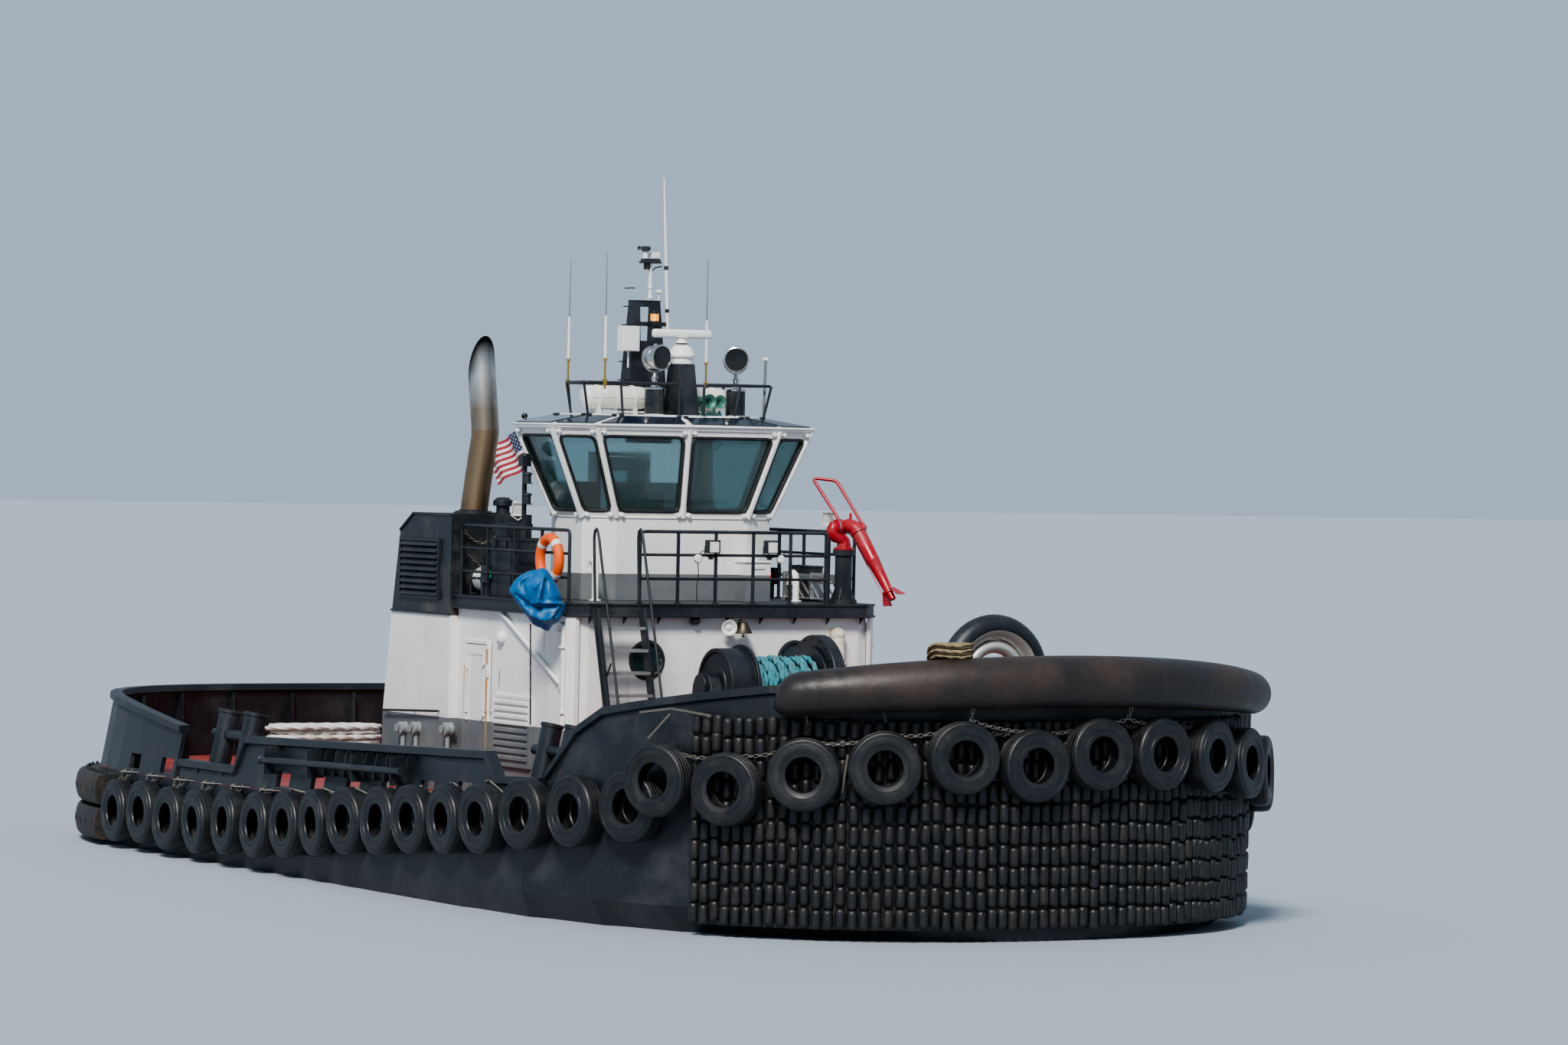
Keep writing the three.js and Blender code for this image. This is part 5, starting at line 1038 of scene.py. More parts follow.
for point in arch_path(STAPLE_HALF, staple_deck + 0.24):
    point = Vector(point)
    inward = Vector((0, -point.y, min(0, STAPLE_SPRING - point.z))).normalized()
    arc = [inward * cos(t) + Vector((sin(t), 0, 0)) for t in (radians(a) for a in range(-75, 76, 15))]
    sheath_rings.append([point + way * SHEATH_OUT for way in arc]
                        + [point + way * SHEATH_IN for way in reversed(arc)])
lining.loft(sheath_rings)
lining.piece("staple_lining", stainless, replaces=["bow_staple_liner"])

# Winch: a black towing winch with a steel brake wheel to starboard, a gear case and a ribbed motor to port.
# A thick teal rope of woven fibre is wound on its drum, grey where it has lain in the weather.
WINCH_X, WINCH_Z = 4.3, 2.98
BARREL_RADIUS, WINCH_ROPE, STEPS_A_TURN = 0.26, 0.088, 20


def on_winch(form, profile, sides=36):
    """Turns (radius, y) pairs about the winch's shaft."""
    return form.turned(profile, (WINCH_X, 0, WINCH_Z), axis=(0, 1, 0), sides=sides)


drum = Form()
on_winch(drum, [(0, -1.28), (0.088, -1.278), (0.088, -1.09), (0.30, -1.085), (0.31, -1.06), (0.46, -1.06),
                (0.475, -1.09), (0.53, -1.085), (0.53, -0.73), (0.515, -0.70), (0.585, -0.70),
                (0.585, -0.655), (0.26, -0.652), (0.26, 0.398), (0.56, 0.40), (0.56, 0.44), (0.088, 0.442),
                (0.088, 0.55), (0, 0.55)])
drum.piece("winch_drum_wheel", black_paint, body="winch_drum", replaces=["winch_drum"], edge=0.006)


def wound_rope():
    """Two layers of turns along the drum, the upper one thrown a little loose."""
    chance = random.Random(5)
    path = []
    for layer, turns in ((0, 11), (1, 10)):
        for i in range(turns * STEPS_A_TURN):
            share = i / (turns * STEPS_A_TURN)
            y = -0.60 + 0.94 * (share if layer == 0 else 1 - share)
            radius = BARREL_RADIUS + WINCH_ROPE * (0.55 + 0.9 * layer) + 0.012 * layer * sin(i * 0.37)
            turn = 2 * pi * i / STEPS_A_TURN
            y += layer * 0.02 * sin(turn * 0.5 + 1.3) + chance.uniform(-0.002, 0.002)
            path.append(Vector((WINCH_X + radius * cos(turn), y, WINCH_Z + radius * sin(turn))))
    return path


teal_rope = finish("teal_rope", (0.045, 0.24, 0.29), 0.8, dirt=((0.13, 0.16, 0.15), 0.85),
                   scale=5, relief=0.7)
strand_rope(wound_rope(), WINCH_ROPE, 3, 2.6).piece("winch_rope_turns", teal_rope, body="winch_drum",
                                               replaces=["winch_rope"])
stand = Form()
deck_here = deck_height(WINCH_X)
stand.block((WINCH_X - 0.7, -1.34, deck_here - 0.1), (WINCH_X + 0.7, 1.14, 1.70))
stand.slab([(WINCH_X + x, -1.29, z) for x,
            z in ((-0.52, 1.65), (-0.27, 3.0), (-0.2, 3.11), (-0.1, 3.155), (0.1, 3.155),
                                                   (0.2, 3.11), (0.27, 3.0), (0.52, 1.65))], (0, 0.17, 0))
stand.block((WINCH_X - 0.52, 0.47, 1.65), (WINCH_X + 0.52, 0.63, WINCH_Z))
stand.block((WINCH_X - 0.24, 0.64, 1.65), (WINCH_X + 0.24, 1.06, WINCH_Z))
on_winch(stand, [(0.09, -1.335), (0.17, -1.33), (0.17, -1.29)], 24)
on_winch(stand, [(0.3, 0.45), (0.70, 0.452), (0.72, 0.47), (0.72, 0.63), (0.69, 0.65), (0.45, 0.655)], 44)
motor = [(0.27, 0.64)]
for i in range(9):
    y = 0.68 + i * 0.042
    motor += [(0.245, y), (0.27, y + 0.008), (0.27, y + 0.022), (0.245, y + 0.03)]
on_winch(stand, motor + [(0.25, 1.07), (0.17, 1.08)], 28)
stand.bolts([(0.017, -0.014), (0.017, 0.012)], (WINCH_X, 0.448, WINCH_Z), 0.67, 20, axis=(0, 1, 0), lift=up)
stand.tube([(WINCH_X + 0.2, 0.9, 3.2), (WINCH_X + 0.5, 0.95, 3.1), (WINCH_X + 0.62, 0.95, 2.4),
            (WINCH_X + 0.62, 0.95, 1.7)],
                0.025, 8)
stand.piece("winch_stand", black_paint, replaces=["winch_frame"], edge=0.006)

# Boat deck: the roof of the deckhouse, a steel plate with a black fascia all round, painted black.
# Flat bars are welded along the fascia, with brackets and a lamp under its front edge. The aft flagstaff
# stands on the same deck, with a ball on its head and two clamps near its foot.
dress("boat_deck", black_paint)
DECK_TOP, HOUSE_SIDE = 4.08, 2.42
# Each flat bar of the fascia is its height, distance from the middle line and depth.
FASCIA_BARS = ((3.9, 2.508, 0.05), (4.065, 2.504, 0.035))
BRACKET_COUNT, BRACKET_PITCH = 9, 0.55
deck_trim = Form()
for z, y, depth in FASCIA_BARS:
    for side in (-1, 1):
        deck_trim.beam((-1.19, side * y, z), (2.45, side * y, z), depth, 0.03)
        deck_trim.beam((2.45, side * 2.504, z), (2.70, side * 2.254, z), depth, 0.03)
    deck_trim.beam((2.705, -2.25, z), (2.705, 2.25, z), depth, 0.03)
for i in range(BRACKET_COUNT):
    y = (i - (BRACKET_COUNT - 1) / 2) * BRACKET_PITCH
    deck_trim.slab([(2.56, y, 3.885), (2.68, y, 3.885), (2.56, y, 3.78)], (0, 0.012, 0))
deck_trim.turned([(0.05, 0), (0.075, -0.02), (0.07, -0.08), (0.04, -0.11)], (2.62, -0.52, 3.885), sides=20)
deck_trim.turned([(0.045, 0), (0.052, 0.03), (0.03, 0.06)], (-4.02, 0, 6.71), axis=(-0.63, 0, 0.776),
                 sides=16)
STAFF_FOOT, STAFF_HEAD = Vector((-1.86, 0, 4.06)), Vector((-4.02, 0, 6.72))
for share in (0.04, 0.07):
    place = STAFF_FOOT.lerp(STAFF_HEAD, share)
    deck_trim.beam(place + Vector((-0.12, 0, -0.1)), place + Vector((0.05, 0, 0.03)), 0.09, 0.02)
deck_trim.piece("boat_deck_trim", black_paint, edge=0.004)

# Deckhouse: welded steel walls, white above and grey at the foot, with rust runs from each fitting.
# It carries vent pipes, a diagonal brace, grab rails, round lamps and the frames of its doors and louvres.
WHITE_PAINT = (0.78, 0.78, 0.76)
GREY_PAINT = (0.125, 0.14, 0.15)
white_paint = finish("white_paint", WHITE_PAINT, 0.38, dirt=(GRIME, 0.25), runs=(RUST, 0.5),
                     scale=0.8)
house_paint = finish("house_paint", GREY_PAINT, 0.42, dirt=(GRIME, 0.25), runs=(RUST, 0.75),
                     scale=0.8, bands=((2.27, WHITE_PAINT),))
dress("deckhouse", house_paint)
rusty_white = finish("rusty_white_paint", (0.66, 0.63, 0.57), 0.5,
                     dirt=((0.40, 0.20, 0.07), 0.8), runs=(RUST, 0.9), scale=3)


def frame_round(form, low, high, side, width=0.05, proud=0.03):
    """A flat bar frame on a side wall round an opening; low and high are (x, z)."""
    y = side * (HOUSE_SIDE + proud / 2)
    (x0, z0), (x1, z1) = low, high
    half = proud / 2
    for a, b in (((x0 - width, z0 - width), (x1 + width, z0)), ((x0 - width, z1), (x1 + width, z1 + width)),
                 ((x0 - width, z0), (x0, z1)), ((x1, z0), (x1 + width, z1))):
        form.block((a[0], y - half, a[1]), (b[0], y + half, b[1]))


LOUVRE_COUNT, LOUVRE_FOOT, LOUVRE_PITCH = 8, 1.81, 0.1
PIPE_LINE, RAIL_ENDS = 2.475, (3.43, 2.43)
house_fittings = Form()
for side in (-1, 1):
    frame_round(house_fittings, (-0.885, 1.515), (-0.195, 3.385), side)
    frame_round(house_fittings, (0.15, 1.70), (1.25, 2.64), side, 0.045, 0.05)
    for i in range(LOUVRE_COUNT):
        z = LOUVRE_FOOT + i * LOUVRE_PITCH
        house_fittings.slab([(0.19, side * 2.445, z + 0.03), (0.19, side * 2.475, z - 0.005),
                             (0.19, side * 2.475, z - 0.012), (0.19, side * 2.445, z + 0.02)], (1.02, 0, 0))
    house_fittings.tube([(0.31, side * 2.46, 3.86), (2.22, side * 2.46, 2.92)], 0.032, 12)
    house_fittings.block((2.18, side * 2.415 - 0.05, 2.84), (2.3, side * 2.415 + 0.05, 3.0))
    vent = [(2.36, 1.42), (2.36, 3.66), (2.34, 3.73), (2.27, 3.77), (2.2, 3.73), (2.18, 3.66)]
    house_fittings.tube([(x, side * PIPE_LINE, z) for x, z in vent], 0.042, 16)
    for z in (1.48, 2.52, 3.45):
        house_fittings.turned([(0.042, -0.02), (0.075, -0.018), (0.075, 0.018), (0.042, 0.02)],
                              (2.36, side * PIPE_LINE, z), sides=18)
        house_fittings.block((2.34, side * 2.45 - 0.035, z - 0.02), (2.38, side * 2.45 + 0.035, z + 0.02))
    for z in RAIL_ENDS:
        house_fittings.tube([(-0.02, side * HOUSE_SIDE, z), (-0.02, side * 2.47, z)], 0.012, 8)
    house_fittings.tube([(-0.02, side * 2.47, z) for z in RAIL_ENDS], 0.014, 10)
    house_fittings.turned([(0.1, 0), (0.1, 0.03), (0.085, 0.07), (0.05, 0.1)], (0.28, side * 2.42, 3.5),
                          axis=(0, side, 0), sides=20)
    corner = [(2.41, 2.42), (2.41, 2.49), (2.455, 2.49), (2.55, 2.395), (2.55, 2.33)]
    house_fittings.slab([(x, side * y, 1.42) for x, y in corner], (0, 0, 2.46))
house_fittings.piece("deckhouse_fittings", house_paint, edge=0.004)

# Rust runs: thin stains on the wall paint under hinges, dogs and pipe clips, widest at their head.
# Each is its x, distance from the middle line, head and foot heights and half width.
RUST_RUNS = ((-0.165, 2.451, 3.32, 1.50, 0.034), (-0.91, 2.451, 3.05, 2.35, 0.012),
             (0.20, 2.421, 3.02, 2.72, 0.020), (2.31, 2.421, 3.62, 3.10, 0.014),
             (0.08, 2.421, 2.42, 2.10, 0.014), (1.62, 2.421, 3.80, 3.35, 0.010),
             (-0.17, 2.4515, 3.12, 3.00, 0.042), (-0.17, 2.4515, 2.42, 2.30, 0.042))
rust_stain = finish("rust_stain", (0.46, 0.22, 0.075), 0.7, dirt=((0.58, 0.42, 0.25), 0.7),
                    scale=3)
rust_runs = Form()
for side in (-1, 1):
    for x, y, head, foot, width in RUST_RUNS:
        outline = ((x - width, head), (x + width, head), (x + 0.35 * width, foot), (x - 0.2 * width, foot))
        rust_runs.slab([(at_x, side * y, z) for at_x, z in outline], (0, side * 0.0008, 0))
rust_runs.piece("rust_runs", rust_stain)

# Vent bend and loudspeaker: a rusty white swan-necked vent pipe with a bolted flange on the port side of the
# front wall, and a small white horn loudspeaker under the boat deck's front edge.
FLANGE, SPEAKER_AIM = (2.66, 1.8, 3.22), (0.96, -0.25, -0.1)
house_front = Form()
house_front.tube([(2.5, 1.8, 3.64), (2.61, 1.8, 3.64), (2.645, 1.8, 3.625), (2.66, 1.8, 3.59),
                  (2.66, 1.8, 2.88)], 0.096, 24)
house_front.turned([(0, -0.108), (0.06, -0.09), (0.095, -0.05), (0.108, 0), (0.095, 0.05), (0.06, 0.09),
                    (0, 0.108)], (2.655, 1.8, 3.635), sides=24)
house_front.turned([(0.1, -0.018), (0.14, -0.016), (0.14, 0.016), (0.1, 0.018)], FLANGE, sides=24)
house_front.bolts([(0.012, -0.03), (0.012, 0.03)], FLANGE, 0.12, 8)
house_front.piece("vent_bend", rusty_white, edge=0.003)
speaker = Form()
speaker.turned([(0.03, -0.16), (0.045, -0.14), (0.05, -0.06), (0.105, -0.015), (0.115, 0.0), (0.105, 0.0),
                (0.06, -0.03), (0.05, -0.05)], (2.74, -0.03, 3.74), axis=SPEAKER_AIM, sides=28)
speaker.turned([(0.02, -0.06), (0.045, -0.04), (0.045, 0.0), (0.02, 0.01)], (2.72, -0.025, 3.742),
               axis=SPEAKER_AIM, sides=20)
speaker.beam((2.55, -0.03, 3.76), (2.63, -0.03, 3.75), 0.05, 0.03)
speaker.piece("deck_speaker", white_paint)

# Portholes: two round lights of dark glass in the front wall, in black steel rims that eight nuts each hold.
# The panes sit back in their rims, and each rim is a heavy rounded casting.
WALL_X, PORTHOLE_Z = 2.55, 3.27
dark_glass = finish("porthole_glass", (0.012, 0.035, 0.032), 0.06, dirt=((0.2, 0.22, 0.2), 0.15),
                    relief=0.02)
port_rims, port_glass = Form(), Form()
for y in (-1.25, 1.15):
    centre = (WALL_X, y, PORTHOLE_Z)
    port_rims.turned([(0.225, -0.05), (0.225, 0.012), (0.245, 0.03), (0.275, 0.022), (0.29, 0.0),
                      (0.29, -0.02), (0.24, -0.05)], centre, axis=(1, 0, 0), sides=44)
    port_glass.turned([(0.232, -0.03), (0.232, -0.012)], centre, axis=(1, 0, 0), sides=40)
    port_rims.bolts([(0.013, 0), (0.013, 0.04)], centre, 0.262, 8, axis=(1, 0, 0), across=(0, 1, 0), lift=up,
                    phase=0.2)
port_rims.piece("porthole_rims", black_paint)
port_glass.piece("porthole_panes", dark_glass)

# Deckhouse doors: steel weathertight doors in the walls' own paint, each with six dogs and a pressed panel.
# A dog is a short lever on a turned boss, and a door carries its own dogs with it when it swings.
for side, door in ((-1, "door_stbd"), (1, "door_port")):
    dress(door, house_paint)
    panel = Form()
    y = side * 2.445
    for x0, x1, z0, z1 in ((-0.78, -0.27, 1.66, 1.72), (-0.78, -0.27, 3.22, 3.28), (-0.78, -0.74, 1.72, 3.22),
                           (-0.31, -0.27, 1.72, 3.22)):
        panel.block((x0, y - 0.008, z0), (x1, y + 0.008, z1))
    for z in (1.75, 2.35, 3.1):
        for x, reach in ((-0.84, -0.03), (-0.23, 0.03)):
            panel.turned([(0.022, 0), (0.022, 0.03), (0.014, 0.035)], (x, side * 2.44, z), axis=(0, side, 0),
                         sides=12)
            panel.beam((x, side * 2.468, z), (x - reach * 2.2, side * 2.468, z - 0.09), 0.018, 0.014)
    panel.piece(f"{door}_panel", house_paint, body=door, edge=0.004)

# Engine casings: plated trunks either side, black over white over grey.
# Their upper length is louvred, chains hang on their front, and mushroom vents stand at their foot.
casing_paint = finish("casing_paint", GREY_PAINT, 0.42, dirt=(GRIME, 0.2), runs=(RUST, 0.6),
                      scale=0.8, bands=((2.27, WHITE_PAINT), (3.77, BLACK_PAINT)))
CASING_SIDE, CASING_TOP = 2.56, 5.26
casing_trim, casing_feet = Form(), Form()
for side, casing in ((-1, "casing_stbd"), (1, "casing_port")):
    dress(casing, casing_paint)
    y = side * (CASING_SIDE + 0.012)
    casing_trim.beam((-3.2, y, 3.79), (-1.19, y, 3.79), 0.035, 0.03)
    casing_trim.beam((-2.95, y, 4.99), (-2.5, y, 5.245), 0.02, 0.03)
    casing_trim.beam((-2.5, y, 5.25), (-1.19, y, 5.25), 0.02, 0.03)
    for low, high in (((-2.9, 3.99), (-1.55, 4.03)), ((-2.9, 4.84), (-1.55, 4.88)),
                      ((-2.9, 4.03), (-2.86, 4.84)), ((-1.59, 4.03), (-1.55, 4.84))):
        casing_trim.block((low[0], y - 0.03, low[1]), (high[0], y + 0.03, high[1]))
    for i in range(9):
        z = 4.05 + i * 0.092
        tip = side * (CASING_SIDE + 0.062)
        casing_trim.slab([(-2.84, side * CASING_SIDE, z + 0.085), (-2.84, tip, z - 0.005),
                          (-2.84, tip, z - 0.012), (-2.84, side * CASING_SIDE, z + 0.075)], (1.24, 0, 0))
    casing_trim.tube([(-3.3, side * 2.63, 2.29), (-1.42, side * 2.63, 2.36)], 0.018, 10)
    for x, z in ((-3.2, 2.294), (-2.3, 2.327), (-1.5, 2.357)):
        casing_trim.tube([(x, side * 2.56, z), (x, side * 2.63, z)], 0.013, 8)
    casing_trim.turned([(0.16, 0), (0.16, 0.02), (0.1, 0.03), (0.1, 0.12), (0.15, 0.13), (0.145, 0.2),
                        (0.09, 0.245), (0, 0.255)], (-1.42, side * 1.62, CASING_TOP), sides=28)
    casing_trim.turned([(0.30, 0), (0.30, 0.02), (0.215, 0.03), (0.215, 0.06)],
                       (-1.83, side * 1.9, CASING_TOP), sides=36)
    casing_trim.bolts([(0.014, 0), (0.014, 0.04)], (-1.83, side * 1.9, CASING_TOP), 0.26, 12)
    for x in (-3.0, -2.68, -1.72):
        casing_feet.turned([(0.158, 1.56), (0.162, 1.6), (0.162, 1.7), (0.15, 1.745), (0.09, 1.775),
                            (0, 1.782)], (x, side * 2.82, 0), sides=28)
        casing_feet.turned([(0.062, 1.28), (0.09, 1.283), (0.09, 1.3), (0.062, 1.303)], (x, side * 2.82, 0),
                           sides=20)
        casing_feet.turned([(0.02, 1.775), (0.02, 1.8)], (x, side * 2.82, 0), sides=8)
casing_trim.piece("casing_trim", black_paint, edge=0.003)
grey_paint = finish("grey_paint", (0.23, 0.25, 0.26), 0.45, dirt=(GRIME, 0.3),
                    runs=(RUST, 0.5), scale=2)
casing_feet.piece("mushroom_vents", grey_paint)
# Each chain on a casing's front is its two ends as (y, z) and its drop.
CHAIN_SWAGS = (((-2.40, 5.05), (-1.76, 5.02), 0.2), ((-2.28, 4.66), (-1.5, 4.66), 0.22))
casing_links = []
for side in (-1, 1):
    for (y0, z0), (y1, z1), drop in CHAIN_SWAGS:
        casing_links += chain_places(swag((-1.178, -side * y0, z0), (-1.178, -side * y1, z1), drop, 10), 0.05)
row_of("casing_chains", link_form(0.066, 0.009), casing_links, chain_steel)

# Exhaust stacks: bent stainless pipes, tinted gold by heat, silver above the elbow of the tall one.
# The tall one's mouth is a long slant that faces aft, and both mouths are black with soot.
STACK_RADIUS, STACK_WALL, STACK_SIDES = 0.205, 0.012, 32
ELBOW_Z, HEAD_X = 6.48, -1.80
MOUTH_SLANT, MOUTH_TIP = 2.2, 7.887
RIM_LEVEL = MOUTH_TIP - MOUTH_SLANT * (HEAD_X + STACK_RADIUS)
GOLD_STEEL, BROWN_STEEL, SILVER_STEEL = (0.34, 0.235, 0.145), (0.36, 0.30, 0.235), (0.66, 0.66, 0.65)
SOOT_BLACK = (0.012, 0.011, 0.010)
tall_steel = finish("heat_tinted_steel", GOLD_STEEL, 0.36, metallic=1.0,
                    dirt=((0.10, 0.07, 0.06), 0.5), scale=1.4,
                    bands=((6.5, BROWN_STEEL, 0.06, 0.0), (7.05, SILVER_STEEL, 0.5, 0.0),
                           (RIM_LEVEL - 0.30, SOOT_BLACK, 0.42, MOUTH_SLANT)))
short_steel = finish("short_stack_steel", GOLD_STEEL, 0.36, metallic=1.0,
                     dirt=((0.10, 0.07, 0.06), 0.6), scale=1.4, bands=((6.30, SOOT_BLACK, 0.3, 0.0),))
soot = finish("soot", SOOT_BLACK, 0.9, dirt=((0.05, 0.045, 0.04), 0.6), scale=3, relief=0.4)


def stack_rings(path, radius, top_of):
    """Rings up a bent pipe; each of its staves ends at the height that top_of gives for its x."""
    turns = [2 * pi * k / STACK_SIDES for k in range(STACK_SIDES)]
    rings = [[(p.x + radius * cos(t), p.y + radius * sin(t), p.z) for t in turns] for p in path[:-1]]
    low, high = path[-2], path[-1]
    for share in (0.15, 0.3, 0.45, 0.6, 0.75, 0.9, 1.0):
        ring = []
        for t in turns:
            x = high.x + radius * cos(t)
            z = low.z + (top_of(x) - low.z) * share
            at = low.lerp(high, (z - low.z) / (high.z - low.z))
            ring.append((at.x + radius * cos(t), at.y + radius * sin(t), z))
        rings.append(ring)
    return rings


def slanted_mouth(x):
    return MOUTH_TIP + MOUTH_SLANT * (x - HEAD_X - STACK_RADIUS)


def level_mouth(x):
    return ELBOW_Z


for side, exhaust in ((-1, "exhaust_stack_stbd"), (1, "exhaust_stack_port")):
    tall = side < 0
    foot = Vector((-1.83, side * 1.9, CASING_TOP + 0.001))
    elbow = Vector((-1.72, side * 1.79, ELBOW_Z))
    path = [foot, foot.lerp(elbow, 0.5), elbow - up * 0.07, elbow, elbow + up * 0.05,
            Vector((HEAD_X, side * 1.88, 8.0))]
    mouth_of = slanted_mouth
    if not tall:
        path, mouth_of = [foot, foot.lerp(elbow, 0.5), elbow], level_mouth
    outside = stack_rings(path, STACK_RADIUS, mouth_of)
    inside = stack_rings(path, STACK_RADIUS - STACK_WALL, mouth_of)
    pipe = Form().loft(outside + inside[:-5:-1])
    for share in (0.02, 0.5):
        pipe.turned([(0.2, -0.012), (0.212, -0.01), (0.212, 0.01), (0.2, 0.012)], foot.lerp(elbow, share),
                    sides=32)
    if tall:
        pipe.turned([(0.2, -0.006), (0.209, -0.005), (0.209, 0.005), (0.2, 0.006)], elbow, sides=32)
    pipe.piece(f"{exhaust}_pipe", tall_steel if tall else short_steel, replaces=[exhaust])
    throat = stack_rings(path, STACK_RADIUS - STACK_WALL - 0.001, mouth_of)
    lip = [[(x, y, z - 0.02) for x, y, z in throat[-1]]]
    Form().loft(throat[-4:-1] + lip).piece(f"{exhaust}_soot", soot)

# Boat deck rails: three round bars through flat stanchions in black paint, with bent corners.
# Their stanchions stand on small round feet that are welded to the deck.
RAIL_TOP, RAIL_BARS = 5.10, (4.43, 4.77, 5.10)
FRONT_X, SIDE_Y = 2.65, 2.44


def rounded(points, radius=0.07):
    """Cuts each corner of a line with a small bend."""
    path = [Vector(points[0])]
    for before, corner, after in zip(points, points[1:], points[2:]):
        before, corner, after = Vector(before), Vector(corner), Vector(after)
        a, b = (before - corner).normalized() * radius, (after - corner).normalized() * radius
        for t in (0, 0.25, 0.5, 0.75, 1):
            path.append(corner + a * (1 - t) ** 2 + b * t ** 2)
    return path + [Vector(points[-1])]


def rail_run(form, line, every):
    """A top bar that bends down to the deck at both ends, two lower bars, and stanchions between."""
    first, last = Vector((*line[0], 0)), Vector((*line[-1], 0))
    top_line = [(x, y, RAIL_TOP) for x, y in line]
    ends = [(first.x, first.y, DECK_TOP)] + top_line + [(last.x, last.y, DECK_TOP)]
    form.tube(rounded(ends, 0.09), 0.025, 12)
    for z in RAIL_BARS[:2]:
        form.tube(rounded([(x, y, z) for x, y in line], 0.06), 0.021, 10)
    for (x0, y0), (x1, y1) in zip(line, line[1:]):
        count = max(1, round(hypot(x1 - x0, y1 - y0) / every))
        for k in range(1, count if (x1, y1) == tuple(line[-1]) else count + 1):
            x, y = x0 + (x1 - x0) * k / count, y0 + (y1 - y0) * k / count
            form.beam((x, y, DECK_TOP), (x, y, RAIL_TOP), 0.045, 0.024)
            form.turned([(0.055, 0), (0.055, 0.012), (0.03, 0.016)], (x, y, DECK_TOP), sides=16)
    for x, y in (line[0], line[-1]):
        form.turned([(0.055, 0), (0.055, 0.012), (0.03, 0.016)], (x, y, DECK_TOP), sides=16)


rail_run(front_rail := Form(), [(FRONT_X, -1.44), (FRONT_X, 1.60)], 0.62)
front_rail.piece("front_rail", black_paint, replaces=["rail_front"])
rail_run(stbd_rail := Form(), [(2.41, -SIDE_Y), (-1.08, -SIDE_Y)], 0.88)
stbd_rail.piece("starboard_rail", black_paint, replaces=["rail_side_stbd"])
rail_run(port_rail := Form(), [(1.95, SIDE_Y), (-1.08, SIDE_Y)], 0.76)
port_rail.piece("port_rail", black_paint, replaces=["rail_side_port"])

# Deck floodlights: black cast boxes with clear glass on the front rail, each with a white round junction box.
# Their black cables drop from the boxes to the deck, clipped to the stanchions.
lamp_face = finish("lamp_reflector", (0.78, 0.78, 0.74), 0.18, dirt=((0.5, 0.5, 0.46), 0.3),
                   relief=0.05)
flood, flood_face, round_boxes = Form(), Form(), Form()
for y in (-0.32, 0.63):
    flood.block((2.68, y - 0.10, 4.80), (2.75, y + 0.10, 4.99))
    flood.slab([(2.75, y - 0.10, 4.80), (2.78, y - 0.085, 4.815), (2.78, y - 0.085, 4.975),
                (2.75, y - 0.10, 4.99)], (0, 0.012, 0))
    flood.slab([(2.75, y + 0.088, 4.80), (2.78, y + 0.088, 4.815), (2.78, y + 0.088, 4.975),
                (2.75, y + 0.088, 4.99)], (0, 0.012, 0))
    flood.block((2.748, y - 0.10, 4.80), (2.775, y + 0.10, 4.815))
    flood.block((2.748, y - 0.10, 4.975), (2.775, y + 0.10, 4.99))
    flood.tube([(2.71, y - 0.115, 4.9), (2.71, y - 0.115, 4.76), (2.68, y, 4.74), (2.71, y + 0.115, 4.76),
                (2.71, y + 0.115, 4.9)], 0.009, 8)
    for i in range(6):
        flood.block((2.66, y - 0.085 + i * 0.032, 4.81), (2.682, y - 0.077 + i * 0.032, 4.98))
    flood.block((2.66, y - 0.03, 4.71), (2.70, y + 0.03, 4.76))
    flood_face.block((2.755, y - 0.086, 4.817), (2.762, y + 0.086, 4.973))
    box_y = y + (-0.22 if y < 0 else 0.17)
    round_boxes.turned([(0.055, -0.035), (0.06, -0.025), (0.06, 0.02), (0.05, 0.03), (0.03, 0.033)],
                       (2.71, box_y, 4.72), axis=(1, 0, 0), sides=24)
    for turn in (0.5, 2.1, 3.7, 5.2):
        spot = Vector((2.74, box_y + 0.045 * cos(turn), 4.72 + 0.045 * sin(turn)))
        round_boxes.turned([(0.008, 0), (0.008, 0.006)], spot, axis=(1, 0, 0), sides=6)
    round_boxes.block((2.66, box_y - 0.02, 4.70), (2.69, box_y + 0.02, 4.74))
    cable = ((2.70, box_y, 4.665), (2.70, box_y + 0.012, 4.5), (2.70, box_y - 0.012, 4.3),
             (2.70, box_y, 4.10))
    flood.tube(smooth_path(cable, 0.05), 0.008, 8)
    cable = ((2.70, box_y + 0.02, 4.77), (2.72, box_y + 0.06, 4.83), (2.69, y - 0.02, 4.80))
    flood.tube(smooth_path(cable, 0.03), 0.007, 8)
flood.piece("floodlights", black_paint, edge=0.002)
flood_face.piece("floodlight_glass", lamp_face)
round_boxes.piece("junction_boxes", white_paint)

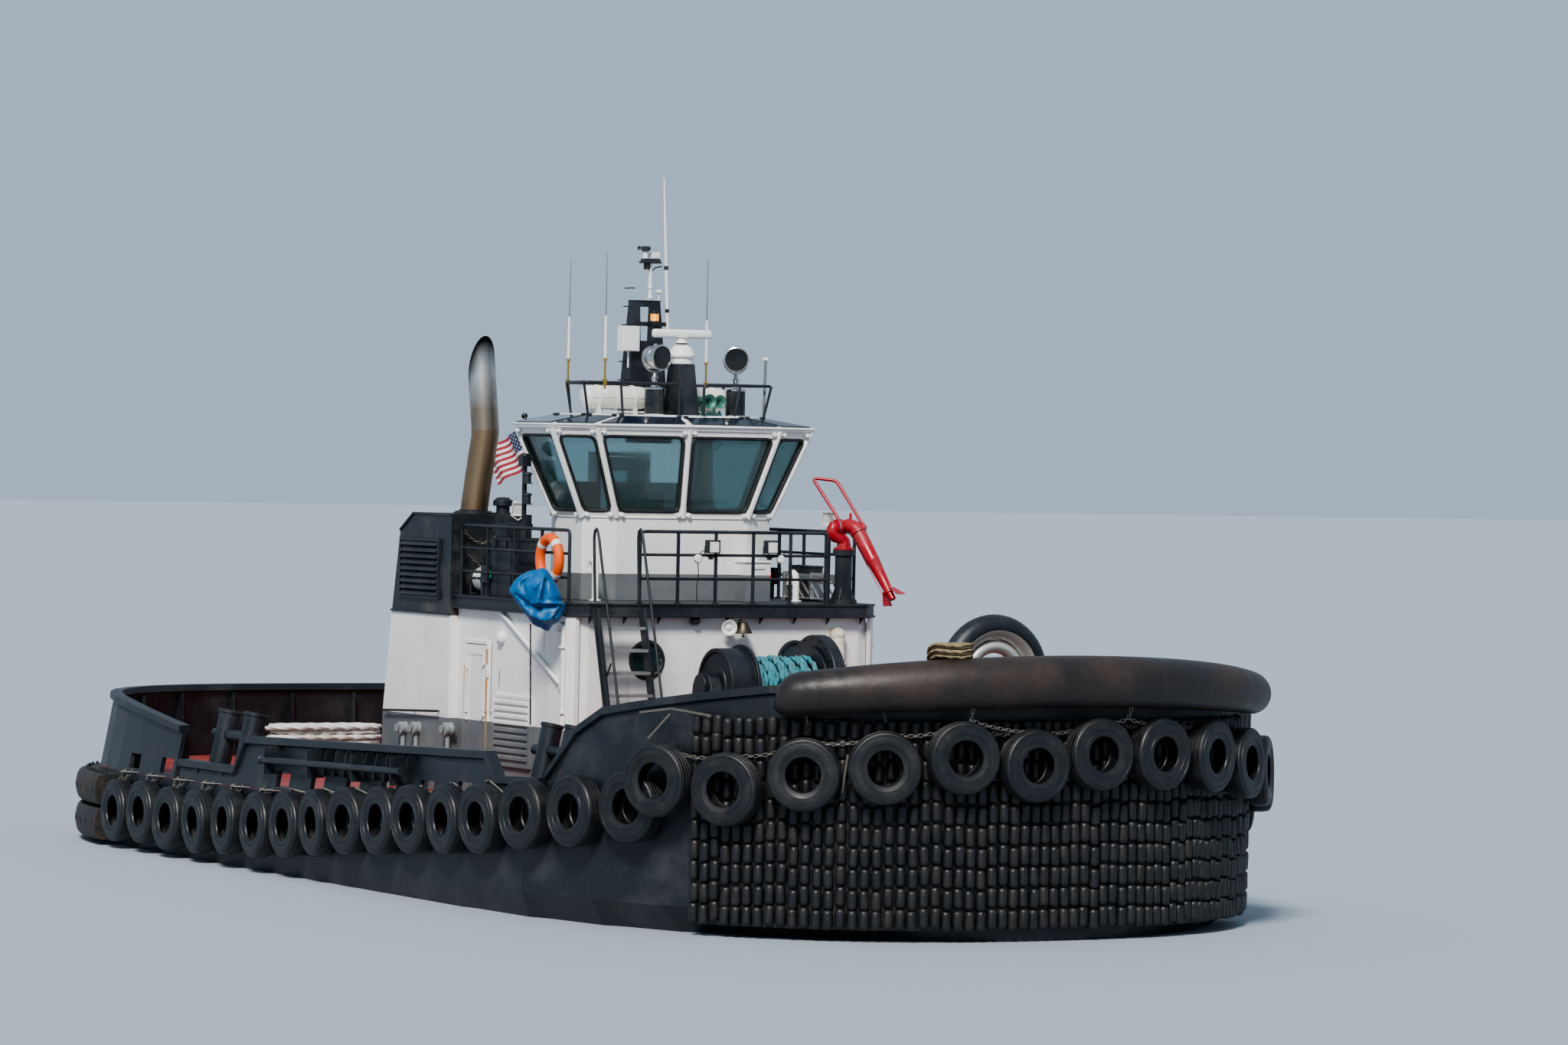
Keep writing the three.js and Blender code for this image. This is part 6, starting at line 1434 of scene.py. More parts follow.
# White floodlights: cast lamps in a bent bracket, one on a black post behind the front rail to port and one
# over the starboard locker. Each has a square flared hood and clear glass.
post_light = Form()
post_light.beam((1.9, 2.02, DECK_TOP), (1.9, 2.02, 5.135), 0.07, 0.07)
post_light.piece("lamp_post", black_paint, edge=0.004)
for name, place, tilt in (("port_floodlight", Vector((1.93, 2.0, 5.31)), 0.35),
                          ("starboard_floodlight", Vector((-0.35, -1.9, 5.36)), 0.2)):
    lamp, glass_face = Form(), Form()
    aimed = Vector((cos(tilt), -sin(tilt), -0.35)).normalized()
    lamp.turned([(0.05, -0.14), (0.085, -0.12), (0.13, 0.0), (0.145, 0.02), (0.145, 0.035), (0.13, 0.035),
                 (0.12, 0.015), (0.06, -0.03)], place, axis=aimed, sides=4)
    lamp.turned([(0.03, -0.2), (0.05, -0.18), (0.05, -0.12)], place, axis=aimed, sides=16)
    lamp.tube([place + Vector((0, 0.11, 0)), place + Vector((0, 0.11, -0.1)), place + Vector((0, 0, -0.17)),
               place + Vector((0, -0.11, -0.1)), place + Vector((0, -0.11, 0))], 0.009, 8)
    glass_face.turned([(0.125, 0.012), (0.125, 0.02)], place, axis=aimed, sides=4)
    lamp.piece(name, white_paint)
    glass_face.piece(f"{name}_glass", lamp_face)

# Wheelhouse base: a white steel coaming with a grey foot.
# It has a small locker lid on its front, and a swan-necked vent pipe stands before each front corner.
base_paint = finish("wheelhouse_base_paint", GREY_PAINT, 0.4, dirt=(GRIME, 0.2),
                    runs=(RUST, 0.3), scale=0.8, bands=((4.46, WHITE_PAINT),))
dress("wheelhouse_base", base_paint)
base_trim = Form()
base_trim.block((1.07, 0.88, 4.64), (1.52, 1.32, 4.665))
base_trim.block((1.5, 1.0, 4.55), (1.515, 1.2, 4.6))
for y, top_z in ((-1.62, 4.66), (1.66, 4.5)):
    goose = [(1.62, y, 4.08), (1.62, y, top_z - 0.1), (1.6, y, top_z - 0.03), (1.54, y, top_z),
             (1.48, y, top_z - 0.03), (1.46, y, top_z - 0.1), (1.46, y, top_z - 0.18)]
    base_trim.tube(goose, 0.05, 18)
    base_trim.turned([(0.09, 0), (0.09, 0.02), (0.055, 0.025)], (1.62, y, 4.08), sides=20)
    base_trim.turned([(0.05, -0.02), (0.062, -0.018), (0.062, 0.018), (0.05, 0.02)], (1.46, y, top_z - 0.16),
                     sides=20)
base_trim.piece("wheelhouse_base_fittings", white_paint, edge=0.004)

# Wheelhouse frame: slim white posts that lean outwards, with round cast clamps at the sill and the eave.
# A gutter runs round the eave and a rolled edge round the sill.
dress("wheelhouse_frame", white_paint)
SILL_Z, EAVE_Z = 5.26, 6.56
SILL = [(1.18, 1.07), (1.0, 1.54), (0.15, 1.54), (-0.75, 1.15)]
EAVE = [(1.35, 1.5), (1.15, 2.13), (0.0, 2.13), (-0.95, 1.4)]
ROOF = [(1.08, 1.0), (0.9, 1.43), (-0.05, 1.43), (-0.65, 1.05)]


def round_plan(half):
    """The plan's corners from the starboard aft one round the bow side to the port aft one."""
    middle = (half[0][0], 0.0)
    return [(x, -y) for x, y in reversed(half)] + [middle] + list(half)


sill_line = [Vector((x, y, SILL_Z)) for x, y in round_plan(SILL)]
eave_line = [Vector((x, y, EAVE_Z)) for x, y in round_plan(EAVE)]
window_posts = Form()
for i, (low, high) in enumerate(zip(sill_line, eave_line)):
    if i in (0, 8):
        continue
    window_posts.tube([low.lerp(high, 0.01), low.lerp(high, 0.99)], 0.044, 14)
    for end, level in ((low.lerp(high, 0.035), sill_line), (low.lerp(high, 0.955), eave_line)):
        for j in (i - 1, i + 1):
            toward = (level[j] - level[i]).normalized()
            out = Vector((toward.y, -toward.x, 0)) * (1 if j > i else -1)
            knob = end + toward * 0.085 + out * 0.02
            window_posts.turned([(0.0, -0.02), (0.026, -0.015), (0.036, 0.01), (0.03, 0.035),
                                 (0.014, 0.045)], knob, axis=out, sides=14)
            window_posts.tube([end, knob], 0.02, 10)
for line, lift, thick in ((sill_line, 0.012, 0.018), (eave_line, -0.01, 0.022)):
    window_posts.tube([p + up * lift for p in line], thick, 10)
gutter = [Vector((x * 1.03, y * 1.02, 6.60)) for x, y in round_plan(EAVE)]
window_posts.tube(gutter + [gutter[0]], 0.016, 8)
window_posts.piece("wheelhouse_posts", white_paint)

# Wheelhouse windows: tinted safety glass in thin black rubber gaskets with round corners.
# Two wide panes face ahead and the corner panes narrow towards the sill.
window_glass = finish("tinted_glass", (0.30, 0.46, 0.47), 0.04, dirt=((0.45, 0.46, 0.45), 0.10),
                      relief=0.01)
shader_of(window_glass).inputs["Transmission Weight"].default_value = 0.92
gasket_rubber = finish("gasket_rubber", (0.010, 0.010, 0.011), 0.5, dirt=((0.05, 0.05, 0.05), 0.4),
                       scale=4)


def window_corners(i, j, post, floor=0.09):
    """The opening between two posts, drawn in by the post's width."""
    low, high = floor / (EAVE_Z - SILL_Z), 1 - 0.11 / (EAVE_Z - SILL_Z)
    quad = []
    for a, b, share in ((i, j, low), (j, i, low), (j, i, high), (i, j, high)):
        here, there = sill_line[a].lerp(eave_line[a], share), sill_line[b].lerp(eave_line[b], share)
        quad.append(here.lerp(there, post / (there - here).length))
    return quad


def rounded_ring(quad, radius, sunk):
    """The opening's edge with round corners, pushed in from the wall's face."""
    normal = (quad[1] - quad[0]).cross(quad[3] - quad[0]).normalized()
    ring = []
    for k, corner in enumerate(quad):
        a = (quad[k - 1] - corner).normalized() * radius
        b = (quad[(k + 1) % 4] - corner).normalized() * radius
        ring += [corner + a * (1 - t) ** 2 + b * t ** 2 - normal * sunk for t in (0, 0.2, 0.4, 0.6, 0.8, 1)]
    return ring, normal


gaskets, panes = Form(), Form()
for i in range(8):
    quad = window_corners(i, i + 1, 0.06)
    centre = sum(quad, Vector()) / 4
    inner = [p + (centre - p).normalized() * 0.018 for p in quad]
    gaskets.tube(rounded_ring(inner, 0.11, 0.006)[0], 0.026, 10, closed=True)
    gaskets.tube(rounded_ring(inner, 0.11, 0.05)[0], 0.020, 8, closed=True)
    face, normal = rounded_ring(quad, 0.10, 0.035)
    panes.loft([face, [p - normal * 0.008 for p in face]])
gaskets.piece("window_gaskets", gasket_rubber)
panes.piece("window_panes", window_glass, replaces=["wheelhouse_glass"])

# Wheelhouse inside: a dark console with screens, a compass and levers, a helm chair and a small fan overhead.
# All of it is black laminate that shows dimly through the tinted panes.
interior_paint = finish("console_laminate", (0.028, 0.028, 0.03), 0.45,
                        dirt=((0.09, 0.09, 0.085), 0.3), scale=3)
dress("wheelhouse_interior", interior_paint)
screen_glass = finish("screen_glass", (0.02, 0.05, 0.07), 0.12, dirt=((0.1, 0.12, 0.13), 0.3),
                      relief=0.02)
console, screens = Form(), Form()
for y in (-0.32, 0.32):
    console.block((0.745, y - 0.215, 5.33), (0.76, y + 0.215, 5.65))
    screens.block((0.736, y - 0.19, 5.37), (0.746, y + 0.19, 5.62))
    console.tube([(0.62, y, 5.28), (0.60, y, 5.46)], 0.012, 8)
    console.turned([(0, -0.03), (0.028, -0.015), (0.028, 0.015), (0, 0.03)], (0.60, y, 5.48), sides=14)
console.turned([(0.07, 0), (0.075, 0.05), (0.06, 0.10), (0.03, 0.125), (0, 0.13)], (0.86, 0.65, 5.35),
               sides=24)
for y in (-0.25, 0.25):
    console.tube([(-0.12, y, 5.15), (0.12, y, 5.17)], 0.03, 10)
console.block((0.30, -0.5, 6.35), (0.62, 0.1, 6.5))
for k in range(5):
    turn = pi * k / 5
    hoop = [Vector((0.95 + 0.02 * cos(2 * pi * i / 16), 0.62 + 0.11 * cos(turn) * cos(2 * pi * i / 16),
                    6.38 + 0.11 * sin(2 * pi * i / 16))) for i in range(16)]
    console.tube(hoop, 0.004, 5, closed=True)
console.tube([(0.95, 0.62, 6.5), (0.95, 0.62, 6.38)], 0.012, 8)
console.piece("console_fittings", interior_paint, edge=0.004)
screens.piece("console_screens", screen_glass)

# Wheelhouse door: a white steel door that faces aft, with a window in a black rubber gasket.
# The door itself is the solid; the gasket and the glass are set in its face.
dress("wheelhouse_door", white_paint)
door_frame, door_pane = Form(), Form()
DOOR_LIGHT = ((0.24, 5.30), (-0.24, 5.30), (-0.24, 5.95), (0.24, 5.95))
door_ring = rounded_ring([Vector((-1.012, y, z)) for y, z in DOOR_LIGHT], 0.06, 0.0)[0]
door_frame.tube(door_ring, 0.02, 10, closed=True)
door_pane.loft([door_ring, [p + Vector((0.008, 0, 0)) for p in door_ring]])
door_frame.piece("wheelhouse_door_gasket", gasket_rubber, body="wheelhouse_door")
door_pane.piece("wheelhouse_door_pane", window_glass, body="wheelhouse_door")

# Wheelhouse roof: a flat white top with dark glossy panels on its slopes, between white ridge strips.
# Each panel is held by two small black latches at its upper edge.
roof_paint = finish("roof_paint", WHITE_PAINT, 0.38, dirt=(GRIME, 0.25), runs=(RUST, 0.3),
                    scale=0.8, bands=((6.775, BLACK_PAINT),))
dress("wheelhouse_roof", roof_paint)
panel_glass = finish("dark_roof_panel", (0.012, 0.019, 0.032), 0.05,
                     dirt=((0.12, 0.13, 0.14), 0.15), relief=0.02)
low_line = [Vector((x + 0.028 * (1 if x > 0 else -1), y + 0.04 * (0 if y == 0 else copysign(1, y)), 6.61))
            for x, y in round_plan(EAVE)]
high_line = [Vector((x, y, 6.735)) for x, y in round_plan(ROOF)]
roof_panels, latches = Form(), Form()
for i in range(9):
    j = (i + 1) % 9
    quad = [low_line[i], low_line[j], high_line[j], high_line[i]]
    normal = (quad[1] - quad[0]).cross(quad[3] - quad[0]).normalized()
    centre = sum(quad, Vector()) / 4
    inset = []
    for k, corner in enumerate(quad):
        to_side = (quad[k ^ 1] - corner).normalized()
        to_height = (quad[3 - k] - corner).normalized()
        inset.append(corner + to_side * 0.055 + to_height * 0.045 + normal * 0.004)
    roof_panels.loft([inset, [p + normal * 0.014 for p in inset]])
    for k in (2, 3):
        latches.block(tuple(inset[k] - Vector((0.03, 0.03, 0.0))),
                      tuple(inset[k] + Vector((0.03, 0.03, 0.035))))
roof_panels.piece("roof_panels", panel_glass)
latches.piece("roof_latches", black_paint, edge=0.004)

# Roof rail: two runs of round black bar, open ahead of the radar, on posts that step on the roof's slope.
# A bar joins them aft, and small round feet spread the load on the panels.
ROOF_TOP, ROOF_RAIL = 6.765, 7.215
RAIL_BEND = [(-0.6, 1.0), (-0.05, 1.3), (0.98, 1.54), (1.06, 0.98)]
roof_bars = Form()
starboard_run = [(x, -y) for x, y in RAIL_BEND] + [(1.06, -0.02)]
port_run = RAIL_BEND + [(1.06, 0.38)]
for run in (starboard_run, port_run):
    line = [(x, y, ROOF_RAIL) for x, y in run]
    roof_bars.tube(rounded(line + [(*run[-1], ROOF_TOP)], 0.08), 0.022, 10)
    for x, y in run[:-1]:
        foot = (x * (0.95 if x > 0 else 1.02), y * 0.93, 6.70)
        roof_bars.tube([foot, (x, y, ROOF_RAIL)], 0.019, 10)
        roof_bars.turned([(0.045, -0.01), (0.045, 0.012), (0.024, 0.016)], foot, sides=14)
    roof_bars.turned([(0.045, 0), (0.045, 0.012), (0.024, 0.016)], (*run[-1], ROOF_TOP), sides=14)
roof_bars.tube([(-0.6, -1.0, ROOF_RAIL), (-0.6, 1.0, ROOF_RAIL)], 0.022, 10)
roof_bars.piece("roof_rail_bars", black_paint, replaces=["roof_rail"])

# Aerials: three whips with a gilt lower length, a white loading length and a thin grey tip,
# a tall white one beside the mast, and a short steel one with a white cap on the port side.
gilt = finish("gilt_brass", (0.42, 0.28, 0.07), 0.38, metallic=0.8,
              dirt=((0.2, 0.15, 0.06), 0.5), scale=5)
whip_grey = finish("whip_grey", (0.13, 0.14, 0.15), 0.5, scale=6)
AERIALS = ((-0.5, -1.054, 0.014, 9.0), (-0.33, 1.147, 0.0, 9.09), (1.025, -1.225, 0.0, 9.07))
whips = Form()
for x, y, lean, tip in AERIALS:
    places = [Vector((x + lean * (z - 7.0), y, z)) for z in (7.12, 7.55, 7.56, 8.13, 8.14, tip)]
    whips.turned([(0.03, 0), (0.034, 0.02), (0.034, 0.09), (0.02, 0.10)], (x, y, 7.17), sides=16, paint=0)
    whips.tube(places[:2], 0.015, 10, paint=0)
    whips.turned([(0.016, -0.02), (0.026, -0.015), (0.026, 0.02), (0.022, 0.025)], places[1], sides=14,
                 paint=0)
    whips.tube(places[2:4], [0.024, 0.02], 12, paint=1)
    whips.turned([(0.02, 0), (0.022, 0.01), (0.012, 0.05)], places[3], sides=12, paint=1)
    whips.tube(places[4:], [0.009, 0.005], 8, paint=2)
whips.tube([(0.72, 1.56, 6.78), (0.70, 1.59, 7.60)], 0.02, 12, paint=2)
whips.turned([(0.02, -0.02), (0.045, 0), (0.045, 0.035), (0.02, 0.045)], (0.70, 1.59, 7.60), sides=18,
             paint=1)
whips.piece("aerials", [gilt, white_paint, whip_grey])

# Mast: a tapered black trunk with a slot through its upper half, with steel plates and lamps on it.
# An amber lamp, a grey box, the wind gauge and the tall white antenna are bolted to it.
dress("mast", black_paint)
MAST_X, AMBER_PLACE = -0.14, (0.0, 0.1, 8.095)
amber = finish("amber_glass", (0.85, 0.33, 0.03), 0.12, dirt=((0.5, 0.25, 0.08), 0.2), relief=0.02)
shader_of(amber).inputs["Emission Color"].default_value = (1.0, 0.42, 0.08, 1)
shader_of(amber).inputs["Emission Strength"].default_value = 0.9
mast_lamp = Form()
mast_lamp.turned([(0.058, 0), (0.064, 0.012), (0.064, 0.045), (0.06, 0.05), (0.06, 0.145), (0.066, 0.15),
                  (0.066, 0.175), (0.03, 0.195)], AMBER_PLACE, sides=28)
mast_lamp.piece("mast_lamp", amber)
mast_black = Form()
for low, high in ((0.0, 0.048), (0.15, 0.2)):
    mast_black.turned([(0.05, low), (0.07, low + 0.003), (0.07, high), (0.05, high + 0.004)], AMBER_PLACE,
                      sides=28)
for k in range(6):
    turn = pi * k / 3
    x, y = 0.069 * cos(turn), 0.1 + 0.069 * sin(turn)
    mast_black.tube([(x, y, 8.14), (x, y, 8.25)], 0.003, 6)
mast_black.block((-0.24, -0.225, 8.43), (-0.04, 0.225, 8.445))
for k in range(7):
    z = 7.0 + k * 0.27
    half = 0.33 - 0.115 * (z - ROOF_TOP) / 1.665 + 0.012
    rung = [(MAST_X + x, -half - y, z) for x, y in ((-0.1, 0), (-0.1, 0.06), (0.1, 0.06), (0.1, 0))]
    mast_black.tube(rung, 0.009, 8)
mast_black.block((MAST_X - 0.08, -0.06, 8.99), (MAST_X + 0.08, 0.23, 9.02))
mast_black.turned([(0.05, 0), (0.05, 0.08), (0.03, 0.1)], (MAST_X, 0.03, 8.9), sides=14)
mast_black.tube([(MAST_X, 0.09, 8.86), (MAST_X + 0.02, 0.16, 8.93), (MAST_X + 0.02, 0.27, 8.95)], 0.01, 8)
CUP_HUB = Vector((MAST_X, 0.0, 9.21))
for k in range(3):
    turn = 2 * pi * k / 3 + 0.2
    arm = Vector((cos(turn), sin(turn), 0))
    side_way = Vector((-sin(turn), cos(turn), 0))
    mast_black.tube([CUP_HUB, CUP_HUB + arm * 0.08], 0.005, 6)
    mast_black.turned([(0, -0.03), (0.02, -0.024), (0.03, -0.005), (0.031, 0.004), (0.024, 0.0), (0, -0.012)],
                      CUP_HUB + arm * 0.09, axis=side_way, sides=14)
mast_black.piece("mast_fittings", black_paint, edge=0.002)
mast_light = Form()
mast_light.block((-0.075, -0.47, 7.69), (0.10, -0.19, 8.06))
mast_light.block((0.10, -0.455, 7.70), (0.112, -0.205, 8.05))
mast_light.tube([(0.01, -0.33, 7.69), (0.01, -0.33, 7.45)], 0.014, 8)
mast_light.tube([(MAST_X, 0.09, 8.44), (MAST_X, 0.09, 9.0)], [0.03, 0.024], 14)
for z in (8.46, 8.62):
    mast_light.turned([(0.03, 0), (0.042, 0.005), (0.042, 0.045), (0.03, 0.05)], (MAST_X, 0.09, z), sides=16)
mast_light.tube([(MAST_X, 0.24, 8.44), (MAST_X, 0.24, 8.56)], 0.014, 10)
mast_light.turned([(0.02, 0), (0.045, 0.01), (0.045, 0.04), (0.03, 0.055)], (MAST_X, 0.24, 8.55), sides=16)
mast_light.turned([(0.04, 0), (0.03, 0.12), (0.018, 0.13)], (MAST_X, 0.0, 9.06), sides=16)
mast_light.block((MAST_X - 0.055, 0.075, 9.06), (MAST_X + 0.055, 0.215, 9.15))
mast_light.block((MAST_X + 0.056, 0.1, 9.075), (MAST_X + 0.064, 0.2, 9.135))
TALL = [Vector((MAST_X + 0.09, 0.345 - 0.105 * (z - 8.0) / 2.25, z)) for z in (7.99, 8.3, 8.93, 10.25)]
mast_light.tube(TALL, [0.026, 0.025, 0.023, 0.012], 14)
mast_light.piece("mast_boxes", white_paint, edge=0.003)
collar = Form()
for place, size in ((TALL[2], 0.034), (TALL[1], 0.03)):
    collar.turned([(0.024, -0.03), (size, -0.02), (size, 0.02), (0.024, 0.03)], place, sides=16)
collar.beam((MAST_X + 0.05, 0.2, 8.1), (MAST_X + 0.09, 0.345, 8.1), 0.04, 0.04)
collar.piece("antenna_collars", black_paint)

# Radar: a white moulded gearbox on the black pedestal and a long white scanner bar with round ends.
# The gearbox is bolted down, and the bar turns above it on a stepped collar.
radar_white = finish("radar_gel_coat", (0.78, 0.78, 0.76), 0.28,
                     dirt=((0.48, 0.46, 0.42), 0.25), scale=1.6, relief=0.05)
RADAR = Vector((0.68, 0.2, 0))
radar_box = Form()
radar_box.turned([(0.15, 7.505), (0.172, 7.515), (0.176, 7.55), (0.168, 7.57), (0.172, 7.60), (0.20, 7.615),
                  (0.205, 7.64), (0.19, 7.66), (0.175, 7.70), (0.14, 7.76), (0.122, 7.775), (0.122, 7.795),
                  (0.105, 7.8)], RADAR, sides=40)
radar_box.piece("radar_gearbox", radar_white)
scanner = Form()
scanner.turned([(0.05, 7.8015), (0.075, 7.806), (0.095, 7.82), (0.08, 7.85), (0.08, 7.885), (0.1, 7.9)],
               RADAR, sides=32)
bar_rings = []
for y, size in ((-0.28, 0.3), (-0.276, 0.75), (-0.262, 0.95), (-0.24, 1), (0.64, 1), (0.662, 0.95),
                (0.676, 0.75), (0.68, 0.3)):
    bar_rings.append([(RADAR.x + 0.052 * size * (abs(cos(t)) ** 0.7) * (1 if cos(t) > 0 else -1), y,
                       7.953 + 0.064 * size * (abs(sin(t)) ** 0.7) * (1 if sin(t) > 0 else -1))
                      for t in (2 * pi * (k + 0.5) / 24 for k in range(24))])
scanner.loft(bar_rings)
scanner.block((0.66, -0.02, 7.885), (0.70, 0.42, 7.9))
scanner.piece("scanner_bar", radar_white, body="radar_scanner", replaces=["radar_scanner"])

# Searchlights: chromed drums with a black glass face, hung in a round chromed yoke on a turned foot.
# The yoke turns with its drum, and the foot stays on the roof.
lamp_metal = finish("lamp_chrome", (0.62, 0.62, 0.62), 0.16, metallic=1.0,
                    dirt=((0.30, 0.28, 0.25), 0.5), scale=3, relief=0.05)
lamp_glass = finish("searchlight_glass", (0.008, 0.009, 0.01), 0.04, dirt=((0.1, 0.1, 0.1), 0.15),
                    relief=0.02)
LAMP_Z = ROOF_TOP + 0.83
for name, x, y, heading in (("stbd", 0.7, -0.24, (0.97, 0.24, 0)), ("port", 0.7, 1.095, (0.89, -0.46, 0))):
    body, centre, aimed = f"searchlight_{name}", Vector((x, y, LAMP_Z)), Vector(heading).normalized()
    drum = Form()
    drum.turned([(0.04, -0.165), (0.10, -0.16), (0.15, -0.135), (0.168, -0.10), (0.172, -0.095),
                 (0.172, -0.075), (0.168, -0.07), (0.168, 0.01), (0.173, 0.015), (0.173, 0.035),
                 (0.168, 0.04), (0.168, 0.095), (0.184, 0.105), (0.188, 0.12), (0.184, 0.15), (0.172, 0.155),
                 (0.164, 0.148), (0.164, 0.13)], centre, axis=aimed, sides=48)
    drum.bolts([(0.012, -0.012), (0.012, 0.012)], centre + aimed * 0.125, 0.184, 8, axis=aimed,
               across=(-aimed.y, aimed.x, 0), lift=up, sides=8)
    drum.turned([(0.03, 0), (0.03, 0.03), (0.018, 0.04)], centre + up * 0.165, sides=12)
    yoke = [(x, y + 0.207 * cos(t), LAMP_Z + 0.207 * sin(t)) for t in (pi * (1 + k / 16) for k in range(17))]
    drum.tube(yoke, 0.013, 10)
    for near, far in ((-0.215, -0.16), (0.16, 0.215)):
        drum.tube([(x, y + near, LAMP_Z), (x, y + far, LAMP_Z)], 0.022, 14)
    drum.turned([(0.055, 0.5215), (0.058, 0.535), (0.04, 0.56), (0.03, 0.6), (0.02, 0.63)], (x, y, ROOF_TOP),
                sides=28)
    drum.piece(f"searchlight_{name}_drum", lamp_metal, body=body, replaces=[f"searchlight_lamp_{name}"])
    face = Form().turned([(0.164, 0.128), (0.163, 0.136), (0.10, 0.145), (0, 0.148)], centre, axis=aimed,
                         sides=40)
    face.piece(f"searchlight_{name}_glass", lamp_glass, body=body)
    foot = Form()
    foot.turned([(0.150, 0.37), (0.152, 0.385), (0.150, 0.396), (0.09, 0.40), (0.06, 0.42), (0.042, 0.46),
                 (0.042, 0.5), (0.05, 0.515)], (x, y, ROOF_TOP), sides=28)
    foot.piece(f"searchlight_{name}_foot", lamp_metal)

# Roof raft canisters: two white moulded shells with round ends, closed along a seam and held by pale straps.
# They lie athwart in slanted chocks on a common bar, on the port and the starboard side of the roof.
canister_shell = finish("canister_gel_coat", (0.70, 0.69, 0.65), 0.35,
                        dirt=((0.40, 0.37, 0.31), 0.4), runs=(RUST, 0.15), scale=1.6)


def canister(shells, straps, centre, half, radius, axis=(0, 1, 0)):
    """A round-ended shell about an axis, with its seam, three ribs and two straps."""
    profile = [(0.0, -half), (radius * 0.6, -half + 0.004), (radius * 0.82, -half + 0.02),
               (radius * 0.95, -half + 0.06), (radius, -half + 0.12)]
    for share in (-0.35, 0.0, 0.35):
        at = share * 2 * half * 0.8
        profile += [(radius, at - 0.03), (radius + 0.008, at - 0.022), (radius + 0.008, at + 0.022),
                    (radius, at + 0.03)]
    profile += [(r, -h) for r, h in reversed(profile[:5])]
    shells.turned(profile, centre, axis=axis, sides=44)
    centre, along_axis = Vector(centre), Vector(axis)
    side = along_axis.cross(up)
    for share in (-0.55, 0.55):
        ring = [centre + along_axis * half * share + (side * cos(t) + up * sin(t)) * (radius + 0.006)
                for t in (2 * pi * k / 36 for k in range(36))]
        for offset in (-0.014, 0.0, 0.014):
            straps.tube([p + along_axis * offset for p in ring], 0.009, 6, closed=True)
    for way in (1, -1):
        seam = [centre + along_axis * half * s * way + side * (radius + 0.003) * way for s in (-0.84, 0.84)]
        straps.tube(seam, 0.007, 6)


roof_shells, roof_straps = Form(), Form()
for y in (-0.66, 0.66):
    canister(roof_shells, roof_straps, (0.22, y, ROOF_TOP + 0.24), 0.52, 0.17)
    for offset in (-0.3, 0.3):
        roof_straps.slab([(x, y + offset - 0.02, ROOF_TOP + z)
                          for x, z in ((0.07, 0.001), (0.37, 0.001), (0.35, 0.13), (0.09, 0.13))],
                          (0, 0.04, 0))
roof_straps.block((0.15, -0.9, ROOF_TOP + 0.02), (0.29, 0.9, ROOF_TOP + 0.05))
roof_shells.piece("roof_raft_shells", canister_shell, replaces=["raft_canister_roof"])
roof_straps.piece("roof_raft_straps", canister_shell)

# Horns: a pair of cast bronze trumpets gone green, on one air block beside the radar.
# A bent air pipe joins their chambers.
horn_metal = finish("green_horn_bronze", (0.10, 0.27, 0.21), 0.5, metallic=0.45,
                    dirt=((0.05, 0.13, 0.11), 0.7), scale=6)
horn_pair = Form()
for y, tip, mouth in ((0.56, 0.905, 0.11), (0.76, 0.865, 0.10)):
    length = tip - 0.60
    outside = [(0.028, 0), (0.03, length * 0.45), (0.04, length * 0.7), (0.062, length * 0.88),
               (mouth - 0.012, length * 0.97), (mouth, length)]
    inside = [(mouth - 0.006, length), (0.055, length * 0.9), (0.02, length * 0.62)]
    horn_pair.turned(outside + inside, (0.60, y, ROOF_TOP + 0.21), axis=(1, 0, 0), sides=36)
    horn_pair.turned([(0.035, -0.05), (0.075, -0.045), (0.078, 0.0), (0.07, 0.03), (0.03, 0.035)],
                     (0.60, y, ROOF_TOP + 0.21), axis=(1, 0, 0), sides=28)
    horn_pair.block((0.66, y - 0.02, ROOF_TOP + 0.05), (0.70, y + 0.02, ROOF_TOP + 0.2))
horn_pair.block((0.64, 0.47, ROOF_TOP + 0.001), (0.74, 0.85, ROOF_TOP + 0.05))
horn_pair.tube([(0.56, 0.56, ROOF_TOP + 0.2), (0.54, 0.66, ROOF_TOP + 0.12), (0.56, 0.76, ROOF_TOP + 0.2)],
               0.014, 8)
horn_pair.piece("horn_pair", horn_metal, replaces=["horns"], edge=0.002)

# Fire monitor: a red cast water gun on a black steel standpipe, with swivel joints packed by bright rings.
# A tubular handle loops back over it, and its nozzle carries a hinged deflector worked by a thin rod.
red_paint = finish("red_gloss_paint", (0.36, 0.008, 0.018), 0.28, dirt=((0.25, 0.2, 0.17), 0.2),
                   scale=2)
dress("monitor_pedestal", black_paint)
GUN, TILT_Z = Vector((2.33, 2.05, 0)), 5.19
pedestal_bolts = Form()
for radius, z, count in ((0.175, 4.14, 8), (0.14, 4.78, 12)):
    pedestal_bolts.bolts([(0.014, 0), (0.014, 0.014)], GUN + up * z, radius, count)
for k in range(4):
    turn = pi * (2 * k + 1) / 4
    way = Vector((cos(turn), sin(turn), 0))
    side = Vector((-way.y, way.x, 0)) * 0.006
    foot = GUN + up * 4.14
    pedestal_bolts.slab([foot + way * 0.12 - side, foot + way * 0.19 - side,
                         foot + way * 0.125 + up * 0.16 - side], side * 2)
pedestal_bolts.turned([(0.125, 4.76), (0.13, 4.765), (0.13, 4.775), (0.125, 4.78)], GUN, sides=36)
pedestal_bolts.piece("monitor_bolts", black_paint)
swivel = Form()
swivel.turned([(0.06, 4.8545), (0.145, 4.8545), (0.15, 4.862), (0.15, 4.885), (0.14, 4.89), (0.105, 4.895),
               (0.10, 4.95)], GUN, sides=36)
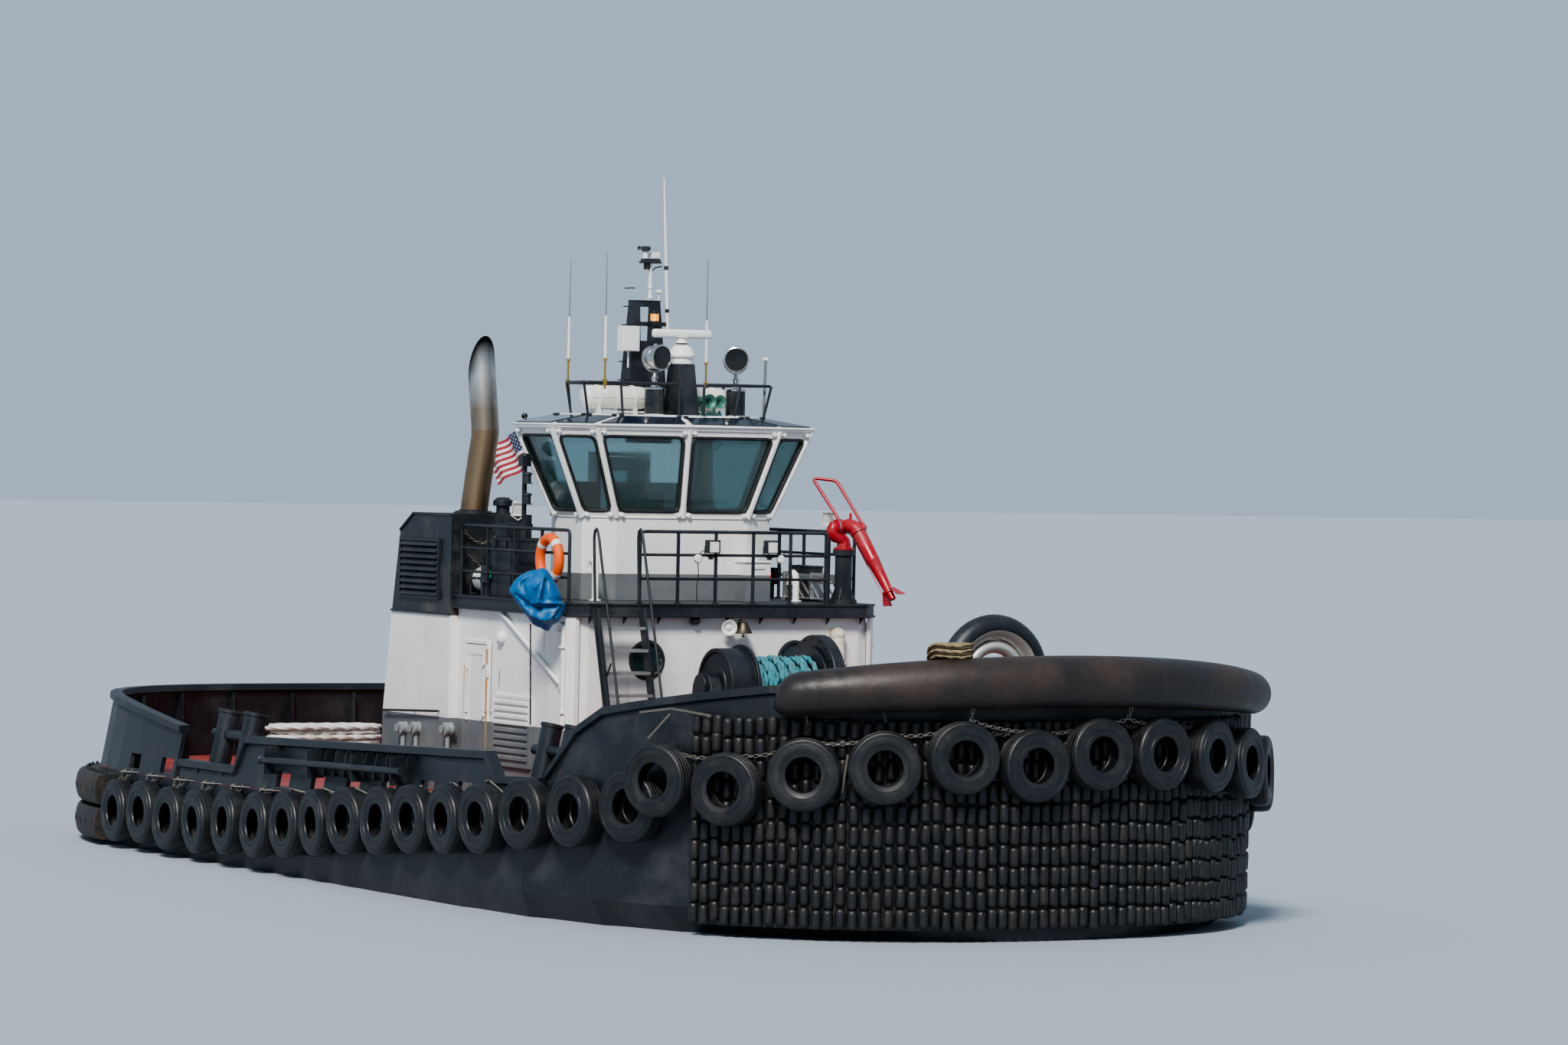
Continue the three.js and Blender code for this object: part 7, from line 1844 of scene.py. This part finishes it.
elbow_line = [(0, 0, 4.93), (0, -0.01, 4.98), (0, -0.06, 5.03), (0, -0.15, 5.05), (0, -0.19, 5.09),
              (0, -0.2, 5.15), (0, -0.185, 5.185), (0, -0.112, TILT_Z)]
swivel.tube([GUN + Vector(p) for p in elbow_line], [0.098, 0.096, 0.09, 0.086, 0.086, 0.088, 0.088, 0.09], 24)
swivel.turned([(0.085, -0.006), (0.108, -0.003), (0.108, 0.025), (0.085, 0.03)],
              GUN + Vector((0, -0.15, TILT_Z)), axis=(0, 1, 0), sides=30)
swivel.bolts([(0.011, 0), (0.011, 0.012)], GUN + up * 4.889, 0.128, 8)
swivel.piece("monitor_elbow", red_paint, body="monitor_swivel", replaces=["monitor_swivel"])
gun = Form()
tilt = GUN + up * TILT_Z
tip = tilt + Vector((0.83, 0.36, -1.02))
start = tilt + Vector((0.23, 0.09, -0.04))
run = (tip - start).normalized()
gun.turned([(0.085, -0.104), (0.112, -0.10), (0.112, -0.07), (0.098, -0.065), (0.098, 0.06), (0.075, 0.11)],
           tilt, axis=(0, 1, 0), sides=36)
gun.tube([tilt, tilt + Vector((0.1, 0.02, 0.03)), tilt + Vector((0.19, 0.065, 0.0)), start + run * 0.06],
         [0.098, 0.098, 0.1, 0.1], 28)
length = (tip - start).length
gun.turned([(0.098, 0.0), (0.124, 0.02), (0.124, 0.05), (0.106, 0.06), (0.098, length * 0.42),
            (0.1, length * 0.43), (0.1, length * 0.45), (0.094, length * 0.46), (0.066, length * 0.86),
            (0.07, length * 0.87), (0.07, length * 0.9), (0.052, length * 0.91), (0.05, length),
            (0.04, length), (0.036, length * 0.9)], start, axis=run, sides=36)
side = Vector((-run.y, run.x, 0)).normalized()
lift = run.cross(side)
for way, angle in ((1, 0.5), (-1, 0.35)):
    root = start + run * length * 0.86 + lift * 0.065 * way
    plate = (run * cos(angle) + lift * way * sin(angle)) * 0.21
    gun.slab([root - side * 0.06, root + side * 0.06, root + plate + side * 0.11,
              root + plate - side * 0.11], lift * 0.008)
handle = ((0.02, -0.075, 0.07), (-0.48, -0.275, 0.70), (-0.26, 0.0, 0.67), (0.23, 0.19, 0.02))
gun.tube(rounded([tilt + Vector(p) for p in handle], 0.07), 0.024, 12)
for foot in (handle[0], handle[3]):
    gun.turned([(0.03, -0.05), (0.034, -0.04), (0.034, 0.03), (0.022, 0.045)], tilt + Vector(foot),
               axis=(-0.5, -0.2, 0.63), sides=16)
gun.tube([tilt + Vector((0.05, -0.05, 0.12)), start + run * length * 0.88 - lift * 0.12], 0.008, 8)
gun.turned([(0.016, 0), (0.02, 0.02), (0.02, 0.10), (0.012, 0.12)], tilt + Vector((0.02, 0.09, 0.09)),
           sides=12)
gun.piece("monitor_gun", red_paint, body="monitor_barrel", replaces=["monitor_barrel"])
seal_rings = Form()
seal_rings.turned([(0.1, -0.128), (0.115, -0.126), (0.115, -0.108), (0.1, -0.106)], tilt, axis=(0, 1, 0),
                  sides=36)
seal_rings.piece("monitor_tilt_ring", lamp_metal, body="monitor_swivel")

# Front ladder: black steel channel sides with bright grating treads, from the fore deck to the boat deck.
# A round handrail is hooped over the head of each side.
tread_metal = finish("tread_metal", (0.50, 0.50, 0.49), 0.45, metallic=0.85,
                     dirt=((0.2, 0.18, 0.16), 0.5), scale=3)
LADDER_Y, LADDER_FOOT, LADDER_HEAD = (-2.18, -1.48), Vector((3.53, 0, 1.35)), Vector((2.78, 0, 4.0))


def steps_between(form, foot, head, y0, y1, count, first, spread, depth=0.2):
    """Channel sides with a row of level treads; paint 1 marks the treads."""
    fall = (head - foot).normalized()
    out = Vector((fall.z, 0, -fall.x)) * (1 if fall.z > 0 else -1)
    for y in (y0, y1):
        web = [foot + Vector((0, y - 0.008, 0)) + out * s for s in (-0.075, 0.075)]
        far = [head + Vector((0, y - 0.008, 0)) + out * s for s in (0.075, -0.075)]
        form.slab(web + far, (0, 0.016, 0))
        inward = 0.035 if y == y0 else -0.035
        for s in (-0.075, 0.067):
            a, b = foot + Vector((0, y, 0)) + out * s, head + Vector((0, y, 0)) + out * s
            form.slab([a, a + out * 0.008, b + out * 0.008, b], (0, -inward, 0))
    for i in range(count):
        share = first + (spread * i) / count
        at = foot.lerp(head, share)
        for k in range(6):
            x = at.x - depth / 2 + depth * k / 5
            form.block((x - 0.004, y0 + 0.01, at.z - 0.02), (x + 0.004, y1 - 0.01, at.z + 0.015), 1)
        for k in range(9):
            y = y0 + (y1 - y0) * (k + 0.5) / 9
            form.tube([(at.x + half, y, at.z + 0.008) for half in (-depth / 2, depth / 2)], 0.004, 5, paint=1)
        for half in (-depth / 2, depth / 2):
            form.block((at.x + half - 0.006, y0 + 0.008, at.z - 0.025),
                       (at.x + half + 0.006, y1 - 0.008, at.z + 0.018), 1)


ladder = Form()
steps_between(ladder, LADDER_FOOT, LADDER_HEAD, *LADDER_Y, 8, 0.07, 0.95)
for y in LADDER_Y:
    hoop = [(3.60, y, 1.55), (3.56, y, 2.40), (2.89, y, 4.72), (2.80, y, 5.02), (2.73, y, 5.13),
            (2.68, y, 5.10), (2.66, y, 5.0), (2.72, y, 4.1)]
    ladder.tube(smooth_path(hoop, 0.07), 0.02, 10)
    for share in (0.2, 0.62):
        at = LADDER_FOOT.lerp(LADDER_HEAD, share) + Vector((0, y, 0))
        ladder.tube([at, at + Vector((0.19, 0, 0.26))], 0.014, 8)
ladder.piece("front_ladder", [black_paint, tread_metal], replaces=["ladder_front"])

# Aft stair: a steeper stair of the same make from the aft deck to the boat deck.
# Black steel handrails are hooped over its head and stand on short posts.
STAIR_Y, STAIR_FOOT, STAIR_HEAD = (-1.0, -0.3), Vector((-5.14, 0, 1.17)), Vector((-3.6, 0, 3.9))
stair = Form()
steps_between(stair, STAIR_FOOT, STAIR_HEAD, *STAIR_Y, 10, 0.06, 0.95, 0.22)
for y in STAIR_Y:
    hoop = ((-5.18, 1.25), (-5.17, 2.12), (-3.76, 4.82), (-3.66, 4.88), (-3.6, 4.8), (-3.58, 3.99))
    stair.tube(smooth_path([(x, y, z) for x, z in hoop], 0.09), 0.02, 10)
    for share in (0.3, 0.7):
        at = STAIR_FOOT.lerp(STAIR_HEAD, share) + Vector((0, y, 0))
        stair.tube([at, at + Vector((0, 0, 0.85))], 0.014, 8)
stair.piece("aft_stair", [black_paint, tread_metal], replaces=["stair_aft"])

# Deck raft canister: a smaller white moulded shell in a black steel cradle beside the starboard casing.
# Two black straps and a bar hold it down.
strap_cloth = finish("black_strap", (0.02, 0.02, 0.021), 0.7, dirt=((0.1, 0.1, 0.09), 0.4),
                     scale=6, relief=0.3)
deck_shell, deck_straps = Form(), Form()
canister(deck_shell, deck_straps, (-0.82, -2.15, 4.32), 0.28, 0.17, axis=(1, 0, 0))
for x in (-1.0, -0.64):
    for y in (-2.33, -1.97):
        deck_straps.tube([(x, y, DECK_TOP + 0.001), (x, y, 4.34)], 0.012, 8)
    deck_straps.tube([(x, -2.33, 4.1), (x, -1.97, 4.1)], 0.014, 8)
deck_straps.tube([(-1.0, -2.33, 4.34), (-0.64, -2.33, 4.34)], 0.01, 8)
deck_shell.piece("deck_raft_shell", canister_shell, replaces=["raft_canister_deck"])
deck_straps.piece("deck_raft_cradle", strap_cloth)

# Starboard lockers and sidelights: black steel boxes with hinged lids and a stack of lamps beside them.
# A green lamp to starboard and a red one to port stand on short posts before their screens.
dress("locker_stbd", black_paint)
locker = Form()
for low, high in (((-0.315, -2.365, 4.90), (0.365, -1.835, 4.945)),
                  ((-0.265, -2.315, 5.10), (0.115, -1.885, 5.145))):
    locker.block(low, high)
for x in (-0.15, 0.2):
    locker.block((x - 0.03, -2.37, 4.80), (x + 0.03, -2.345, 4.92))
    locker.tube([(x, -1.835, 4.9), (x, -1.82, 4.92), (x, -1.835, 4.94)], 0.01, 8)
locker.tube([(0.352, -2.2, 4.6), (0.39, -2.2, 4.6), (0.39, -2.0, 4.6), (0.352, -2.0, 4.6)], 0.01, 8)
for z in (5.45, 5.75, 6.02):
    locker.turned([(0.075, 0), (0.075, 0.015), (0.055, 0.02), (0.055, 0.13), (0.075, 0.135), (0.07, 0.155),
                   (0.03, 0.17)], (0.25 + (0.09 if z < 6 else 0), -2.1, z - 0.02), sides=24)
locker.piece("locker_fittings", black_paint, edge=0.004)
for side, name, colour in ((-1, "green", (0.0, 0.35, 0.14)), (1, "red", (0.5, 0.01, 0.01))):
    lens_material = finish(f"{name}_lens", colour, 0.08, dirt=((0.1, 0.1, 0.1), 0.2), relief=0.02)
    shader_of(lens_material).inputs["Emission Color"].default_value = (*colour, 1)
    shader_of(lens_material).inputs["Emission Strength"].default_value = 1.2
    lens, housing, place = Form(), Form(), Vector((-0.36, side * 2.27, 4.32))
    lens.turned([(0.05, 0.03), (0.058, 0.05), (0.05, 0.08), (0.058, 0.11), (0.05, 0.14)], place, sides=28)
    for low in (0.0, 0.145):
        housing.turned([(0.045, low), (0.066, low + 0.005), (0.066, low + 0.025), (0.045, low + 0.03)],
                       place, sides=28)
    housing.tube([(place.x, place.y, DECK_TOP + 0.001), place + up * 0.01], 0.02, 10)
    lens.piece(f"sidelight_{name}_lens", lens_material)
    housing.piece(f"sidelight_{name}_housing", black_paint)

# Tank vents: grey cast heads on short pipes beside the deckhouse, each with a flap box at its outboard end.
# A flange at the foot of each pipe is welded to the deck.
tank_vents = Form()
for side in (-1, 1):
    for x, z in ((-2.65, 2.05), (-2.20, 2.07), (-1.12, 2.11)):
        head = Vector((x, side * 2.60, z))
        tank_vents.turned([(0.07, -0.07), (0.098, -0.062), (0.098, -0.03), (0.092, -0.025), (0.092, 0.025),
                           (0.098, 0.03), (0.098, 0.062), (0.07, 0.07)], head, axis=(0, 1, 0), sides=28)
        near, far = sorted((side * 0.1, side * 0.125))
        tank_vents.block(head + Vector((-0.045, near, -0.05)), head + Vector((0.045, far, 0.05)))
        tank_vents.tube([(x, head.y, deck_height(x)), (x, head.y, z - 0.06)], 0.034, 14)
        tank_vents.turned([(0.065, 0), (0.065, 0.015), (0.036, 0.018)], (x, head.y, deck_height(x)), sides=20)
tank_vents.piece("tank_vents", grey_paint, slot="grey_paint", edge=0.004)

# Gangway: a light aluminium gangway on the port boat deck, with slanted bracing in both of its side frames.
# A black steel tool box stands between the frames.
aluminium = finish("bare_aluminium", (0.50, 0.50, 0.50), 0.42, metallic=0.9,
                   dirt=((0.25, 0.23, 0.2), 0.4), scale=3)
dress("gangway", aluminium)
gangway_bars, tool_box = Form(), Form()
for y in (2.03, 2.29):
    for i in range(5):
        x = 0.62 + i * 0.235
        gangway_bars.beam((x, y, 4.40), (x + 0.33, y, 4.13), 0.03, 0.02)
    gangway_bars.tube([(0.58, y, 4.12), (1.88, y, 4.12)], 0.02, 10)
    gangway_bars.tube([(0.56, y, 4.455), (1.92, y, 4.455)], 0.024, 12)
    gangway_bars.beam((1.62, y, 4.42), (1.88, y, 4.13), 0.03, 0.02)
for i in range(3):
    gangway_bars.tube([(1.50 + i * 0.14, 2.03, 4.36), (1.50 + i * 0.14, 2.29, 4.36)], 0.014, 8)
tool_box.block((0.70, 2.07, DECK_TOP + 0.001), (1.36, 2.25, 4.57))
tool_box.block((0.69, 2.06, 4.57), (1.37, 2.26, 4.60))
tool_box.block((0.94, 2.045, 4.52), (1.04, 2.062, 4.61))
gangway_bars.piece("gangway_bars", aluminium, edge=0.002)
tool_box.piece("tool_box", black_paint, edge=0.006)

# Life rings: foam rings in an orange cover with four white reflective bands.
# One is in a bracket on the starboard rail and one hangs on the aft wall of a casing.
orange = finish("orange_cover", (0.80, 0.115, 0.012), 0.5, dirt=((0.5, 0.2, 0.08), 0.35), scale=4,
                relief=0.3)
band_white = finish("reflective_band", (0.72, 0.72, 0.70), 0.35,
                    dirt=((0.45, 0.42, 0.38), 0.3), scale=5)
for name, centre, axis in (("life_ring_rail", Vector((1.95, -2.5229, 4.68)), Vector((0, 1, 0))),
                           ("life_ring_deck", None, Vector((1, 0, 0)))):
    if centre is None:
        low, high = (Vector(p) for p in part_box(name))
        centre = (low + high) / 2
    ring, bands = Form(), Form()
    side = axis.cross(up)

    def around(share, radius=0.30):
        turn = 2 * pi * share
        return centre + (side * cos(turn) + up * sin(turn)) * radius

    ring.tube([around(k / 56) for k in range(56)], 0.073, 20, closed=True)
    for quarter in range(4):
        middle = 0.125 + quarter / 4
        bands.tube([around(middle - 0.02 + 0.008 * k) for k in range(6)], 0.0765, 20)
    ring.piece(f"{name}_foam", orange, replaces=[name])
    bands.piece(f"{name}_bands", band_white)

# Blue cover: a proofed polyester cloth cover tied over a lamp that stands out from the deck edge on an arm.
# The cloth is stretched over the lamp's round back, and its slack foot hangs in deep folds to one corner.
blue_cloth = finish("blue_cloth", (0.002, 0.10, 0.28), 0.42, dirt=((0.004, 0.14, 0.33), 0.5),
                    scale=4, relief=0.3)
COVER_CENTRE = Vector((2.30, -2.90, 4.14))
COVER_FRONT, COVER_BACK = 0.25, 0.15
# The edge of the cloth as it shows from the camera, as metres to the right of the centre and above it.
COVER_EDGE = ((0.09, 0.425), (-0.02, 0.396), (-0.13, 0.368), (-0.25, 0.297), (-0.33, 0.207), (-0.376, 0.083),
              (-0.306, -0.033), (-0.223, -0.14), (-0.124, -0.264), (-0.025, -0.384), (0.066, -0.421),
              (0.157, -0.467), (0.202, -0.446), (0.24, -0.38), (0.33, -0.33), (0.38, -0.24), (0.417, -0.091),
              (0.362, -0.045), (0.355, 0.041), (0.297, 0.165), (0.215, 0.306), (0.149, 0.396))
# Folds: start and end as (right, above), then height and width; a negative height is a crease.
COVER_FOLDS = (((0.03, 0.41), (-0.18, 0.215), -0.055, 0.030), ((0.12, 0.31), (-0.02, 0.16), 0.035, 0.040),
               ((-0.02, 0.16), (0.02, -0.06), 0.055, 0.030), ((0.11, 0.30), (0.04, -0.06), 0.045, 0.022),
               ((0.14, 0.24), (0.10, -0.03), -0.060, 0.030), ((-0.28, 0.04), (-0.10, -0.09), -0.075, 0.045),
               ((-0.10, -0.09), (0.05, -0.14), -0.085, 0.045), ((0.05, -0.14), (0.32, -0.10), -0.075, 0.035),
               ((-0.29, -0.05), (-0.08, -0.24), 0.055, 0.030), ((-0.08, -0.24), (0.12, -0.31), 0.060, 0.028),
               ((0.12, -0.31), (0.31, -0.28), 0.045, 0.030), ((0.35, -0.07), (0.20, -0.32), 0.045, 0.024),
               ((0.39, -0.12), (0.28, -0.26), -0.055, 0.020), ((-0.07, -0.07), (0.34, -0.07), 0.050, 0.020),
               ((-0.07, 0.36), (-0.32, 0.16), 0.035, 0.040), ((-0.20, 0.20), (-0.13, 0.02), -0.040, 0.030),
               ((0.20, 0.28), (0.30, 0.02), 0.030, 0.050))


def fold_height(place):
    """How far the folds lift the cloth at a place; each fold has a sharp crest and fades at its ends."""
    height = 0.0
    for start, end, lift, width in COVER_FOLDS:
        start, run = Vector(start), Vector(end) - Vector(start)
        share = (place - start).dot(run) / run.length_squared
        nearest = start + run * min(1.0, max(0.0, share))
        height += lift * exp(-(place - nearest).length / width)
    return height


def cover_point(edge, turn):
    """A place on the cloth: turn goes from the middle of its front at 0 to the middle of its back at pi."""
    reach = sin(turn) ** 0.8
    place = Vector((edge.x, edge.y)) * reach
    depth = cos(turn) * (COVER_FRONT if turn < pi / 2 else COVER_BACK)
    if turn < pi / 2:
        depth += fold_height(place) * min(1.0, 3.5 * (1 - reach))
    depth += 0.012 * noise.noise(Vector((place.x * 9, place.y * 9, turn)))
    spot = COVER_CENTRE + across * place.x + up * place.y - ahead * depth
    spot.y = min(spot.y, -2.475)
    return spot


cover_edge = smooth_path([(*p, 0) for p in COVER_EDGE + COVER_EDGE[:1]], 0.018)[:-1]
cover_rings = [[cover_point(edge, pi * (0.01 + 0.98 * i / 64)) for edge in cover_edge] for i in range(65)]
cover = Form().loft(cover_rings).piece("cloth_cover", blue_cloth, replaces=["cover_blue"], crease=60)
cover_arm = Form()
cover_arm.tube(rounded([(2.30, -2.50, 4.02), (2.30, -2.72, 4.06), (2.30, -2.86, 4.16)], 0.05), 0.022, 12)
cover_arm.beam((2.22, -2.515, 4.02), (2.38, -2.515, 4.02), 0.10, 0.012)
cover_arm.piece("cover_arm", black_paint)

# Flag: a sewn nylon ensign of red and white stripes with a blue canton of white stars, on the aft staff.
# It streams aft, a little to starboard and down from its hoist in three soft waves.
FLAG_HEAD, FLAG_FOOT = Vector((-3.95, 0, 6.61)), Vector((-3.50, 0, 6.055))
FLAG_FLY, FLAG_ROWS, FLAG_COLUMNS = Vector((-0.905, -0.28, -0.398)), 26, 64


def flag_point(along_fly, down):
    wave = 0.040 * min(1.0, along_fly * 2.5) * sin(2 * pi * (2.1 * along_fly + 0.12 * down) + 0.6)
    sag = -0.03 * sin(pi * along_fly) * (1 - down)
    return FLAG_HEAD.lerp(FLAG_FOOT, down) + FLAG_FLY * along_fly + Vector((0.01 * wave, wave, sag))


flag_form = Form()
flag_points = [flag_point(c / FLAG_COLUMNS, r / FLAG_ROWS) for r in range(FLAG_ROWS + 1)
               for c in range(FLAG_COLUMNS + 1)]
wide = FLAG_COLUMNS + 1
flag_form.add(flag_points, [(r * wide + c, r * wide + c + 1, (r + 1) * wide + c + 1, (r + 1) * wide + c)
                            for r in range(FLAG_ROWS) for c in range(FLAG_COLUMNS)])


def flag_finish():
    """Stripes along the fly and a starred canton, from the cloth's own UV."""
    material = finish("ensign_nylon", (0.70, 0.69, 0.66), 0.7, dirt=((0.4, 0.36, 0.3), 0.2),
                      scale=5, relief=0.25)
    tree = material.node_tree
    first = next(n for n in tree.nodes if n.bl_idname == "ShaderNodeMix")
    cloth = linked(tree, "ShaderNodeSeparateXYZ",
                   {0: linked(tree, "ShaderNodeUVMap", {}, uv_map="cloth").outputs[0]})
    fly, down = cloth.outputs[0], cloth.outputs[1]

    def sums(kind, a, b=0.0):
        return linked(tree, "ShaderNodeMath", {0: a, 1: b}, operation=kind).outputs[0]

    stripe = sums("LESS_THAN", sums("FRACT", sums("MULTIPLY", down, 6.5)), 0.5)
    striped = blended(tree, (0.58, 0.56, 0.55), (0.27, 0.010, 0.024), stripe)
    canton = sums("MULTIPLY", sums("LESS_THAN", fly, 0.4), sums("LESS_THAN", down, 7 / 13))
    column, row = sums("MULTIPLY", fly, 11 / 0.4), sums("MULTIPLY", down, 9 * 13 / 7)
    off_column = sums("SUBTRACT", sums("FRACT", column), 0.5)
    off_row = sums("SUBTRACT", sums("FRACT", row), 0.5)
    near = sums("LESS_THAN", sums("ADD", sums("MULTIPLY", off_column, off_column),
                                  sums("MULTIPLY", off_row, off_row)), 0.06)
    parity = sums("FLOORED_MODULO", sums("ADD", sums("FLOOR", column), sums("FLOOR", row)), 2.0)
    starred = blended(tree, (0.010, 0.015, 0.07), (0.58, 0.58, 0.56),
                      sums("MULTIPLY", near, sums("LESS_THAN", parity, 0.5)))
    tree.links.new(blended(tree, striped, starred, canton), first.inputs[6])
    return material


flag = flag_form.piece("ensign", flag_finish(), replaces=["flag"], crease=180)
flag_uv = flag.data.uv_layers.new(name="cloth")
for polygon in flag.data.polygons:
    for corner in polygon.loop_indices:
        spot = flag.data.loops[corner].vertex_index
        flag_uv.data[corner].uv = ((spot % wide) / FLAG_COLUMNS, (spot // wide) / FLAG_ROWS)

# Bell: a cast bronze ship's bell gone dull, with its clapper.
# It hangs under a bent bracket of the same bronze on the deckhouse front.
bronze = finish("bronze", (0.12, 0.10, 0.075), 0.45, metallic=1.0, dirt=((0.06, 0.07, 0.06), 0.6),
                scale=4)
ship_bell = Form()
ship_bell.turned([(0.118, 0.008), (0.13, 0.0), (0.132, 0.01), (0.118, 0.03), (0.09, 0.07), (0.072, 0.12),
                  (0.06, 0.15), (0.035, 0.166), (0.012, 0.17)], (2.75, 0.19, 3.66), sides=40)
ship_bell.tube([(2.75, 0.19, 3.69), (2.75, 0.19, 3.64)], 0.008, 8)
ship_bell.turned([(0, -0.03), (0.018, -0.02), (0.018, 0.0), (0, 0.012)], (2.75, 0.19, 3.63), sides=14)
ship_bell.tube(rounded([(2.551, 0.19, 3.72), (2.62, 0.19, 3.84), (2.75, 0.19, 3.862), (2.75, 0.19, 3.82)],
                       0.03), 0.011, 10)
ship_bell.block((2.551, 0.165, 3.66), (2.562, 0.215, 3.76))
ship_bell.piece("ship_bell", bronze, replaces=["bell"])

# Thrusters: painted steel legs that steer all round, each with a gear pod, stays and a smooth steel nozzle.
# Zinc blocks are bolted on the nozzles, and the propellers are four-bladed bronze castings.
drive_paint = finish("drive_paint", (0.085, 0.035, 0.03), 0.5, dirt=((0.16, 0.15, 0.12), 0.5),
                     scale=1.5, relief=0.3)
zinc = finish("zinc_block", (0.36, 0.37, 0.37), 0.6, metallic=0.7,
              dirt=((0.2, 0.2, 0.18), 0.6), scale=4)
propeller_bronze = finish("propeller_bronze", (0.42, 0.27, 0.10), 0.3, metallic=1.0,
                          dirt=((0.15, 0.16, 0.10), 0.5), scale=2)
DRIVE_X, AXIS_Z = -8.3, -2.95
for side, thruster, wheel in ((-1, "thruster_stbd", "propeller_stbd"),
                              (1, "thruster_port", "propeller_port")):
    hub = Vector((DRIVE_X, side * 2.15, AXIS_Z))
    dress(thruster, drive_paint)
    dress(wheel, propeller_bronze)
    nozzle, anodes = Form(), Form()
    nozzle_rings = []
    for k in range(73):
        turn = 2 * pi * k / 72
        way = Vector((0, cos(turn), sin(turn)))
        nozzle_rings.append([hub + Vector((x, 0, 0)) + way * r for r, x in
                             ((1.235, -0.57), (1.248, -0.52), (1.245, 0.2), (1.225, 0.27), (1.205, 0.275),
                              (1.178, 0.235), (1.172, -0.58))])
    nozzle.loft(nozzle_rings[:-1], closed=True)
    for k in range(8):
        turn = 2 * pi * (k + 0.5) / 8
        way = Vector((0, cos(turn), sin(turn)))
        spot = hub + Vector((-0.15, 0, 0)) + way * 1.246
        anodes.beam(spot - Vector((0.16, 0, 0)), spot + Vector((0.16, 0, 0)), 0.05, 0.05)
        for x in (-0.11, 0.11):
            anodes.turned([(0.016, 0), (0.016, 0.036)], spot + Vector((x, 0, 0)), axis=way, sides=6)
    nozzle.bolts([(0.03, 0), (0.03, -0.03)], hub + up * 1.294, 0.55, 16)
    nozzle.piece(f"{thruster}_nozzle", drive_paint, body=thruster)
    anodes.piece(f"{thruster}_zincs", zinc, body=thruster)
    cap = Form()
    centre = hub - Vector((0.185, 0, 0))
    cap.turned([(0.205, -0.13), (0.19, -0.16), (0.15, -0.185), (0.08, -0.2), (0, -0.203)], centre,
               axis=(1, 0, 0), sides=36)
    cap.bolts([(0.016, -0.012), (0.016, 0.02)], centre - Vector((0.17, 0, 0)), 0.13, 6, axis=(-1, 0, 0),
              across=(0, 1, 0), lift=up)
    cap.piece(f"{wheel}_cap", propeller_bronze, body=wheel)
